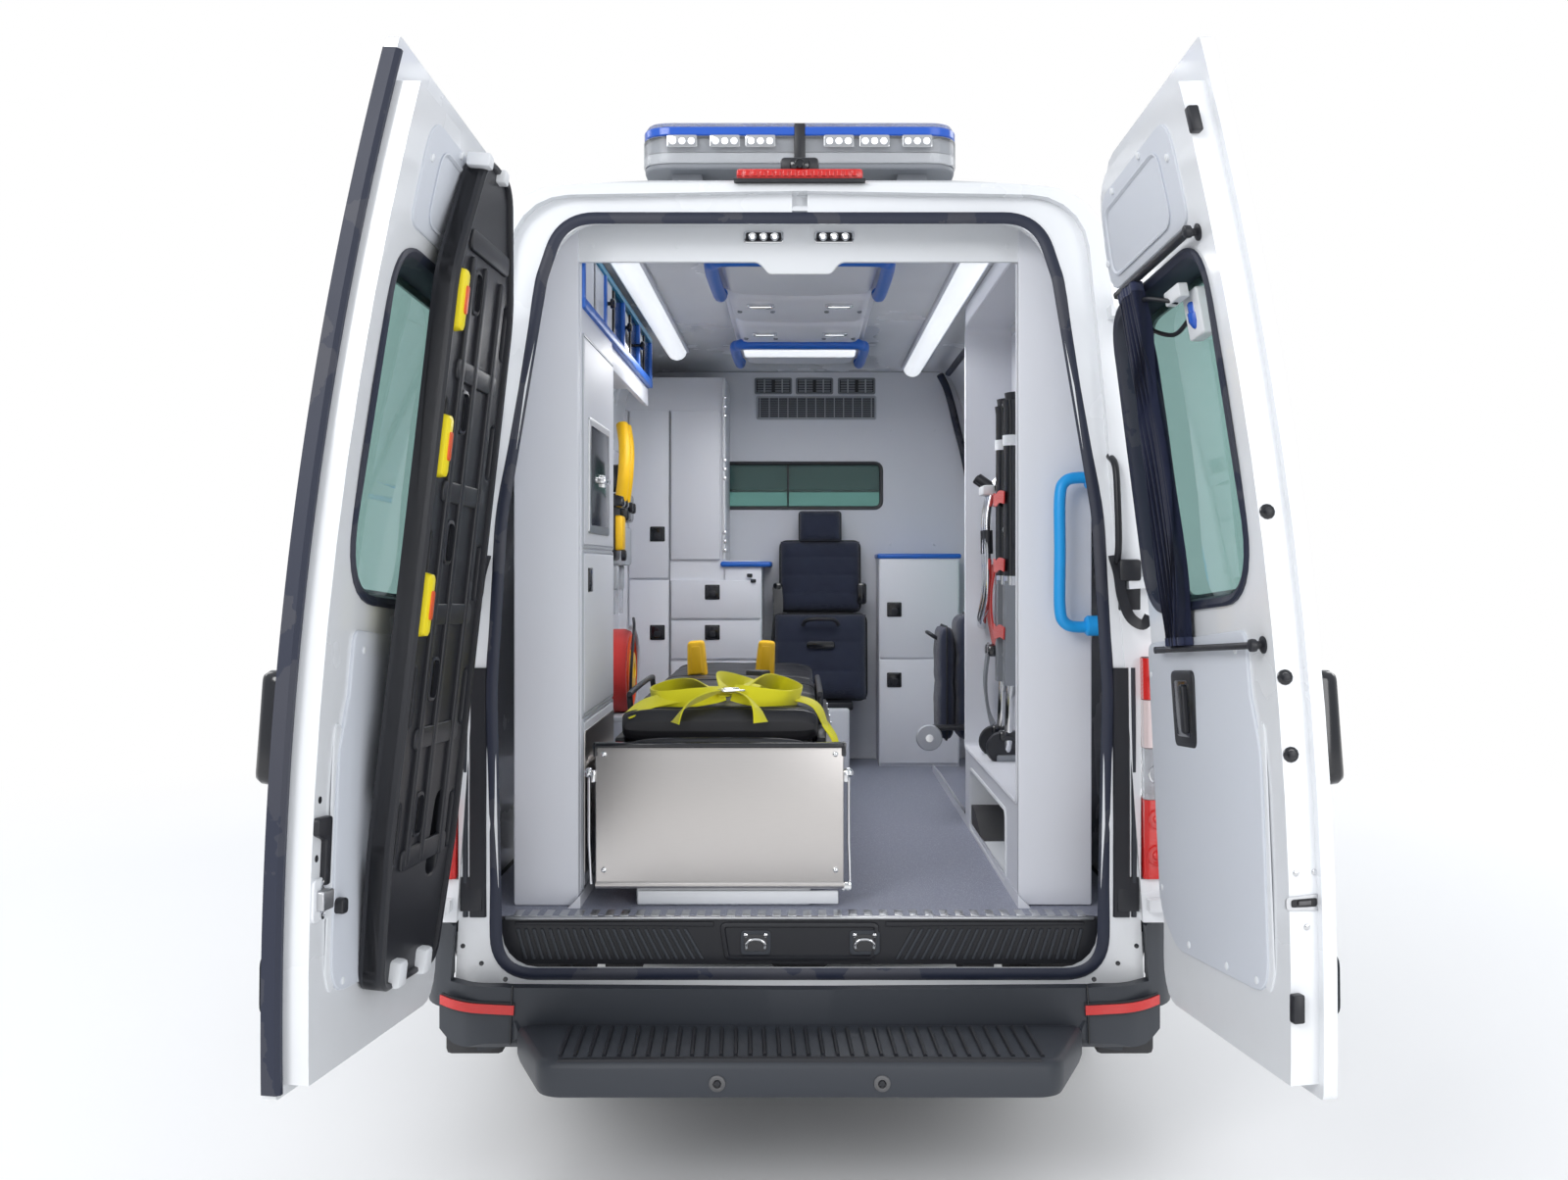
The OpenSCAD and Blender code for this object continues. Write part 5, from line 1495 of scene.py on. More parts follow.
            b.sweep([(-60, s * 700, 440), (-20, s * 760, 400), (0, s * 820, 386)],
                    [(-12, -20), (12, -20), (12, 20), (-12, 20)], DARK, up=(0, 0, 1))
        b.done("rear_step", slot="dark_trim")

    @staticmethod
    def _bumper_trim() -> None:
        """Adds the reflectors, seams and underside blocks."""
        b = Bench("bumper_trim")
        for s in SIDES:
            path = [(-62, s * 716, 486), (-60, s * 770, 488), (-54, s * 826, 490), (-36, s * 872, 493),
                    (-8, s * 912, 497)]
            b.sweep(smooth_path(path, 4), [(s * x, y) for x, y in ((-3, -10), (5, -12), (6, 12), (-3, 11))],
                    RED,
                    up=(0, 0, 1))
            b.sweep(smooth_path(path, 4), [(s * x, y) for x, y in ((-5, -16), (2, -17), (2, 17), (-5, 16))],
                    SATIN, up=(0, 0, 1))
            b.tube([(-60, s * 720, 548), (-64, s * 722, 510), (-62, s * 726, 400)], 2.2, GLOSS, 6)
            for y, z in ((740, 560), (800, 600), (850, 640)):
                b.bolt((-52 if y < 850 else -38, s * y, z), REAR, 6, GLOSS, 4)
            b.block((60, s * 770, 330), (260, s * 920, 400), COAT, 14)
            b.block((110, s * 560, 352), (240, s * 700, 400), COAT, 12)
        b.done()


# ---------------------------------------------------------------------------
# Patient room
# ---------------------------------------------------------------------------


@dataclass
class Room:
    """Floor, ceiling fittings, cabinets, partition, wall linings, handle and door seal of the patient room.
    """

    def build(self) -> None:
        """Builds every piece of the room."""
        self._floor()
        self._ceiling()
        self._console()
        self._left_cabinets()
        self._lockers()
        self._front_cabinets()
        self._bulkhead()
        self._right_lining()
        self._handle()
        self._side_door_trim()

    @staticmethod
    def _floor() -> None:
        """Adds the speckled floor covering."""
        b = Bench("floor_covering")
        b.block((104, -880, 680), (3090, 880, 684), FLOOR)
        for s in SIDES:
            b.sweep([(170, s * 584, 684), (2674, s * 590,
                                           684)] if s < 0 else [(170, 586, 684), (2674, 586, 684)],
                    [(0, 0), (s * 34, 0), (0, 34)], LINING, up=(0, 0, 1))
        b.done()

    @staticmethod
    def _ceiling() -> None:
        """Adds the ceiling panel and its light strips."""
        b = Bench("ceiling_strips")
        for s, end in ((1, 2396), (-1, 2923)):
            b.sweep([(214, s * 520, 2518), (end + 8, s * 520, 2518)],
                    [(-50, 2), (-50, -12), (-44, -14), (44, -14), (50, -12), (50, 2)], LINING, up=(0, 0, 1))
            arc = [(40 * math.cos(math.pi * k / 12),
                    -12 - 36 * math.sin(math.pi * k / 12)) for k in range(13)]
            path = [(d, s * 520, 2518) for d in (226, 240, 700, 1500, end - 14, end)]
            rings = [[(x * q, -12 + (y + 12) * q) for x, y in arc] for q in (0.55, 1, 1, 1, 1, 0.55)]
            b._sweep(path, rings, LAMP_GLOW, False, (0, 0, 1))
        b.done()

    @staticmethod
    def _console() -> None:
        """Adds the ceiling console with grab rails and lamps."""
        b = Bench("ceiling_console")
        b.block((310, -250, 2482), (2405, 250, 2520), LINING, 12, 3)
        for d, reach in ((330, 520), (900, 440), (1400, 420), (1860, 500)):
            outline = rounded([(-232, d), (232, d), (232, d + reach), (60, d + reach + 30),
                               (-60, d + reach + 30),
                               (-232, d + reach)], [50, 50, 70, 40, 40, 70], 6)
            keep = b.at
            b.at = Matrix(((0, 1, 0, 0), (1, 0, 0, 0), (0, 0, -1, 2486), (0, 0, 0, 1)))
            b.loft([(outline, 0), (grown(outline, -6), 20), (grown(outline, -18), 32),
                    (grown(outline, -34), 36)],
                   LINING)
            b.at = keep
        for d0, d1 in ((300, 900), (1790, 2410)):
            path = smooth_path([(d1, -248, 2470), (d1 - 60, -252, 2452), (d0 + 110, -252, 2446),
                                (d0 + 30, -236, 2446),
                                (d0, -190, 2446), (d0, 0, 2446), (d0, 190, 2446), (d0 + 30, 236, 2446),
                                (d0 + 110, 252, 2446), (d1 - 60, 252, 2452), (d1, 248, 2470)], 6)
            b.tube(path, 20, BLUE, 14)
        for d in (1000, 1560):
            for y in (-128, 128):
                b.at = facing((d, y, 2446), DOWN)
                ring = rounded([(-46, -24), (46, -24), (46, 24), (-46, 24)], 23, 6)
                b.loft([(ring, -8), (ring, 3), (grown(ring, -4), 6), (grown(ring, -8), 3)], CHROME)
                b.loft([(grown(ring, -9), 2), (grown(ring, -12), 4)], LED)
                b.at = Matrix.Identity(4)
        for d in (1120, 1680):
            for y in (-200, -90, 90, 200):
                b.at = facing((d, y, 2448), DOWN)
                b.lathe([(8, -4), (8, 2), (5, 4), (1, 4)], GREY, 12)
                b.at = Matrix.Identity(4)
        b.block((1930, -220, 2438), (2080, 220, 2448), LAMP_GLOW, 4)
        b.block((1922, -230, 2444), (2088, 230, 2452), LINING, 4)
        b.done("ceiling_unit", slot="lining")

    @staticmethod
    def _latch(b: Bench, y: float, z: float, d: float, size: float = 66) -> None:
        """Adds a square flush latch.

        Args:
            b: Bench to add to.
            y: Distance to the left.
            z: Height.
            d: Depth.
            size: Side length.
        """
        b.at = facing((d, y, z), REAR)
        h = size / 2
        b.pad(box_outline(-h, -h, h, h, 5), 5, GLOSS, 2)
        b.frame_rim(box_outline(-h + 7, -h + 7, h - 7, h - 7, 8), [(0, 4), (3, 4), (3, 7), (0, 8)], SATIN)
        b.pad(box_outline(-14, -20, 14, 6, 8), 8, SATIN, 3)
        b.at = Matrix.Identity(4)

    def _left_cabinets(self) -> None:
        """Adds the fronts of the left wall's cabinets."""
        b = Bench("left_cabinet_set")
        b.block((196, 594, 684), (222, 770, 2505), LINING, 8)
        b.block((222, 591, 684), (849, 606, 2505), LINING, 5)
        b.block((835, 606, 684), (849, 800, 2300), LINING, 4)
        b.block((849, 802, 960), (2674, 816, 2300), LINING)
        b.block((849, 700, 684), (2674, 816, 700), LINING, 4)
        b.at = facing((0, 591, 0), RIGHT)
        for x0, z0, x1, z1 in ((232, 1650, 838, 2230), (232, 1190, 838, 1640), (232, 720, 838, 1180)):
            b.frame_rim(box_outline(x0, z0, x1, z1, 12), [(0, 0), (3, 0), (3, 4), (0, 5), (-4, 4), (-4, 0)],
                        PALE_GREY)
            b.pad(box_outline(x0 + 8, z0 + 8, x1 - 8, z1 - 8, 8), 6, LINING, 2)
        b.pad(box_outline(300, 1690, 700, 2012, 12), 12, ALUMINIUM, 3)
        # Window of the cabinet door: an opaque gloss black pane, the glass with painted shade of the
        # cabinet's inside behind it.
        b.pad(box_outline(322, 1712, 678, 1990, 8), 13, GLOSS, 1)
        b.block((450, 1836, 4), (560, 1852, 34), CHROME, 5)
        b.block((500, 1826, 4), (520, 1862, 26), CHROME, 4)
        b.pad(box_outline(300, 1526, 372, 1594, 5), 10, GLOSS, 3)
        b.pad(box_outline(240, 760, 830, 1150, 8), 8, STEEL, 2)
        b.at = Matrix.Identity(4)
        for i in range(3):
            z = 1200 + 330 * i
            b.block((900, 798, z), (2640, 806, z + 12), BLUE, 3)
        b.done("left_cabinets", slot="lining")
        self._kit()

    @staticmethod
    def _kit() -> None:
        """Adds the devices and the hose reel in the left bay."""
        b = Bench("wall_equipment")
        b.block((1970, 730, 1620), (2150, 800, 1840), SATIN, 14)
        b.block((1990, 700, 1660), (2080, 740, 1800), AMBER_GRIP, 12)
        for d, finish in ((1975, AMBER_GRIP), (2090, AMBER_GRIP)):
            b.tube(smooth_path([(d, 706, 1860), (d - 20, 692, 1960), (d - 6, 690, 2070),
                                (d + 34, 706, 2160)], 6), 24,
                   finish, 14)
            b.block((d - 30, 690, 1830), (d + 34, 760, 1880), GLOSS, 12)
        b.block((2110, 706, 1900), (2200, 800, 2010), GLOSS, 14)
        b.block((2200, 716, 1600), (2420, 800, 1760), PALE_GREY, 12)
        b.block((2220, 704, 1780), (2400, 800, 1900), GLOSS, 16)
        for d, z in ((2150, 1950), (2260, 1840), (2350, 1840), (2030, 1640)):
            b.at = facing((d, 704, z), RIGHT)
            b.lathe([(22, -6), (22, 8), (18, 12), (8, 12), (7, 9), (1, 9)], SATIN, 20)
            b.at = Matrix.Identity(4)
        for d in (1980, 2140, 2300):
            b.block((d, 740, 1500), (d + 60, 800, 1600), PALE_GREY, 8)
            b.tube([(d + 30, 752, 1400), (d + 30, 748, 1610)], 9, CLEAR, 10)
        b.at = facing((2300, 800, 1160), RIGHT)
        b.lathe([(160, 0), (175, 14), (175, 70), (166, 92), (130, 98), (124, 90), (76, 86)], RED_WEB, 48)
        b.lathe([(84, 84), (90, 100), (74, 108), (34, 110), (28, 100), (1, 98)], AMBER_GRIP, 32)
        b.frame_rim(disc_outline(0, 0, 142, 48), [(0, 94), (8, 94), (8, 102), (0, 104)], ORANGE)
        b.at = Matrix.Identity(4)
        hose = [(2300 + 186 * math.cos(a), 700 - 4 * math.sin(3 * a), 1160 + 186 * math.sin(a))
                for a in (k * 0.26 for k in range(-6, 8))]
        b.tube(hose, 8, PALE_GREY, 10)
        b.tube(smooth_path([(2260, 690, 1380), (2160, 676, 1340), (2096, 680, 1180), (2140, 690, 1010)], 6),
               6,
               SATIN, 8)
        b.block((2080, 700, 970), (2480, 800, 990), PALE_GREY, 5)
        b.done("wall_kit", slot="kit")

    @staticmethod
    def _lockers() -> None:
        """Adds the overhead lockers with blue rims."""
        b = Bench("overhead_lockers")
        b.block((855, 604, 2298), (1985, 780, 2312), LINING, 4)
        b.block((1972, 604, 2300), (1986, 780, 2500), LINING, 4)
        b.block((250, 600, 2230), (1986, 618, 2306), LINING, 4)
        b.at = facing((0, 597, 0), RIGHT)
        b.block((232, 2300, -6), (1982, 2330, 16), BLUE, 5)
        b.block((232, 2476, -6), (1982, 2496, 14), TEAL, 4)
        for x in (232, 660, 1100, 1540, 1956):
            b.block((x, 2320, -6), (x + 26, 2480, 14), BLUE, 5)
        for i in range(4):
            x = 256 + 436 * i
            b.block((x, 2328, -4), (x + 420, 2478, 2), GLOSS, 1)
            b.block((x + 200, 2328, 2), (x + 226, 2478, 6), SATIN, 2)
        b.at = Matrix.Identity(4)
        for d in (690, 1120, 1510):
            b.at = facing((d, 590, 2396), RIGHT)
            b.lathe([(6, -6), (6, 12), (15, 16), (16, 24), (12, 29), (1, 30)], GLOSS, 18)
            b.at = Matrix.Identity(4)
        b.done()

    def _front_cabinets(self) -> None:
        """Adds the doors and drawers on the bulkhead."""
        b = Bench("front_cabinet_set")
        d = 2676
        b.block((d + 12, 331, 684), (3092, 900, 2438), LINING, 3)
        b.block((d + 12, 170, 684), (3092, 340, 1596), LINING, 3)
        b.block((d - 8, 128, 1594), (3092, 352, 1618), BLUE, 9, 3)
        b.block((d + 10, 176, 1612), (3092, 346, 1622), COVER, 3)
        gap = 4
        fronts = [(580, 759, 1543, 2289), (580, 759, 700, 1537), (172, 574, 1364, 1536),
                  (172, 574, 1185, 1357),
                  (172, 574, 940, 1177), (172, 574, 700, 933), (352, 574, 1626, 2289), (764, 860, 700, 2289)]
        for y0, y1, z0, z1 in fronts:
            b.block((d - 4, y0 + gap / 2, z0 + gap / 2), (d + 14, y1 - gap / 2, z1 - gap / 2), LINING, 2.5)
        b.block((d + 4, 576, 700), (d + 13, 580, 2290), GREY)
        for y, z in ((632, 1740), (632, 1303), (388, 1482), (388, 1303), (388, 1129), (388, 880)):
            self._latch(b, y, z, d - 4)
        for y, z in ((222, 1556), (206, 1532)):
            b.at = facing((d - 4, y, z), REAR)
            b.pad(box_outline(-12, -8, 12, 8, 4), 8, GLOSS, 2)
            b.at = Matrix.Identity(4)
        b.block((d - 2, 330, 1625), (d + 12, 344, 2430), COVER, 5)
        for z in (1660, 1980, 2260):
            for k in range(3):
                b.block((d - 8, 326, z + 40 * k), (d - 1, 340, z + 14 + 40 * k), CHROME, 2)
        b.block((2832, -728, 684), (3092, -362, 1636), LINING, 3)
        b.block((2822, -736, 1632), (3092, -354, 1654), BLUE, 8, 3)
        for z0, z1 in ((1180, 1625), (700, 1172)):
            b.block((2822, -722, z0), (2836, -366, z1), LINING, 3)
        self._latch(b, -430, 1400, 2822)
        self._latch(b, -430, 1080, 2822)
        b.done("front_cabinets", slot="lining")

    @staticmethod
    def _bulkhead() -> None:
        """Adds the sliding window, vents and joints."""
        b = Bench("partition")
        d = 3095
        inner = [(900, 684), (895, 1300), (775, 2330), (710, 2518)]
        outline = [*inner, *((-y, z) for y, z in reversed(inner))]
        window = box_outline(-357, 1880, 380, 2078, 28)
        b.at = facing((d, 0, 0), REAR)
        b.plate([(-y, z) for y, z in outline], [window], -46, 0, LINING, 1)
        b.frame_rim(window, [(-2, -10), (-2, 4), (4, 8), (12, 8), (16, 2), (16, 0), (0, -2)], SATIN)
        b.block((-60, 1880, -26), (-52, 2078, 4), SATIN, 2)
        for x in (-37 - 88, 158 - 88, 358 - 88):
            b.frame_rim(box_outline(x - 84, 2417, x + 84, 2485, 5), [(0, 0), (5, 0), (5, 5), (0, 6),
                                                                     (-4, 3)], GREY)
            b.plate(box_outline(x - 84, 2417, x + 84, 2485, 5), [], -4, 1, SATIN)
            for k in range(2):
                cx = x - 42 + 84 * k
                for j in range(5):
                    b.block((cx - 34, 2424 + 12 * j, 0), (cx + 34, 2431 + 12 * j, 7), GREY, 2)
                b.block((cx - 3, 2420, 3), (cx + 3, 2482, 9), PALE_GREY, 2)
        b.frame_rim(box_outline(-200, 2297, 358, 2399, 6), [(-2, 0), (6, 0), (6, 5), (0, 7), (-4, 3)],
                    PALE_GREY)
        b.plate(box_outline(-200, 2297, 358, 2399, 6), [], -6, 1, SATIN)
        for j in range(11):
            b.block((-196, 2302 + 9 * j, 0), (354, 2306 + 9 * j, 6), GREY, 1.5)
        for k in range(13):
            b.block((-190 + 44 * k, 2300, 4), (-186 + 44 * k, 2396, 8), PALE_GREY, 1)
        for x in (-600, -420, 430, 640):
            for z in (1700, 2240):
                b.loft([(disc_outline(x, z, r, 10), h) for r, h in ((7, 0), (6, 3), (3, 4))], LINING)
        b.at = Matrix.Identity(4)
        b.done("bulkhead", slot="lining")

    @staticmethod
    def _right_lining() -> None:
        """Adds the end panel, niche rim and wheel box."""
        b = Bench("right_lining_panels")
        d0, d1 = 200, 1404
        niche = rounded([(216, 960), (1388, 960), (1388, 2440), (216, 2440)], [20, 20, 60, 60])
        b.at = facing((0, -588, 0), LEFT)
        flip = [(-x, z) for x, z in niche]
        wall = [(-x, z) for x, z in ((d0, 686), (d1, 686), (d1, 2516), (d0, 2516))]
        low = [(-x, z) for x, z in rounded([(420, 700), (1250, 700), (1250, 900), (420, 900)], 30)]
        b.plate(wall, [flip, low], -8, 0, LINING, 1)
        b.frame_rim(flip, [(-3, -160), (-3, 2), (3, 5), (9, 3), (9, 0), (0, -2), (0, -160)], LINING)
        b.frame_rim(low, [(-3, -120), (-3, 2), (3, 5), (9, 3), (9, 0), (0, -2), (0, -120)], COVER)
        b.plate(grown(flip, 4), [], -166, -160, LINING)
        b.plate(grown(low, 4), [], -126, -120, COVER)
        for z in (1180, 1660):
            b.block((-1386, z, -160), (-218, z + 30, -150), PALE_GREY, 4)
        b.at = Matrix.Identity(4)
        b.block((196, -786, 686), (214, -588, 2500), LINING, 6)
        b.block((1396, -786, 686), (1408, -588, 2500), LINING, 3)
        b.done("right_lining", slot="lining")

    @staticmethod
    def _handle() -> None:
        """Adds the blue entry handle."""
        b = Bench("entry_handle")
        b.tube(smooth_path([(150, -792, 1440), (142, -740, 1437), (132, -702, 1448), (126, -687, 1490),
                            (124, -687, 1635), (126, -687, 1780), (132, -702, 1822), (142, -740, 1833),
                            (150, -792, 1830)], 6), 15.5, CYAN, 16)
        for z in (1440, 1830):
            b.at = facing((149, -766, z), LEFT)
            b.lathe([(27, -30), (27, 2), (22, 8), (14, 10)], CYAN, 24)
            b.at = Matrix.Identity(4)
        b.done()

    @staticmethod
    def _side_door_trim() -> None:
        """Adds the dark seal of the sliding door."""
        b = Bench("side_door_seal")
        path = smooth_path([(3060, -890, 700), (3070, -884, 1400), (3074, -800, 2000), (3072, -744, 2250),
                            (3066, -700, 2420), (3040, -660, 2498)], 8)
        b.tube(path, 17, SEAL, 12)
        path = [(1420, -888, 700), (1420, -884, 1300), (1420, -770, 2330), (1424, -720, 2490)]
        b.tube(smooth_path(path, 6), 15, SEAL, 10)
        b.tube([(1440, -700, 2505), (3040, -700, 2505)], 15, SEAL, 10)
        b.done()


@dataclass
class Seats:
    """Attendant seat, folding side seat and the carry chair in its niche."""

    def build(self) -> None:
        """Builds the seats."""
        self._attendant()
        self._side_seat()
        self._carry_chair()

    @staticmethod
    def _cushion(name: str, size: Point, seams: int, at: Matrix, nodes: tuple[str, ...] = (),
                 fill: float = 0.8) -> bpy.types.Object:
        """Adds one stuffed cushion with stitched channels.

        Args:
            name: Its name.
            size: Width, height and thickness in millimetres.
            seams: Number of stitched channels across it.
            at: Where its centre goes; its thickness is along local z.
            nodes: CAD nodes it stands for.
            fill: Not used.

        Returns:
            The cushion.
        """
        w, h, deep = size
        b = Bench(name)
        b.at = at
        nu, nv = 40, 56

        def edge(value: float, half: float, r: float) -> float:
            """Returns how full the stuffing is at a distance from the middle."""
            over = max(abs(value) - (half - r), 0)
            return math.sqrt(max(1 - (over / r) ** 2, 0)) if r else 1

        for s in SIDES:
            def skin(u: float, v: float, s: int = s) -> Point:
                """Returns a point of the cover.

                Args:
                    u: Share of the way across, from 0 to 1.
                    v: Share of the way up, from 0 to 1.
                    s: Side, 1 or -1.

                Returns:
                    The point.
                """
                x, y = (u * 2 - 1) * w / 2, (v * 2 - 1) * h / 2
                swell = (edge(x, w / 2, min(w, h) * 0.22) * edge(y, h / 2, min(w, h) * 0.22)) ** 0.7
                lane = abs(math.sin(math.pi * v * seams)) if seams else 1
                seam = 0.80 + 0.20 * lane ** 0.35
                crown = 1 + 0.14 * math.cos(math.pi * x / w) * math.cos(math.pi * y / h)
                wrinkle = 1.2 * math.sin(x * 0.09 + 2 * v) * math.sin(y * 0.07)
                pull = 1 - 0.03 * (1 - swell)
                return (x * pull, y * pull, s * (deep / 2 * swell * seam * crown * 0.94 + wrinkle * swell))
            b.surface(nu, nv, skin, SEAT_CLOTH)
        rim = rounded([(-w / 2, -h / 2), (w / 2, -h / 2), (w / 2, h / 2), (-w / 2, h / 2)], min(w, h) * 0.1,
                      6)
        b.tube([(x * 0.985, y * 0.985, 0) for x, y in rim], 4, SATIN, 8, closed=True)
        made = b.done(*nodes, smooth=75)
        return made

    def _attendant(self) -> None:
        """Adds the attendant seat."""
        d = 2676
        at = facing((d + 316, -95, 1550), REAR) @ Matrix.Rotation(math.radians(-10), 4, "X")
        self._cushion("attendant_back", (380, 340, 96), 4, at, fill=0.85)
        at = facing((d + 322, -95, 1782), REAR) @ Matrix.Rotation(math.radians(-8), 4, "X")
        self._cushion("attendant_headrest", (196, 142, 92), 0, at, fill=0.85)
        at = facing((d + 190, -95, 1182), REAR) @ Matrix.Rotation(math.radians(-6), 4, "X")
        self._cushion("attendant_squab", (430, 400, 120), 3, at, fill=0.85)
        b = Bench("attendant_base")
        b.block((d + 4, -222, 684), (3092, 150, 960), LINING, 10, 3)
        b.block((d + 60, -240, 950), (3092, 168, 986), SATIN, 8)
        b.block((d + 300, -250, 986), (3092, 60, 1391), GREY, 10)
        b.block((d + 250, -300, 1005), (d + 292, 110, 1380), SATIN, 16, 3)
        b.tube(smooth_path([(d + 118, -175, 1330), (d + 92, -150, 1356), (d + 92, -40, 1356),
                            (d + 118, -15, 1330)], 5),
               9, SATIN, 10)
        b.at = facing((d + 122, -95, 1240), REAR)
        b.pad(box_outline(-64, -16, 64, 16, 14), 6, GLOSS, 2)
        b.at = Matrix.Identity(4)
        for y in (100, -290):
            b.block((d + 250, y - 20, 1420), (d + 300, y + 24, 1520), GLOSS, 12)
        b.sweep(smooth_path([(d + 255, 104, 1500), (d + 225, 98, 1400), (d + 205, 110, 1250),
                             (d + 230, 118, 1060)], 6),
                [(-22, -1.5), (22, -1.5), (22, 1.5), (-22, 1.5)], SATIN, up=(-1, 0, 0))
        for y in (-150, -40):
            b.tube([(d + 320, y, 1690), (d + 322, y, 1730)], 6, CHROME, 10)
        b.done("attendant_seat", slot="seat_cover")

    def _side_seat(self) -> None:
        """Adds the folded side seat."""
        at = facing((1645, -620, 1190), LEFT)
        self._cushion("side_seat_back", (230, 470, 100), 3, at, fill=0.8)
        at = facing((1645, -536, 1170), LEFT)
        self._cushion("side_seat_squab", (224, 420, 64), 2, at, fill=0.8)
        b = Bench("side_seat_frame")
        b.block((1530, -760, 930), (1760, -700, 1455), SATIN, 10)
        b.block((1690, -720, 684), (1730, -660, 940), ALUMINIUM, 6)
        b.tube(smooth_path([(1600, -508, 1330), (1600, -478, 1350), (1690, -478, 1350), (1690, -508, 1330)],
                           5), 7,
               SATIN, 10)
        b.at = facing((1500, -468, 978), REAR)
        b.lathe([(20, -16), (44, -14), (48, 0), (44, 14), (20, 16)], PALE_GREY, 28)
        b.lathe([(14, -20), (14, 20)], CHROME, 16)
        b.at = Matrix.Identity(4)
        b.block((1496, -640, 1004), (1540, -480, 1022), SATIN, 6)
        b.done("side_seat", slot="seat_cover")

    @staticmethod
    def _carry_chair() -> None:
        """Adds the folded carry chair with its belts."""
        b = Bench("carry_chair_frame")
        pair = (1000, 1180)
        for d in pair:
            b.tube([(d, -690, 1550), (d, -690, 2110), (d, -686, 2140)], 26, GLOSS, 18)
            b.tube([(d, -690, 2136), (d, -686, 2164)], 19, SATIN, 14)
            b.tube([(d, -690, 1990), (d, -690, 2024)], 29, COVER, 18)
            b.sweep([(d, -690, 1210), (d, -690, 1550)], box_outline(-25, -25, 25, 25, 5), GREY, up=(1, 0, 0))
            b.tube([(d, -690, 1536), (d, -690, 1566)], 28, CHROME, 18)
            b.tube(smooth_path([(d, -690, 1216), (d - 8, -684, 1120), (d - 4, -678, 1010),
                                (d + 24, -676, 975)], 6), 15,
                   CHROME, 14)
            b.block((d - 24, -716, 1030), (d + 24, -650, 1062), GLOSS, 8)
            b.at = facing((d, -660, 1006), REAR)
            b.lathe([(12, -14), (50, -12), (54, 0), (50, 12), (12, 14)], SATIN, 28)
            b.at = Matrix.Identity(4)
        for z in (1300, 1720, 2140):
            b.tube([(pair[0], -694, z), (pair[1], -694, z)], 12, ALUMINIUM, 12)
        for k in range(2):
            d = 1210 + 60 * k
            b.tube(smooth_path([(d, -690, 1900), (d + 8, -660, 1860), (d + 4, -640, 1760),
                                (d - 4, -640, 1620),
                                (d + 10, -640, 1500), (d + 60, -632,
                                                       1420), (d + 120, -640, 1390)], 6), 13, CHROME, 14)
            b.tube([(d + 6, -664, 1860), (d + 30, -612, 1900)], 17, SATIN, 12)
            b.tube([(d, -642, 1640), (d + 2, -641, 1720)], 17, SATIN, 12)
            b.block((d - 14, -664, 1840), (d + 40, -622, 1874), COVER, 8)
            b.sweep(smooth_path([(d - 10, -664, 1600), (d + 4, -652, 1520), (d + 8, -654, 1420),
                                 (d, -670, 1330)], 5),
                    [(-24, -3), (24, -3), (24, 3), (-24, 3)], RED_WEB, up=(0, 1, 0))
            b.block((d - 20, -690, 1290), (d + 24, -640, 1330), GLOSS, 10)
        b.sweep(smooth_path([(1240, -650, 1330), (1270, -640, 1200), (1300, -660, 1080),
                             (1250, -690, 1000)], 5),
                [(-26, -4), (26, -4), (26, 4), (-26, 4)], GREY, up=(0, 1, 0))
        for z in (1380, 1600, 1820):
            b.sweep(smooth_path([(970, -662, z), (1030, -656, z + 6), (1100, -654, z - 4),
                                 (1160, -656, z + 4),
                                 (1214, -662, z)], 4), [(-2, -20), (2, -20), (2, 20),
                                                        (-2, 20)], RED_WEB, up=(0, 0, 1))
        b.block((1010, -740, 1350), (1170, -716, 2080), SATIN, 10)
        b.block((980, -740, 960), (1200, -640, 985), GREY, 8)
        b.done("carry_chair", slot="chair_frame")


# ---------------------------------------------------------------------------
# Stretcher and loading table
# ---------------------------------------------------------------------------


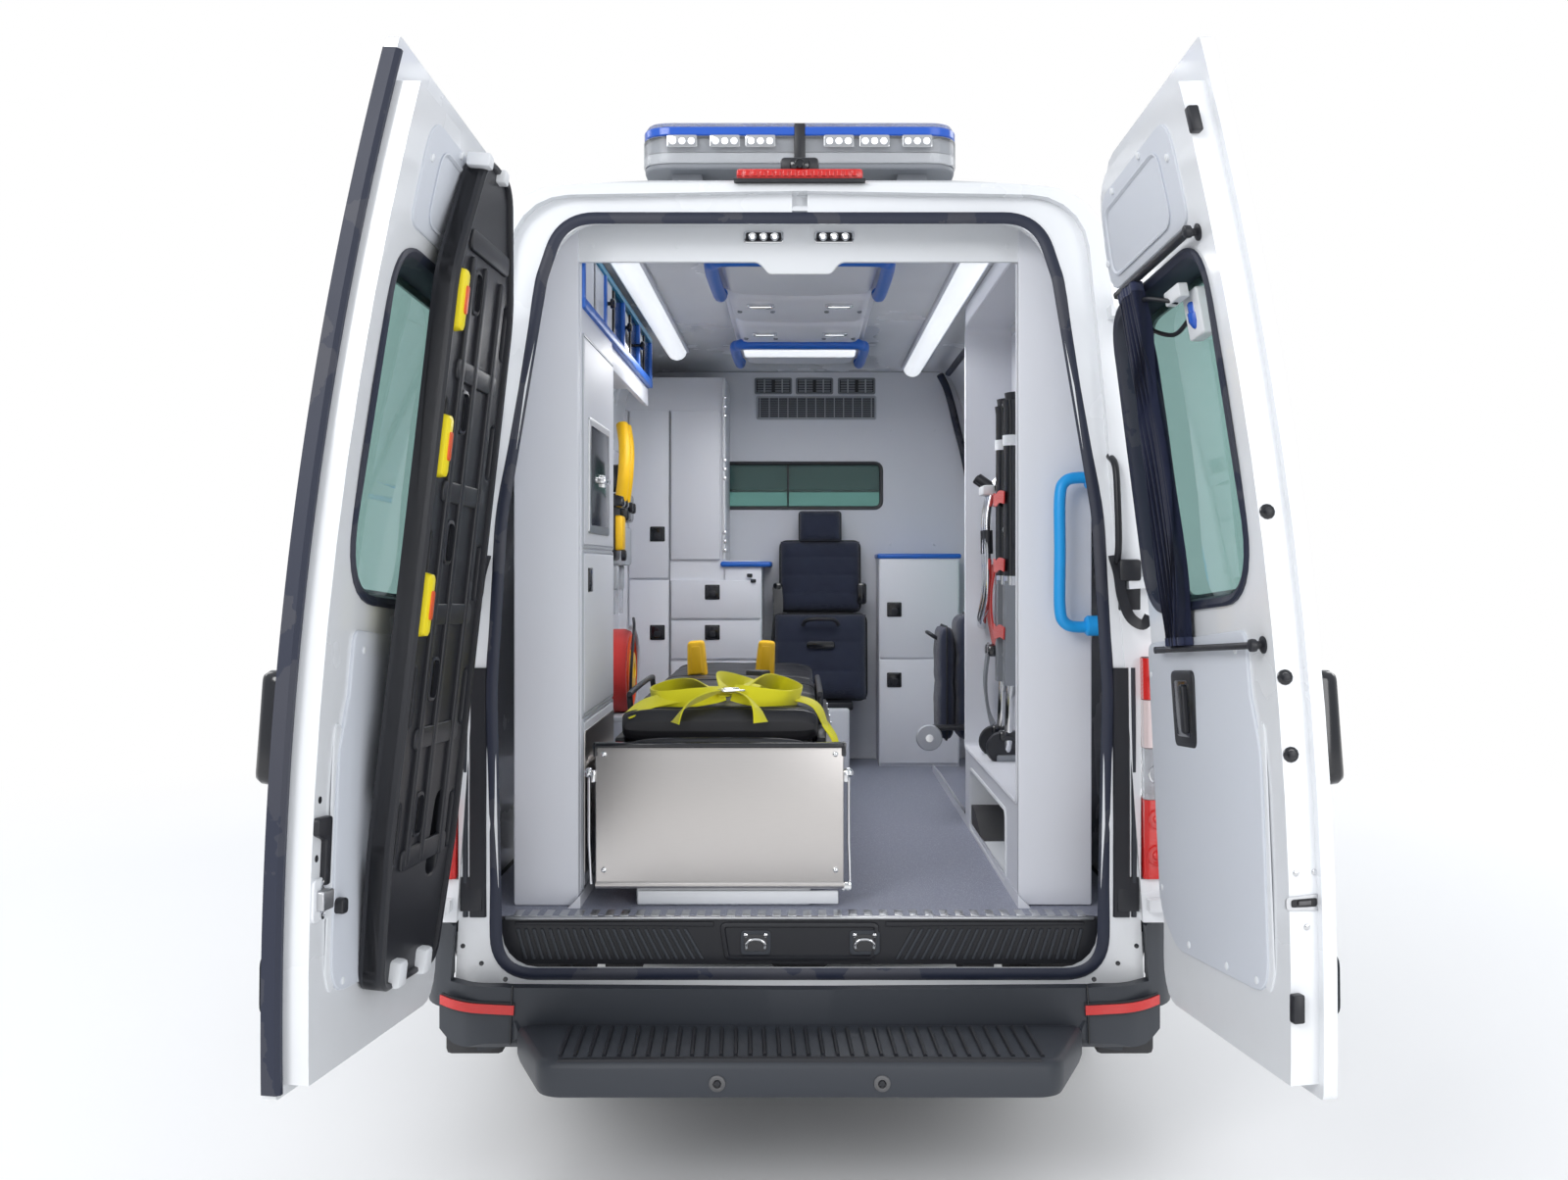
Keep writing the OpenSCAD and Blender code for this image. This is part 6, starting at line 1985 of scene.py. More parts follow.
@dataclass
class StretcherSet:
    """Loading table, flap, stretcher frame, mattress and belts."""

    axis_y: float = 220.0

    def build(self) -> None:
        """Builds the whole set."""
        self._table()
        self._flap()
        self._frame()
        self._mattress()
        self._belts()

    @staticmethod
    def _table() -> None:
        """Adds the loading table."""
        b = Bench("loading_table")
        b.block((200, -30, 684), (2220, 440, 735), COVER, 8)
        b.block((230, -60, 735), (2200, 500, 1018), STEEL, 8)
        b.block((200, -110, 1018), (2220, 554, 1050), STEEL, 7)
        for y in (-66, 506):
            b.block((260, y - 4, 780), (2160, y + 4, 800), ALUMINIUM, 3)
            b.block((260, y - 4, 940), (2160, y + 4, 960), ALUMINIUM, 3)
        for d in range(320, 2200, 230):
            for y in (-111, 555):
                b.at = facing((d, y, 1034), RIGHT if y < 0 else LEFT)
                b.lathe([(8, -1), (8, 2), (4, 4)], CHROME, 10)
                b.at = Matrix.Identity(4)
        b.done("stretcher_table", slot="stainless")

    @staticmethod
    def _flap() -> None:
        """Adds the steel flap and its stays."""
        b = Bench("loading_flap_sheet", "loading_flap")
        b.block((174, -118, 752), (184, 546, 1120), STEEL, 3, 3)
        b.block((154, -118, 1114), (184, 546, 1128), GLOSS, 5, 3)
        b.block((170, -124, 1090), (186, -112, 1128), GLOSS, 3)
        b.block((170, 540, 1090), (186, 552, 1128), GLOSS, 3)
        b.tube([(180, -118, 746), (180, 546, 746)], 11, STEEL, 16)
        for y in (-96, 524):
            b.at = facing((173, y, 1096), REAR)
            b.lathe([(7, -2), (7, 3), (4, 5), (1, 5)], CHROME, 14)
            b.at = facing((173, y, 786), REAR)
            b.lathe([(7, -2), (7, 3), (4, 5), (1, 5)], CHROME, 14)
            b.at = Matrix.Identity(4)
        for y in (552, -124):
            b.block((168, y - 6, 1020), (190, y + 6, 1052), CHROME, 4)
        b.done("loading_flap", slot="stainless")
        side = Bench("flap_stays")
        for y in (566, -132):
            side.tube([(196, y, 1040), (196, y, 860), (206, y - 4, 742)], 4.5, CHROME, 10)
            side.at = facing((190, y, 1044), REAR)
            side.lathe([(10, -8), (13, -4), (13, 4), (10, 8), (3, 10)], CHROME, 16)
            side.at = Matrix.Identity(4)
        side.block((186, -140, 726), (206, -112, 750), CHROME, 5)
        side.block((192, -104, 690), (202, 436, 726), COVER, 4)
        side.done()

    def _frame(self) -> None:
        """Adds the stretcher's rails, feet and yellow grips."""
        b = Bench("stretcher_frame")
        for y in (-60, 500):
            b.tube([(250, y, 1090), (2160, y, 1090)], 17, SATIN, 14)
            b.block((320, y - 14, 1102), (2100, y + 14, 1124), SATIN, 8)
            for d in (280, 760, 1240, 1720, 2130):
                b.block((d - 26, y - 22, 1050), (d + 26, y + 22, 1100), GLOSS, 9)
            rail = smooth_path([(640, y, 1110), (640, y * 1.02, 1196), (700, y * 1.02, 1216),
                                (1240, y * 1.02, 1216),
                                (1300, y * 1.02, 1196), (1300, y, 1110)], 5)
            b.tube(rail, 9, SATIN, 10)
        for d in (280, 900, 1500, 2130):
            b.tube([(d, -60, 1090), (d, 500, 1090)], 14, ALUMINIUM, 12)
        end = smooth_path([(262, -60, 1090), (232, -40, 1100), (226, 60, 1120), (226, 380, 1120),
                           (232, 480, 1100),
                           (262, 500, 1090)], 6)
        b.tube(end, 13, SATIN, 12)
        for y in (-64, 504):
            b.block((240, y - 26, 1056), (330, y + 26, 1108), GLOSS, 12)
            b.at = facing((238, y, 1082), REAR)
            b.lathe([(17, -4), (17, 6), (12, 10), (6, 10), (5, 7), (1, 7)], SATIN, 18)
            b.at = Matrix.Identity(4)
        for y in (128, 371):
            grip = rounded([(-36, 0), (36, 0), (32, 130), (-28, 130)], [8, 8, 16, 16], 4)
            lean = Matrix.Rotation(math.radians(4 if y > 200 else -3), 4, "Z")
            b.at = facing((1540, y, 1196), REAR) @ lean
            b.loft([(grown(grip, -5), -34), (grip, -28), (grip, 22), (grown(grip, -4), 30),
                    (grown(grip, -12), 33)],
                   AMBER_GRIP)
            b.pad(rounded([(-20, 14), (20, 14), (18, 112), (-14, 112)], 8), 4, AMBER_GRIP, 2, 31)
            b.block((-20, -90, -20), (20, 4, 10), SATIN, 8)
            b.at = Matrix.Identity(4)
        b.done("stretcher", slot="tube")

    def _mattress(self) -> None:
        """Adds the three-part mattress."""
        b = Bench("mattress_pad")
        sections = [(278, 860), (868, 1480), (1488, 2134)]
        width, low, high = 540.0, 1112.0, 1204.0
        for i, (d0, d1) in enumerate(sections):
            def skin(u: float, v: float, d0: float = d0, d1: float = d1, i: int = i) -> Point:
                """Returns a point of a mattress part.

                Args:
                    u: Share of the way across, from 0 to 1.
                    v: Share of the way up, from 0 to 1.
                    d0: Depth where it starts.
                    d1: Depth where it ends.
                    i: Number of the part.

                Returns:
                    The point.
                """
                angle = 2 * math.pi * u
                along = v * 2 - 1
                c, s = math.cos(angle), math.sin(angle)
                power = 0.42
                y = math.copysign(abs(c) ** power, c) * width / 2
                z = math.copysign(abs(s) ** power, s) * (high - low) / 2
                cap = math.sqrt(max(1 - max(abs(along) - 0.93, 0) ** 2 / 0.07 ** 2, 0))
                crown = (1 + 0.22 * math.cos(math.pi * y / width) * math.cos(math.pi * along / 2)
                         if z > 0 else 1)
                wrinkle = (2.2 * math.sin(y * 0.035 + 9 * v + i) * math.sin(v * 22 + y * 0.01)
                           if z > 0 else 0)
                y *= 0.965 + 0.035 * cap
                return (d0 + (d1 - d0) * v, self.axis_y + y,
                        (low + high) / 2 + (z * crown + wrinkle) * (0.3 + 0.7 * cap))
            b.surface(64, 44, skin, VINYL, closed_u=True)
            for v in (0.0, 1.0):
                ring = [skin(k / 64, v) for k in range(64)]
                b.add(ring, [tuple(range(64))], VINYL)
            seam = [skin(k / 48, 0.5 if i == 1 else 0.06 + 0.88 * (i == 2)) for k in range(48)]
            b.tube([(p[0], p[1], p[2] + (1 if p[2] > 1158 else -1)) for p in seam], 2.2, SATIN, 6,
                   closed=True)
        made = b.done("mattress", slot="cushion", smooth=75)

    def _belts(self) -> None:
        """Adds the loose knotted belts."""
        b = Bench("patient_belts")
        rng = random.Random(7)

        def ribbon(points: Sequence[Point], width: float, twist: float = 0.0, finish: Finish = NEON) -> None:
            """Adds a length of webbing that twists along its way.

            Args:
                points: Points that it runs through.
                width: Width.
                twist: Turn halfway along, in radians.
                finish: Finish.
            """
            path = smooth_path(points, 7)
            count = len(path)
            side: Vector | None = None
            verts: list[Vector] = []
            for i, p in enumerate(path):
                along = (path[min(i + 1, count - 1)] - path[max(i - 1, 0)]).normalized()
                base = Vector((0, 0, 1)).cross(along) if side is None else side - along * side.dot(along)
                side = base.normalized() if base.length > 1e-4 else Vector((0, 1, 0))
                turn = Matrix.Rotation(twist * math.sin(math.pi * i / (count - 1)), 3, along)
                edge = turn @ side
                up = along.cross(edge)
                ripple = 2.5 * math.sin(i * 0.9 + rng.random() * 0.3)
                for x, t in ((-0.5, -1), (0.5, -1), (0.5, 1), (0.46, 1.8), (-0.46, 1.8), (-0.5, 1)):
                    verts.append(p + edge * (x * width) + up * (t * 1.1 + ripple * (1 - 4 * x * x)))
            faces: list[Sequence[int]] = []
            for i in range(count - 1):
                for k in range(6):
                    m = (k + 1) % 6
                    faces.append((i * 6 + k, i * 6 + m, i * 6 + 6 + m, i * 6 + 6 + k))
            faces += [tuple(range(6)), tuple((count - 1) * 6 + k for k in range(6))]
            b.add(verts, faces, finish)

        y0 = 190
        ribbon([(300, y0 + 290, 1180), (330, y0 + 230, 1216), (360, y0 + 120, 1236), (390, y0 + 10, 1240)],
               52, 0.5)
        ribbon([(330, y0 + 12, 1236), (420, y0 + 90, 1262), (470, y0 + 170, 1250), (430, y0 + 230, 1228),
                (350, y0 + 200, 1222), (330, y0 + 90, 1234), (340, y0 + 20, 1242)], 54, 1.1)
        ribbon([(340, y0 - 6, 1240), (430, y0 - 70, 1276), (500, y0 - 130, 1256), (440, y0 - 190, 1232),
                (360, y0 - 150, 1224), (330, y0 - 60, 1236), (335, y0 - 4, 1246)], 54, -1.0)
        ribbon([(350, y0 + 6, 1246), (300, y0 + 60, 1242), (262, y0 + 120, 1216), (246, y0 + 150, 1170)],
               50, 0.6)
        ribbon([(350, y0 - 6, 1246), (296, y0 - 40, 1240), (262, y0 - 70, 1214), (246, y0 - 84, 1172)], 50,
               -0.6)
        ribbon([(380, y0 - 20, 1236), (420, y0 - 140, 1228), (400, y0 - 230, 1208), (380, y0 - 262, 1150)],
               46, 0.3)
        ribbon([(560, y0 + 280, 1150), (570, y0 + 180, 1222), (560, y0 + 40, 1234), (590, y0 - 120, 1226),
                (570, y0 - 262, 1150)], 50, 0.25)
        ribbon([(450, y0 + 20, 1250), (520, y0 + 40, 1268), (600, y0 - 20, 1250), (560, y0 - 90, 1238)], 48,
               1.4)
        for x in (300, 420):
            ribbon([(x, y0 - 258, 1160), (x - 20, y0 - 286, 1120), (x - 10, y0 - 300, 1070)], 20, 0.2)
        b.at = facing((318, y0, 1252), UP, 20)
        b.plate(box_outline(-34, -26, 34, 26, 7), [box_outline(-24, -16, 24, -3, 3),
                                                   box_outline(-24, 3, 24, 16, 3)],
                0, 5, CHROME, 1.2)
        b.block((-22, -3, 4), (22, 3, 9), CHROME, 2)
        b.at = facing((470, y0 - 70, 1284), UP, -30)
        b.pad(box_outline(-30, -22, 30, 22, 6), 14, SATIN, 4)
        b.at = Matrix.Identity(4)
        b.done()


# ---------------------------------------------------------------------------
# Cab, front end, sides and roof
# ---------------------------------------------------------------------------


@dataclass
class Cab:
    """Dashboard trim, steering wheel and seats."""

    def build(self) -> None:
        """Builds the cab's pieces."""
        self._dash()
        self._wheel()
        self._seats()

    @staticmethod
    def _dash() -> None:
        """Adds the dashboard top, screen, vents and pedals."""
        b = Bench("dash_trim")
        b.block((4420, -876, 1200), (4880, 876, 1262), DARK, 24, 3)
        b.block((4362, 260, 1180), (4560, 620, 1330), SATIN, 40, 3)
        b.block((4356, -150, 960), (4400, 150, 1236), GREY, 16)
        b.block((4350, -110, 1090), (4362, 110, 1214), GLOSS, 6)
        for y in (-100, -50, 0, 50, 100):
            b.at = facing((4352, y, 1030), REAR)
            b.lathe([(16, -2), (16, 8), (12, 11), (1, 11)], SATIN, 18)
            b.at = Matrix.Identity(4)
        for y in (-780, -230, 230, 780):
            b.at = facing((4372, y, 1170), REAR)
            b.frame_rim(box_outline(-60, -28, 60, 28, 10), [(-2, 0), (5, 0), (5, 7), (0, 8)], GREY)
            for k in range(4):
                b.block((-54, -22 + 12 * k, 0), (54, -18 + 12 * k, 6), SATIN, 1.5)
            b.at = Matrix.Identity(4)
        b.block((4366, -640, 1010), (4378, -240, 1120), GREY, 8)
        b.block((4420, -105, 880), (4560, 105, 960), SATIN, 20)
        b.tube([(4460, 40, 940), (4430, 40, 1040)], 9, SATIN, 10)
        b.at = facing((4428, 40, 1050), UP)
        b.lathe([(12, -12), (22, 0), (22, 16), (12, 26), (1, 28)], GLOSS, 18)
        b.at = Matrix.Identity(4)
        for y in (330, 440, 520):
            b.block((4640, y, 700), (4660, y + 60, 760), RUBBER, 8)
            b.tube([(4650, y + 30, 740), (4690, y + 30, 900)], 7, IRON, 8)
        b.done()

    @staticmethod
    def _wheel() -> None:
        """Adds the steering wheel."""
        def turned(p: Vector) -> Vector:
            """Maps the wheel's own drawing to its column."""
            lean = Matrix.Rotation(math.radians(-62), 3, "Y")
            return van(Vector((4240, 430, 1240)) + lean @ p)

        b = Bench("steering_wheel_set", "steering_wheel", turned)
        b.tube([(185 * math.cos(a), 185 * math.sin(a), 0) for a in (k * math.pi / 32 for k in range(64))], 14,
               SATIN, 14, closed=True)
        for a in (60, 180, 300):
            b.at = Matrix.Rotation(math.radians(a), 4, "Z")
            b.block((30, -18, -10), (178, 18, 6), SATIN, 6)
            b.block((70, -10, 4), (120, 10, 10), GREY, 3)
        b.at = Matrix.Identity(4)
        b.lathe([(20, -150), (20, -40), (52, -24), (60, -10), (60, 8), (48, 18), (1, 22)], DARK, 36)
        b.done("steering_wheel", slot="dark_trim")

    @staticmethod
    def _seats() -> None:
        """Adds both cab seats and their belts."""
        b = Bench("cab_seat_bases")
        for y in (430, -430):
            b.block((3570, y - 185, 604), (3970, y + 185, 800), SATIN, 12)
            b.block((3540, y + 190, 700), (3900, y + 232, 860), GREY, 12)
            for k in (-60, 60):
                b.tube([(3432, y + k, 1520), (3432, y + k, 1620)], 7, CHROME, 10)
            at = facing((3790, y, 890), UP) @ Matrix.Rotation(math.radians(2), 4, "X")
            Seats._cushion(f"cab_squab_{'left' if y > 0 else 'right'}", (480, 540, 130), 4, at, fill=0.85)
            at = facing((3500, y, 1240), FRONT) @ Matrix.Rotation(math.radians(-10), 4, "X")
            Seats._cushion(f"cab_back_{'left' if y > 0 else 'right'}", (470, 640, 130), 5, at, fill=0.85)
            at = facing((3434, y, 1690), FRONT) @ Matrix.Rotation(math.radians(-4), 4, "X")
            Seats._cushion(f"cab_rest_{'left' if y > 0 else 'right'}", (260, 190, 96), 0, at, fill=0.85)
            b.sweep(smooth_path([(3420, y + 200, 1400), (3560, y + 60, 1250), (3640, y - 120, 1020),
                                 (3650, y - 210, 960)], 6), [(-23, -1.5), (23, -1.5), (23, 1.5), (-23, 1.5)],
                    SATIN, up=(1, 0, 0.2))
        b.done("cab_seats", slot="seat_cover")


def side_y(d: float, z: float) -> float:
    """Returns the outer skin's half width at a depth and height, from the shell itself.

    Args:
        d: Depth ahead of the rear plane in millimetres.
        z: Height in millimetres.

    Returns:
        The distance from the middle plane in millimetres.
    """
    start = Vector((REAR_X + d * MM, 2.5, z * MM))
    best = 0.0
    for name in ("side_left", "front_door_left", "front_wings", "cab_shell", "front_bumper", "roof"):
        node = frame["nodes"][name]
        inverse = node.matrix_world.inverted()
        hit, place, _, _ = node.ray_cast(inverse @ start, inverse.to_3x3() @ Vector((0, -1, 0)))
        if hit:
            best = max(best, (node.matrix_world @ place).y / MM)
    return best


@dataclass
class Sides:
    """Mouldings, handles, seams, arch lips and mirrors along both sides."""

    def build(self) -> None:
        """Builds both sides."""
        self._mouldings()
        self._handles()
        self._mirrors()
        self._seams()
        self._window_seals()

    @staticmethod
    def _mouldings() -> None:
        """Adds the mouldings, arch lips and sills."""
        b = Bench("side_mouldings")
        spans = [(340, 780), (1690, 3370), (3420, 4430)]
        for s in SIDES:
            for d0, d1 in spans:
                count = max(int((d1 - d0) / 110), 2)
                rows = []
                for i in range(count + 1):
                    d = d0 + (d1 - d0) * i / count
                    ease = min(i, count - i, 1)
                    rows.append([(d, s * (side_y(d, z) + lift * (0.4 + 0.6 * ease)), z) for z, lift in
                                 ((846, 1), (834, 13), (760, 16), (690, 13), (680, 1))])
                verts = [p for row in rows for p in row]
                faces = [(i * 5 + k, i * 5 + k + 1, i * 5 + k + 6, i * 5 + k + 5) for i in range(count)
                         for k in range(4)]
                faces += [tuple(range(5)), tuple(count * 5 + k for k in range(5))]
                b.add(verts, faces, DARK)
            for centre, z0 in ((1231, 355), (4896, 355)):
                path = []
                for k in range(31):
                    a = math.radians(-12 + 204 * k / 30)
                    d, z = centre + 412 * math.cos(a), z0 + 412 * math.sin(a)
                    y = side_y(centre + 425 * math.cos(a), z0 + 425 * math.sin(a))
                    path.append((d, s * max(y - 4, 930), z))
                b.tube(path, 13, DARK, 10)
            path = [(d, s * (side_y(d, 470) - 12), 400) for d in range(1720, 4400, 120)]
            b.sweep(path, [(-18, -46), (14, -46), (14, 50), (-18, 50)], DARK, up=(0, 0, 1))
        b.done()

    @staticmethod
    def _handles() -> None:
        """Adds the door handles, slide rail and fuel flap."""
        for s, tag in ((1, "left"), (-1, "right")):
            b = Bench(f"cab_door_trim_{tag}", f"front_door_{tag}")
            y = s * side_y(3540, 1168)
            b.block((3462, y - s * 4, 1140), (3620, y + s * 2, 1196), SATIN, 3)
            b.block((3468, y, 1152), (3612, y + s * 24, 1184), SATIN, 12, 3)
            b.at = facing((3450, y + s * 1, 1168), LEFT if s > 0 else RIGHT)
            b.lathe([(13, -2), (13, 3), (8, 4), (1, 3)], CHROME, 18)
            b.at = Matrix.Identity(4)
            b.done()
        b = Bench("sliding_door_trim")
        y = -side_y(2960, 1168)
        b.block((2900, y - 24, 1150), (3050, y, 1184), SATIN, 12, 3)
        b.block((2892, y - 3, 1138), (3058, y + 3, 1196), SATIN, 3)
        b.done()
        rail = Bench("slide_rail")
        path = [(d, -(side_y(d, 1250) + 2), 1250) for d in range(420, 1810, 90)]
        rail.sweep(path, [(-4, -16), (6, -16), (6, 16), (-4, 16)], GREY, up=(0, 0, 1))
        rail.done()
        cap = Bench("fuel_flap")
        y = side_y(3385, 1000)
        cap.at = facing((3370, y - 1, 780), LEFT)
        cap.pad(box_outline(-26, 120, 26, 230, 12), 3, WHITE, 1.5)
        cap.done()

    @staticmethod
    def _mirrors() -> None:
        """Adds the two-part mirrors."""
        for s, tag in ((1, "left"), (-1, "right")):
            b = Bench(f"mirror_{tag}", f"front_door_{tag}")
            shape = rounded([(-82, -165), (82, -165), (82, 165), (-82, 165)], [26, 20, 40, 30], 6)
            b.at = facing((4384, s * 1132, 1434), REAR)
            b.frame_rim(shape, [(-12, -6), (2, -8), (6, 0), (3, 6), (-6, 6), (-12, 0)], SATIN)
            upper = rounded([(-72, -58), (72, -58), (72, 152), (-72, 152)], 22)
            b.plate(upper, [], -3, 1, MIRROR, 0.6)
            b.plate(rounded([(-72, -154), (72, -154), (72, -72), (-72, -72)], 18), [], -3, 1, MIRROR, 0.6)
            b.block((-74, -70, -2), (74, -60, 3), SATIN, 2)
            b.at = Matrix.Identity(4)
            cover = rounded([(-82, -165), (82, -165), (82, 165), (-82, 165)], 40, 6)
            b.at = facing((4470, s * 1132, 1434), FRONT)
            b.loft([(cover, -64), (grown(cover, -4), -14), (grown(cover, -22), 6), (grown(cover, -44), 12)],
                   DARK)
            b.block((-84, 92, -40), (84, 104, 9), AMBER, 4)
            b.at = Matrix.Identity(4)
            b.tube([(4420, s * 965, 1330), (4424, s * 1010, 1326), (4426, s * 1060, 1322)], 22, SATIN, 14)
            b.done()

    @staticmethod
    def _seams() -> None:
        """Adds the panel seams and pressed window fields."""
        b = Bench("body_seams")
        for s in SIDES:
            for d in (1640, 3340) if s > 0 else (1640,):
                path = [(d, s * (side_y(d, z) + 0.4), z) for z in range(880, 2300, 60)]
                b.tube(path, 2.4, GREY, 6)
            for z in (1300,):
                for d0, d1 in ((420, 1600), (1700, 3300)) if s > 0 else ():
                    path = [(d, s * (side_y(d, z) + 0.4), z) for d in range(d0, d1, 90)]
                    b.tube(path, 3, WHITE, 6)
            for d0, d1 in ((500, 1560), (1760, 3050)) if s > 0 else ((500, 1560),):
                ring = dense(box_outline(d0, 1390, d1, 2060, 90, 7))
                b.tube([(x, s * (side_y(x, z) + 0.6), z) for x, z in ring], 4, WHITE, 8, closed=True)
        b.done()

    @staticmethod
    def _window_seals() -> None:
        """Adds the seals of the side windows."""
        for s, tag in ((1, "left"), (-1, "right")):
            b = Bench(f"cab_window_seal_{tag}", f"front_door_{tag}")
            ring = rounded([(3480, 1350), (4400, 1350), (4060, 1880), (3480, 1895)], [60, 30, 70, 70], 6)
            cx, cz = 3860, 1610
            out = []
            for x, z in dense(ring):
                reach = math.hypot(x - cx, z - cz)
                ox, oz = x + (x - cx) / reach * 16, z + (z - cz) / reach * 16
                out.append((x, s * (side_y(ox, oz) - 1), z))
            b.tube(out, 10, SATIN, 10, closed=True)
            b.done()
        b = Bench("slide_window_seal")
        ring = dense(box_outline(2010, 1345, 2898, 2010, 80, 7))
        b.tube([(x, -(side_y(x, z) - 1), z) for x, z in ring], 11, SATIN, 10, closed=True)
        b.done()


def front_x(y: float, z: float) -> float:
    """Returns the depth of the front skin at a side distance and height.

    Args:
        y: Distance to the left.
        z: Height.

    Returns:
        The depth in millimetres.
    """
    start = Vector((5.0, y * MM, z * MM))
    best = -9.0
    for name in ("front_bumper", "grille", "headlamps", "bonnet", "front_wings"):
        node = frame["nodes"][name]
        hit, place, _, _ = node.ray_cast(start, Vector((-1, 0, 0)))
        if hit:
            best = max(best, place.x)
    return (best - REAR_X) / MM


@dataclass
class FrontEnd:
    """Grille bars, headlamp insides, bumper trim, wipers and screen seal."""

    def build(self) -> None:
        """Builds the front."""
        self._grille()
        self._headlamps()
        self._bumper()
        self._wipers()

    @staticmethod
    def _grille() -> None:
        """Adds the grille bars and the plain boss."""
        b = Bench("grille_bars")
        for i in range(4):
            z = 851 + 50 * i
            path = [(front_x(y, z - 18) + 2, y, z) for y in range(-480, 481, 60)]
            b.sweep(path, [(-11, -7), (5, -9), (8, 0), (5, 9), (-11, 7)], SATIN if i % 2 else CHROME,
                    up=(0, 0, 1))
            for y in range(-460, 461, 40):
                d = front_x(y, z - 18) - 22
                b.block((d, y - 3, z - 22), (d + 12, y + 3, z + 22), SATIN, 1.5)
        outline = disc_outline(0, 0, 52, 40)
        b.at = facing((front_x(0, 930) + 2, 0, 930), FRONT)
        b.loft([(outline, -20), (outline, 2), (grown(outline, -8), 9), (grown(outline, -40), 11)], SATIN)
        b.at = Matrix.Identity(4)
        b.done()

    @staticmethod
    def _headlamps() -> None:
        """Adds the reflectors and light strips."""
        b = Bench("headlamp_inner")
        for s in SIDES:
            for y, z, r, shift in ((640, 900, 52, 46), (745, 930, 56, 54), (835, 955, 36, 52)):
                d = front_x(s * y, z) - shift
                b.at = facing((d, s * y, z), FRONT)
                b.lathe([(r * 0.35, -30), (r * 0.8, -16), (r, 10), (r + 5, 12), (r + 5, 6), (r * 0.9, -20)],
                        CHROME, 28)
                b.lathe([(r * 0.5, -22), (r * 0.5, -8), (r * 0.3, 2), (1, 5)], CLEAR, 24)
                b.at = Matrix.Identity(4)
            path = [(front_x(s * y, 850) - 40, s * y, 842 + (y - 590) * 0.12) for y in range(590, 840, 40)]
            b.tube(path, 8, AMBER, 10)
            path = [(front_x(s * y, 990) - 44, s * y, 990 + (y - 590) * 0.06) for y in range(590, 840, 40)]
            b.tube(path, 9, LED, 10)
        b.done()

    @staticmethod
    def _bumper() -> None:
        """Adds the intake bars, fog lamps and blank plate."""
        b = Bench("front_bumper_trim")
        for i in range(5):
            z = 436 + 27 * i
            path = [(front_x(y, z) - 2, y, z) for y in range(-500, 501, 50)]
            b.sweep(path, [(-9, -4), (4, -5), (4, 5), (-9, 4)], SATIN, up=(0, 0, 1))
        for s in SIDES:
            d = front_x(s * 710, 500)
            b.at = facing((d + 2, s * 710, 500), FRONT)
            b.lathe([(46, -22), (50, -4), (46, 2), (40, -2), (38, -6)], CHROME, 28)
            b.lathe([(38, -10), (36, -3), (18, 3), (1, 5)], CLEAR, 24)
            b.at = Matrix.Identity(4)
        b.at = facing((front_x(0, 620) + 1, 0, 620), FRONT)
        b.plate(box_outline(-262, -58, 262, 58, 8), [], 0, 4, SATIN, 1.5)
        b.plate(box_outline(-256, -52, 256, 52, 6), [], 3, 6, COVER, 1)
        b.at = Matrix.Identity(4)
        b.done()

    @staticmethod
    def _wipers() -> None:
        """Adds the wipers, cowl strip and screen seal."""
        b = Bench("wipers")
        for y0, y1 in ((640, 60), (40, -560)):
            a, c = (5040, y0, 1372), (4926, y1, 1500)
            b.tube(smooth_path([a, (5030, y0 - 60, 1392), (4984, (y0 + y1) / 2, 1440), c], 5), 6, SATIN, 8)
            b.sweep([(4992, y1 + 300, 1425), (4926, y1 - 10, 1500), (4872, y1 - 190, 1562)],
                    [(-4, -9), (4, -9), (3, 9), (-3, 9)], SATIN, up=(0.65, 0, 0.75))
        b.block((5000, -740, 1318), (5062, 740, 1332), SATIN, 5)
        ring = rounded([(-800, 1395), (800, 1395), (745, 2030), (-745, 2030)], [60, 60, 90, 90], 6)
        node = frame["nodes"]["cab_shell"]
        path = []
        for y, z in dense(ring, 110):
            oy, oz = y * 1.02, 1712 + (z - 1712) * 1.03
            hit, place, _, _ = node.ray_cast(Vector((5, oy * MM, oz * MM)), Vector((-1, 0, 0)))
            depth = (place.x - REAR_X) / MM if hit else 5060 - (z - 1330) * 0.874
            path.append((depth + (oz - z) * 0.874, y, z))
        b.tube(path, 12, SATIN, 10, closed=True)
        b.done()


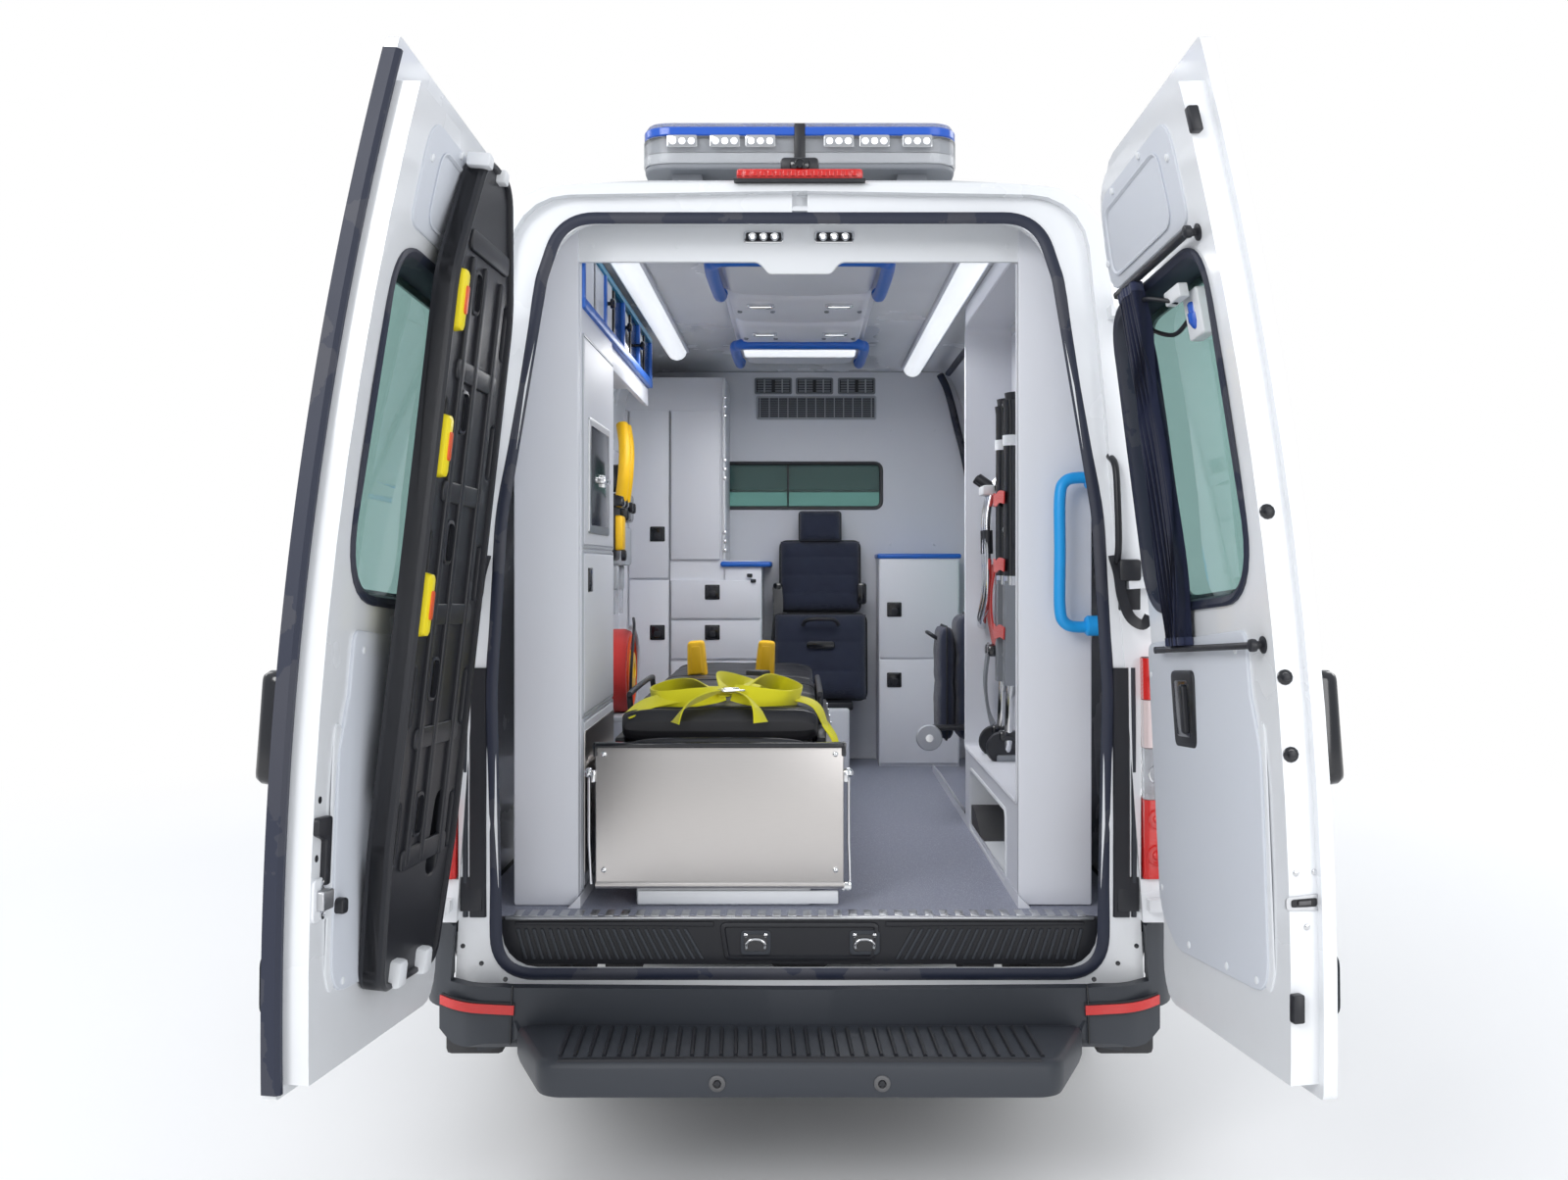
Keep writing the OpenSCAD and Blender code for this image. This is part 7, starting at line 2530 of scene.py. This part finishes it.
@dataclass
class Roof:
    """Light bars and the cooling unit."""

    def build(self) -> None:
        """Builds what stands on the roof."""
        self._bars()
        self._unit()

    @staticmethod
    def _bars() -> None:
        """Adds both light bars on their feet."""
        b = Bench("light_bar_set")
        for d in (355, 3420):
            d1 = d + 290
            shape = box_outline(d, -445, d1, 445, 90, 8)
            for z0, z1, inset, finish in ((2713, 2730, 4, GREY), (2730, 2806, 0, CLEAR),
                                          (2806, 2832, 1, BLUE_LENS)):
                b.loft([(grown(shape, -inset - 4), z0), (grown(shape, -inset), z0 + 4),
                        (grown(shape, -inset), z1 - 4),
                        (grown(shape, -inset - 4), z1)], finish)
            b.loft([(grown(shape, -3), 2830), (grown(shape, -12), 2844), (grown(shape, -60), 2850)], CLEAR)
            b.loft([(grown(shape, -16), 2734), (grown(shape, -16), 2760)], COVER)
            b.loft([(grown(shape, -22), 2762), (grown(shape, -26), 2802)], PALE_GREY)
            b.block((d - 3, -16, 2732), (d1 + 3, 16, 2840), SATIN, 6)
            for face, depth in ((REAR, d + 3), (FRONT, d1 - 3)):
                for y in (-330, -210, -110, 110, 210, 330):
                    b.at = facing((depth, y, 2790), face)
                    b.pad(box_outline(-42, -17, 42, 17, 5), 4, CHROME, 1)
                    for k in (-1, 0, 1):
                        b.lathe([(10, 2), (9, 6), (4, 8), (1, 8)], LED, 12) if k == 0 else b.loft(
                            [(disc_outline(26 * k, 0, r, 12), h) for r, h in ((10, 2), (9, 6), (4, 8))], LED)
                    b.at = Matrix.Identity(4)
            for s in SIDES:
                b.sweep([(d + 60, s * 320, 2700), (d + 230, s * 320, 2700)],
                        [(-40, 18), (40, 18), (52, -52), (-52, -52)], GREY, up=(0, 0, 1))
                for x in (d + 90, d + 200):
                    b.bolt((x, s * 366, 2672), LEFT if s > 0 else RIGHT, 8, CHROME, 5)
                b.block((d + 120, s * 280, 2706), (d + 170, s * 360, 2716), SATIN, 4)
        b.done("light_bars", slot="beacon")

    @staticmethod
    def _unit() -> None:
        """Adds the cooling unit's slots and fans."""
        b = Bench("cooling_unit_trim")
        for y in (-380, 0, 380):
            b.at = facing((824, y, 2700), REAR)
            b.frame_rim(box_outline(-160, -34, 160, 34, 12), [(-2, -6), (6, -6), (6, 3), (0, 5)], GREY)
            for k in range(6):
                b.block((-156, -28 + 10 * k, -4), (156, -23 + 10 * k, 4), GREY, 1.5)
            b.at = Matrix.Identity(4)
        for d in (1150, 1620):
            b.at = facing((d, 0, 2786), UP)
            b.lathe([(178, -4), (178, 3), (168, 6), (160, 2)], GREY, 48)
            for k in range(7):
                r = 24 + 21 * k
                b.frame_rim(disc_outline(0, 0, r, 40), [(0, 0), (3, 0), (3, 4), (0, 5)], GREY)
            for k in range(8):
                keep = b.at
                b.at = keep @ Matrix.Rotation(math.radians(45 * k), 4, "Z")
                b.block((18, -2.5, 0), (164, 2.5, 5), GREY, 1)
                b.at = keep
            b.lathe([(26, 0), (26, 6), (18, 9), (1, 9)], PALE_GREY, 24)
            b.at = Matrix.Identity(4)
        b.done()


@dataclass
class Wheels:
    """Tyres with tread, steel rims and nuts."""

    def build(self) -> None:
        """Builds all four wheels."""
        for name, d, s in (("front_left", 4896, 1), ("front_right", 4896, -1), ("rear_left", 1231, 1),
                           ("rear_right", 1231, -1)):
            self._wheel(name, d, s)

    @staticmethod
    def _wheel(name: str, d: float, s: int) -> None:
        """Adds one wheel with tread, rim, nuts and valve.

        Args:
            name: Name of the piece.
            d: Depth.
            s: Side, 1 or -1.
        """
        b = Bench(f"tyre_{name}", f"wheel_{name}")
        b.at = Matrix.Translation((d, s * 855, 355)) @ Matrix.Rotation(-s * math.pi / 2, 4, "X")
        bead = 203 + 4
        wall = [(bead, -94), (bead + 12, -104), (bead + 40, -114), (290, -117), (322, -116), (338, -108),
                (347, -96), (350, -84)]
        crown = [(352, -70), (353, -40), (353, 0), (353, 40), (352, 70)]
        rest = [(r, -h) for r, h in reversed(wall)]
        b.lathe([*wall, *crown, *rest, (bead - 6, 90), (bead - 6, -90)], RUBBER, 96)
        for r, h in ((236, 115), (262, 116.4), (300, 116)):
            for side in SIDES:
                b.frame_rim(disc_outline(0, 0, r, 72), [(0, side * (h - 1)), (1.6, side * (h + 1)),
                                                        (3.2, side * (h - 1))],
                            RUBBER)
        verts, faces = [], []
        count = 80
        for i in range(count):
            a = 2 * math.pi * i / count
            for lane, (y0, y1) in enumerate(((-92, -58), (-50, -18), (-11, 11), (18, 50), (58, 92))):
                shift = 0.5 * (lane % 2) * 2 * math.pi / count
                wide = 2 * math.pi / count * 0.40
                lean = 0.012 * (1 if lane > 2 else -1) * (lane != 2)
                base = len(verts)
                for r in (346, 355.0):
                    out = r - (1.8 if abs(y0 + y1) > 120 else 0) * (r > 350)
                    q = wide * (1.0 if r < 350 else 0.9)
                    for y, aa in ((y0, a + shift - q - lean), (y1, a + shift - q + lean),
                                  (y1, a + shift + q + lean), (y0, a + shift + q - lean)):
                        verts.append((out * math.cos(aa), out * math.sin(aa), y))
                faces += [(base + 4, base + 5, base + 6, base + 7)]
                faces += [(base + k, base + (k + 1) % 4, base + 4 + (k + 1) % 4,
                           base + 4 + k) for k in range(4)]
        b.add(verts, faces, RUBBER)
        rim = [(205, -96), (214, -98), (216, -92), (204, -86), (196, -70), (184, -20), (178, 20), (186, 60),
               (204, 82),
               (216, 92), (214, 98), (206, 97), (198, 86), (180, 70), (166, 40)]
        b.lathe([*rim, (150, 44), (120, 58), (96, 66), (86, 60), (84, 50), (96, 44), (140, 30), (166, 20),
                 (176, -90)],
                ALUMINIUM, 64)
        b.lathe([(64, 48), (64, 66), (58, 78), (40, 84), (1, 86)], SATIN, 40)
        for k in range(6):
            keep = b.at
            b.at = keep @ Matrix.Rotation(math.radians(60 * k + 30), 4, "Z") @ Matrix.Translation((98, 0, 58))
            b.lathe([(15, 0), (13, 10), (13, 22), (9, 26), (1, 26)], CHROME, 6)
            b.at = keep
        for k in range(8):
            keep = b.at
            b.at = keep @ Matrix.Rotation(math.radians(45 * k), 4, "Z") @ Matrix.Translation((142, 0, 44))
            hole = rounded([(-13, -22), (13, -22), (13, 22), (-13, 22)], 12, 4)
            b.frame_rim(hole, [(-1, -8), (3, -2), (1, 5), (-2, 4)], ALUMINIUM)
            # A gloss black plate fills each hole: painted shade in place of the dark space behind the rim.
            b.plate(grown(hole, -1), [], -2, 3, GLOSS, 0.5)
            b.at = keep
        b.tube([(192, 0, 80), (180, 8, 92), (168, 14, 100)], 4, SATIN, 8)
        b.done(f"wheel_{name}", slot="tyre_rim", smooth=30)


@dataclass
class Underside:
    """Brake lines, fasteners and heat shields that show from below."""

    def build(self) -> None:
        """Builds the underside details."""
        b = Bench("underbody_lines")
        for y in (520, -520):
            b.tube(smooth_path([(4700, y, 520), (4200, y, 500), (3400, y * 1.02, 490), (2200, y, 490),
                                (1900, y * 0.7, 470), (1300, y * 0.5, 470)], 5), 6, IRON, 8)
        for d in range(500, 4300, 420):
            for s in SIDES:
                b.at = facing((d, s * 465, 500 if d < 3300 else 430), DOWN)
                b.lathe([(14, -2), (14, 8), (8, 10), (1, 10)], IRON, 6)
                b.at = Matrix.Identity(4)
        b.tube(smooth_path([(1810, -250, 400), (1600, -300, 420), (1500, -560, 440), (1760, -760, 420),
                            (1800, -900, 400)], 6), 26, ALUMINIUM, 14)
        for d in (2800, 3200, 2050):
            b.block((d, -370, 380), (d + 30, -130, 388), IRON, 2)
        b.done()
        springs = Bench("leaf_springs")
        for s in SIDES:
            for k in range(3):
                reach = 600 - 150 * k
                z = 405 - 9 * k
                springs.sweep([(1251 + reach * t, s * 545,
                                z + 14 * t * t) for t in (-1, -0.6, -0.2, 0.2, 0.6, 1)],
                              [(-34, -4), (34, -4), (34, 4), (-34, 4)], IRON, up=(0, 0, 1))
            springs.tube([(1231, s * 545, 380), (1231, s * 545, 440)], 12, IRON, 10)
            springs.tube([(1151, s * 385, 396), (1191, s * 440, 600)], 22, SATIN, 14)
        springs.done()


def main() -> None:
    """Builds the ambulance's looks in order."""
    logging.basicConfig(level=logging.INFO, format="%(message)s")
    steps = (Studio(), Shells(), Sides(), FrontEnd(), RearDoor(1), RearDoor(-1), RearEnd(), Room(), Seats(),
             StretcherSet(), Cab(), Roof(), Wheels(), Underside())
    for step in steps:
        step.build()
        log.info("built %s", type(step).__name__)


if __name__ == "__main__":
    main()
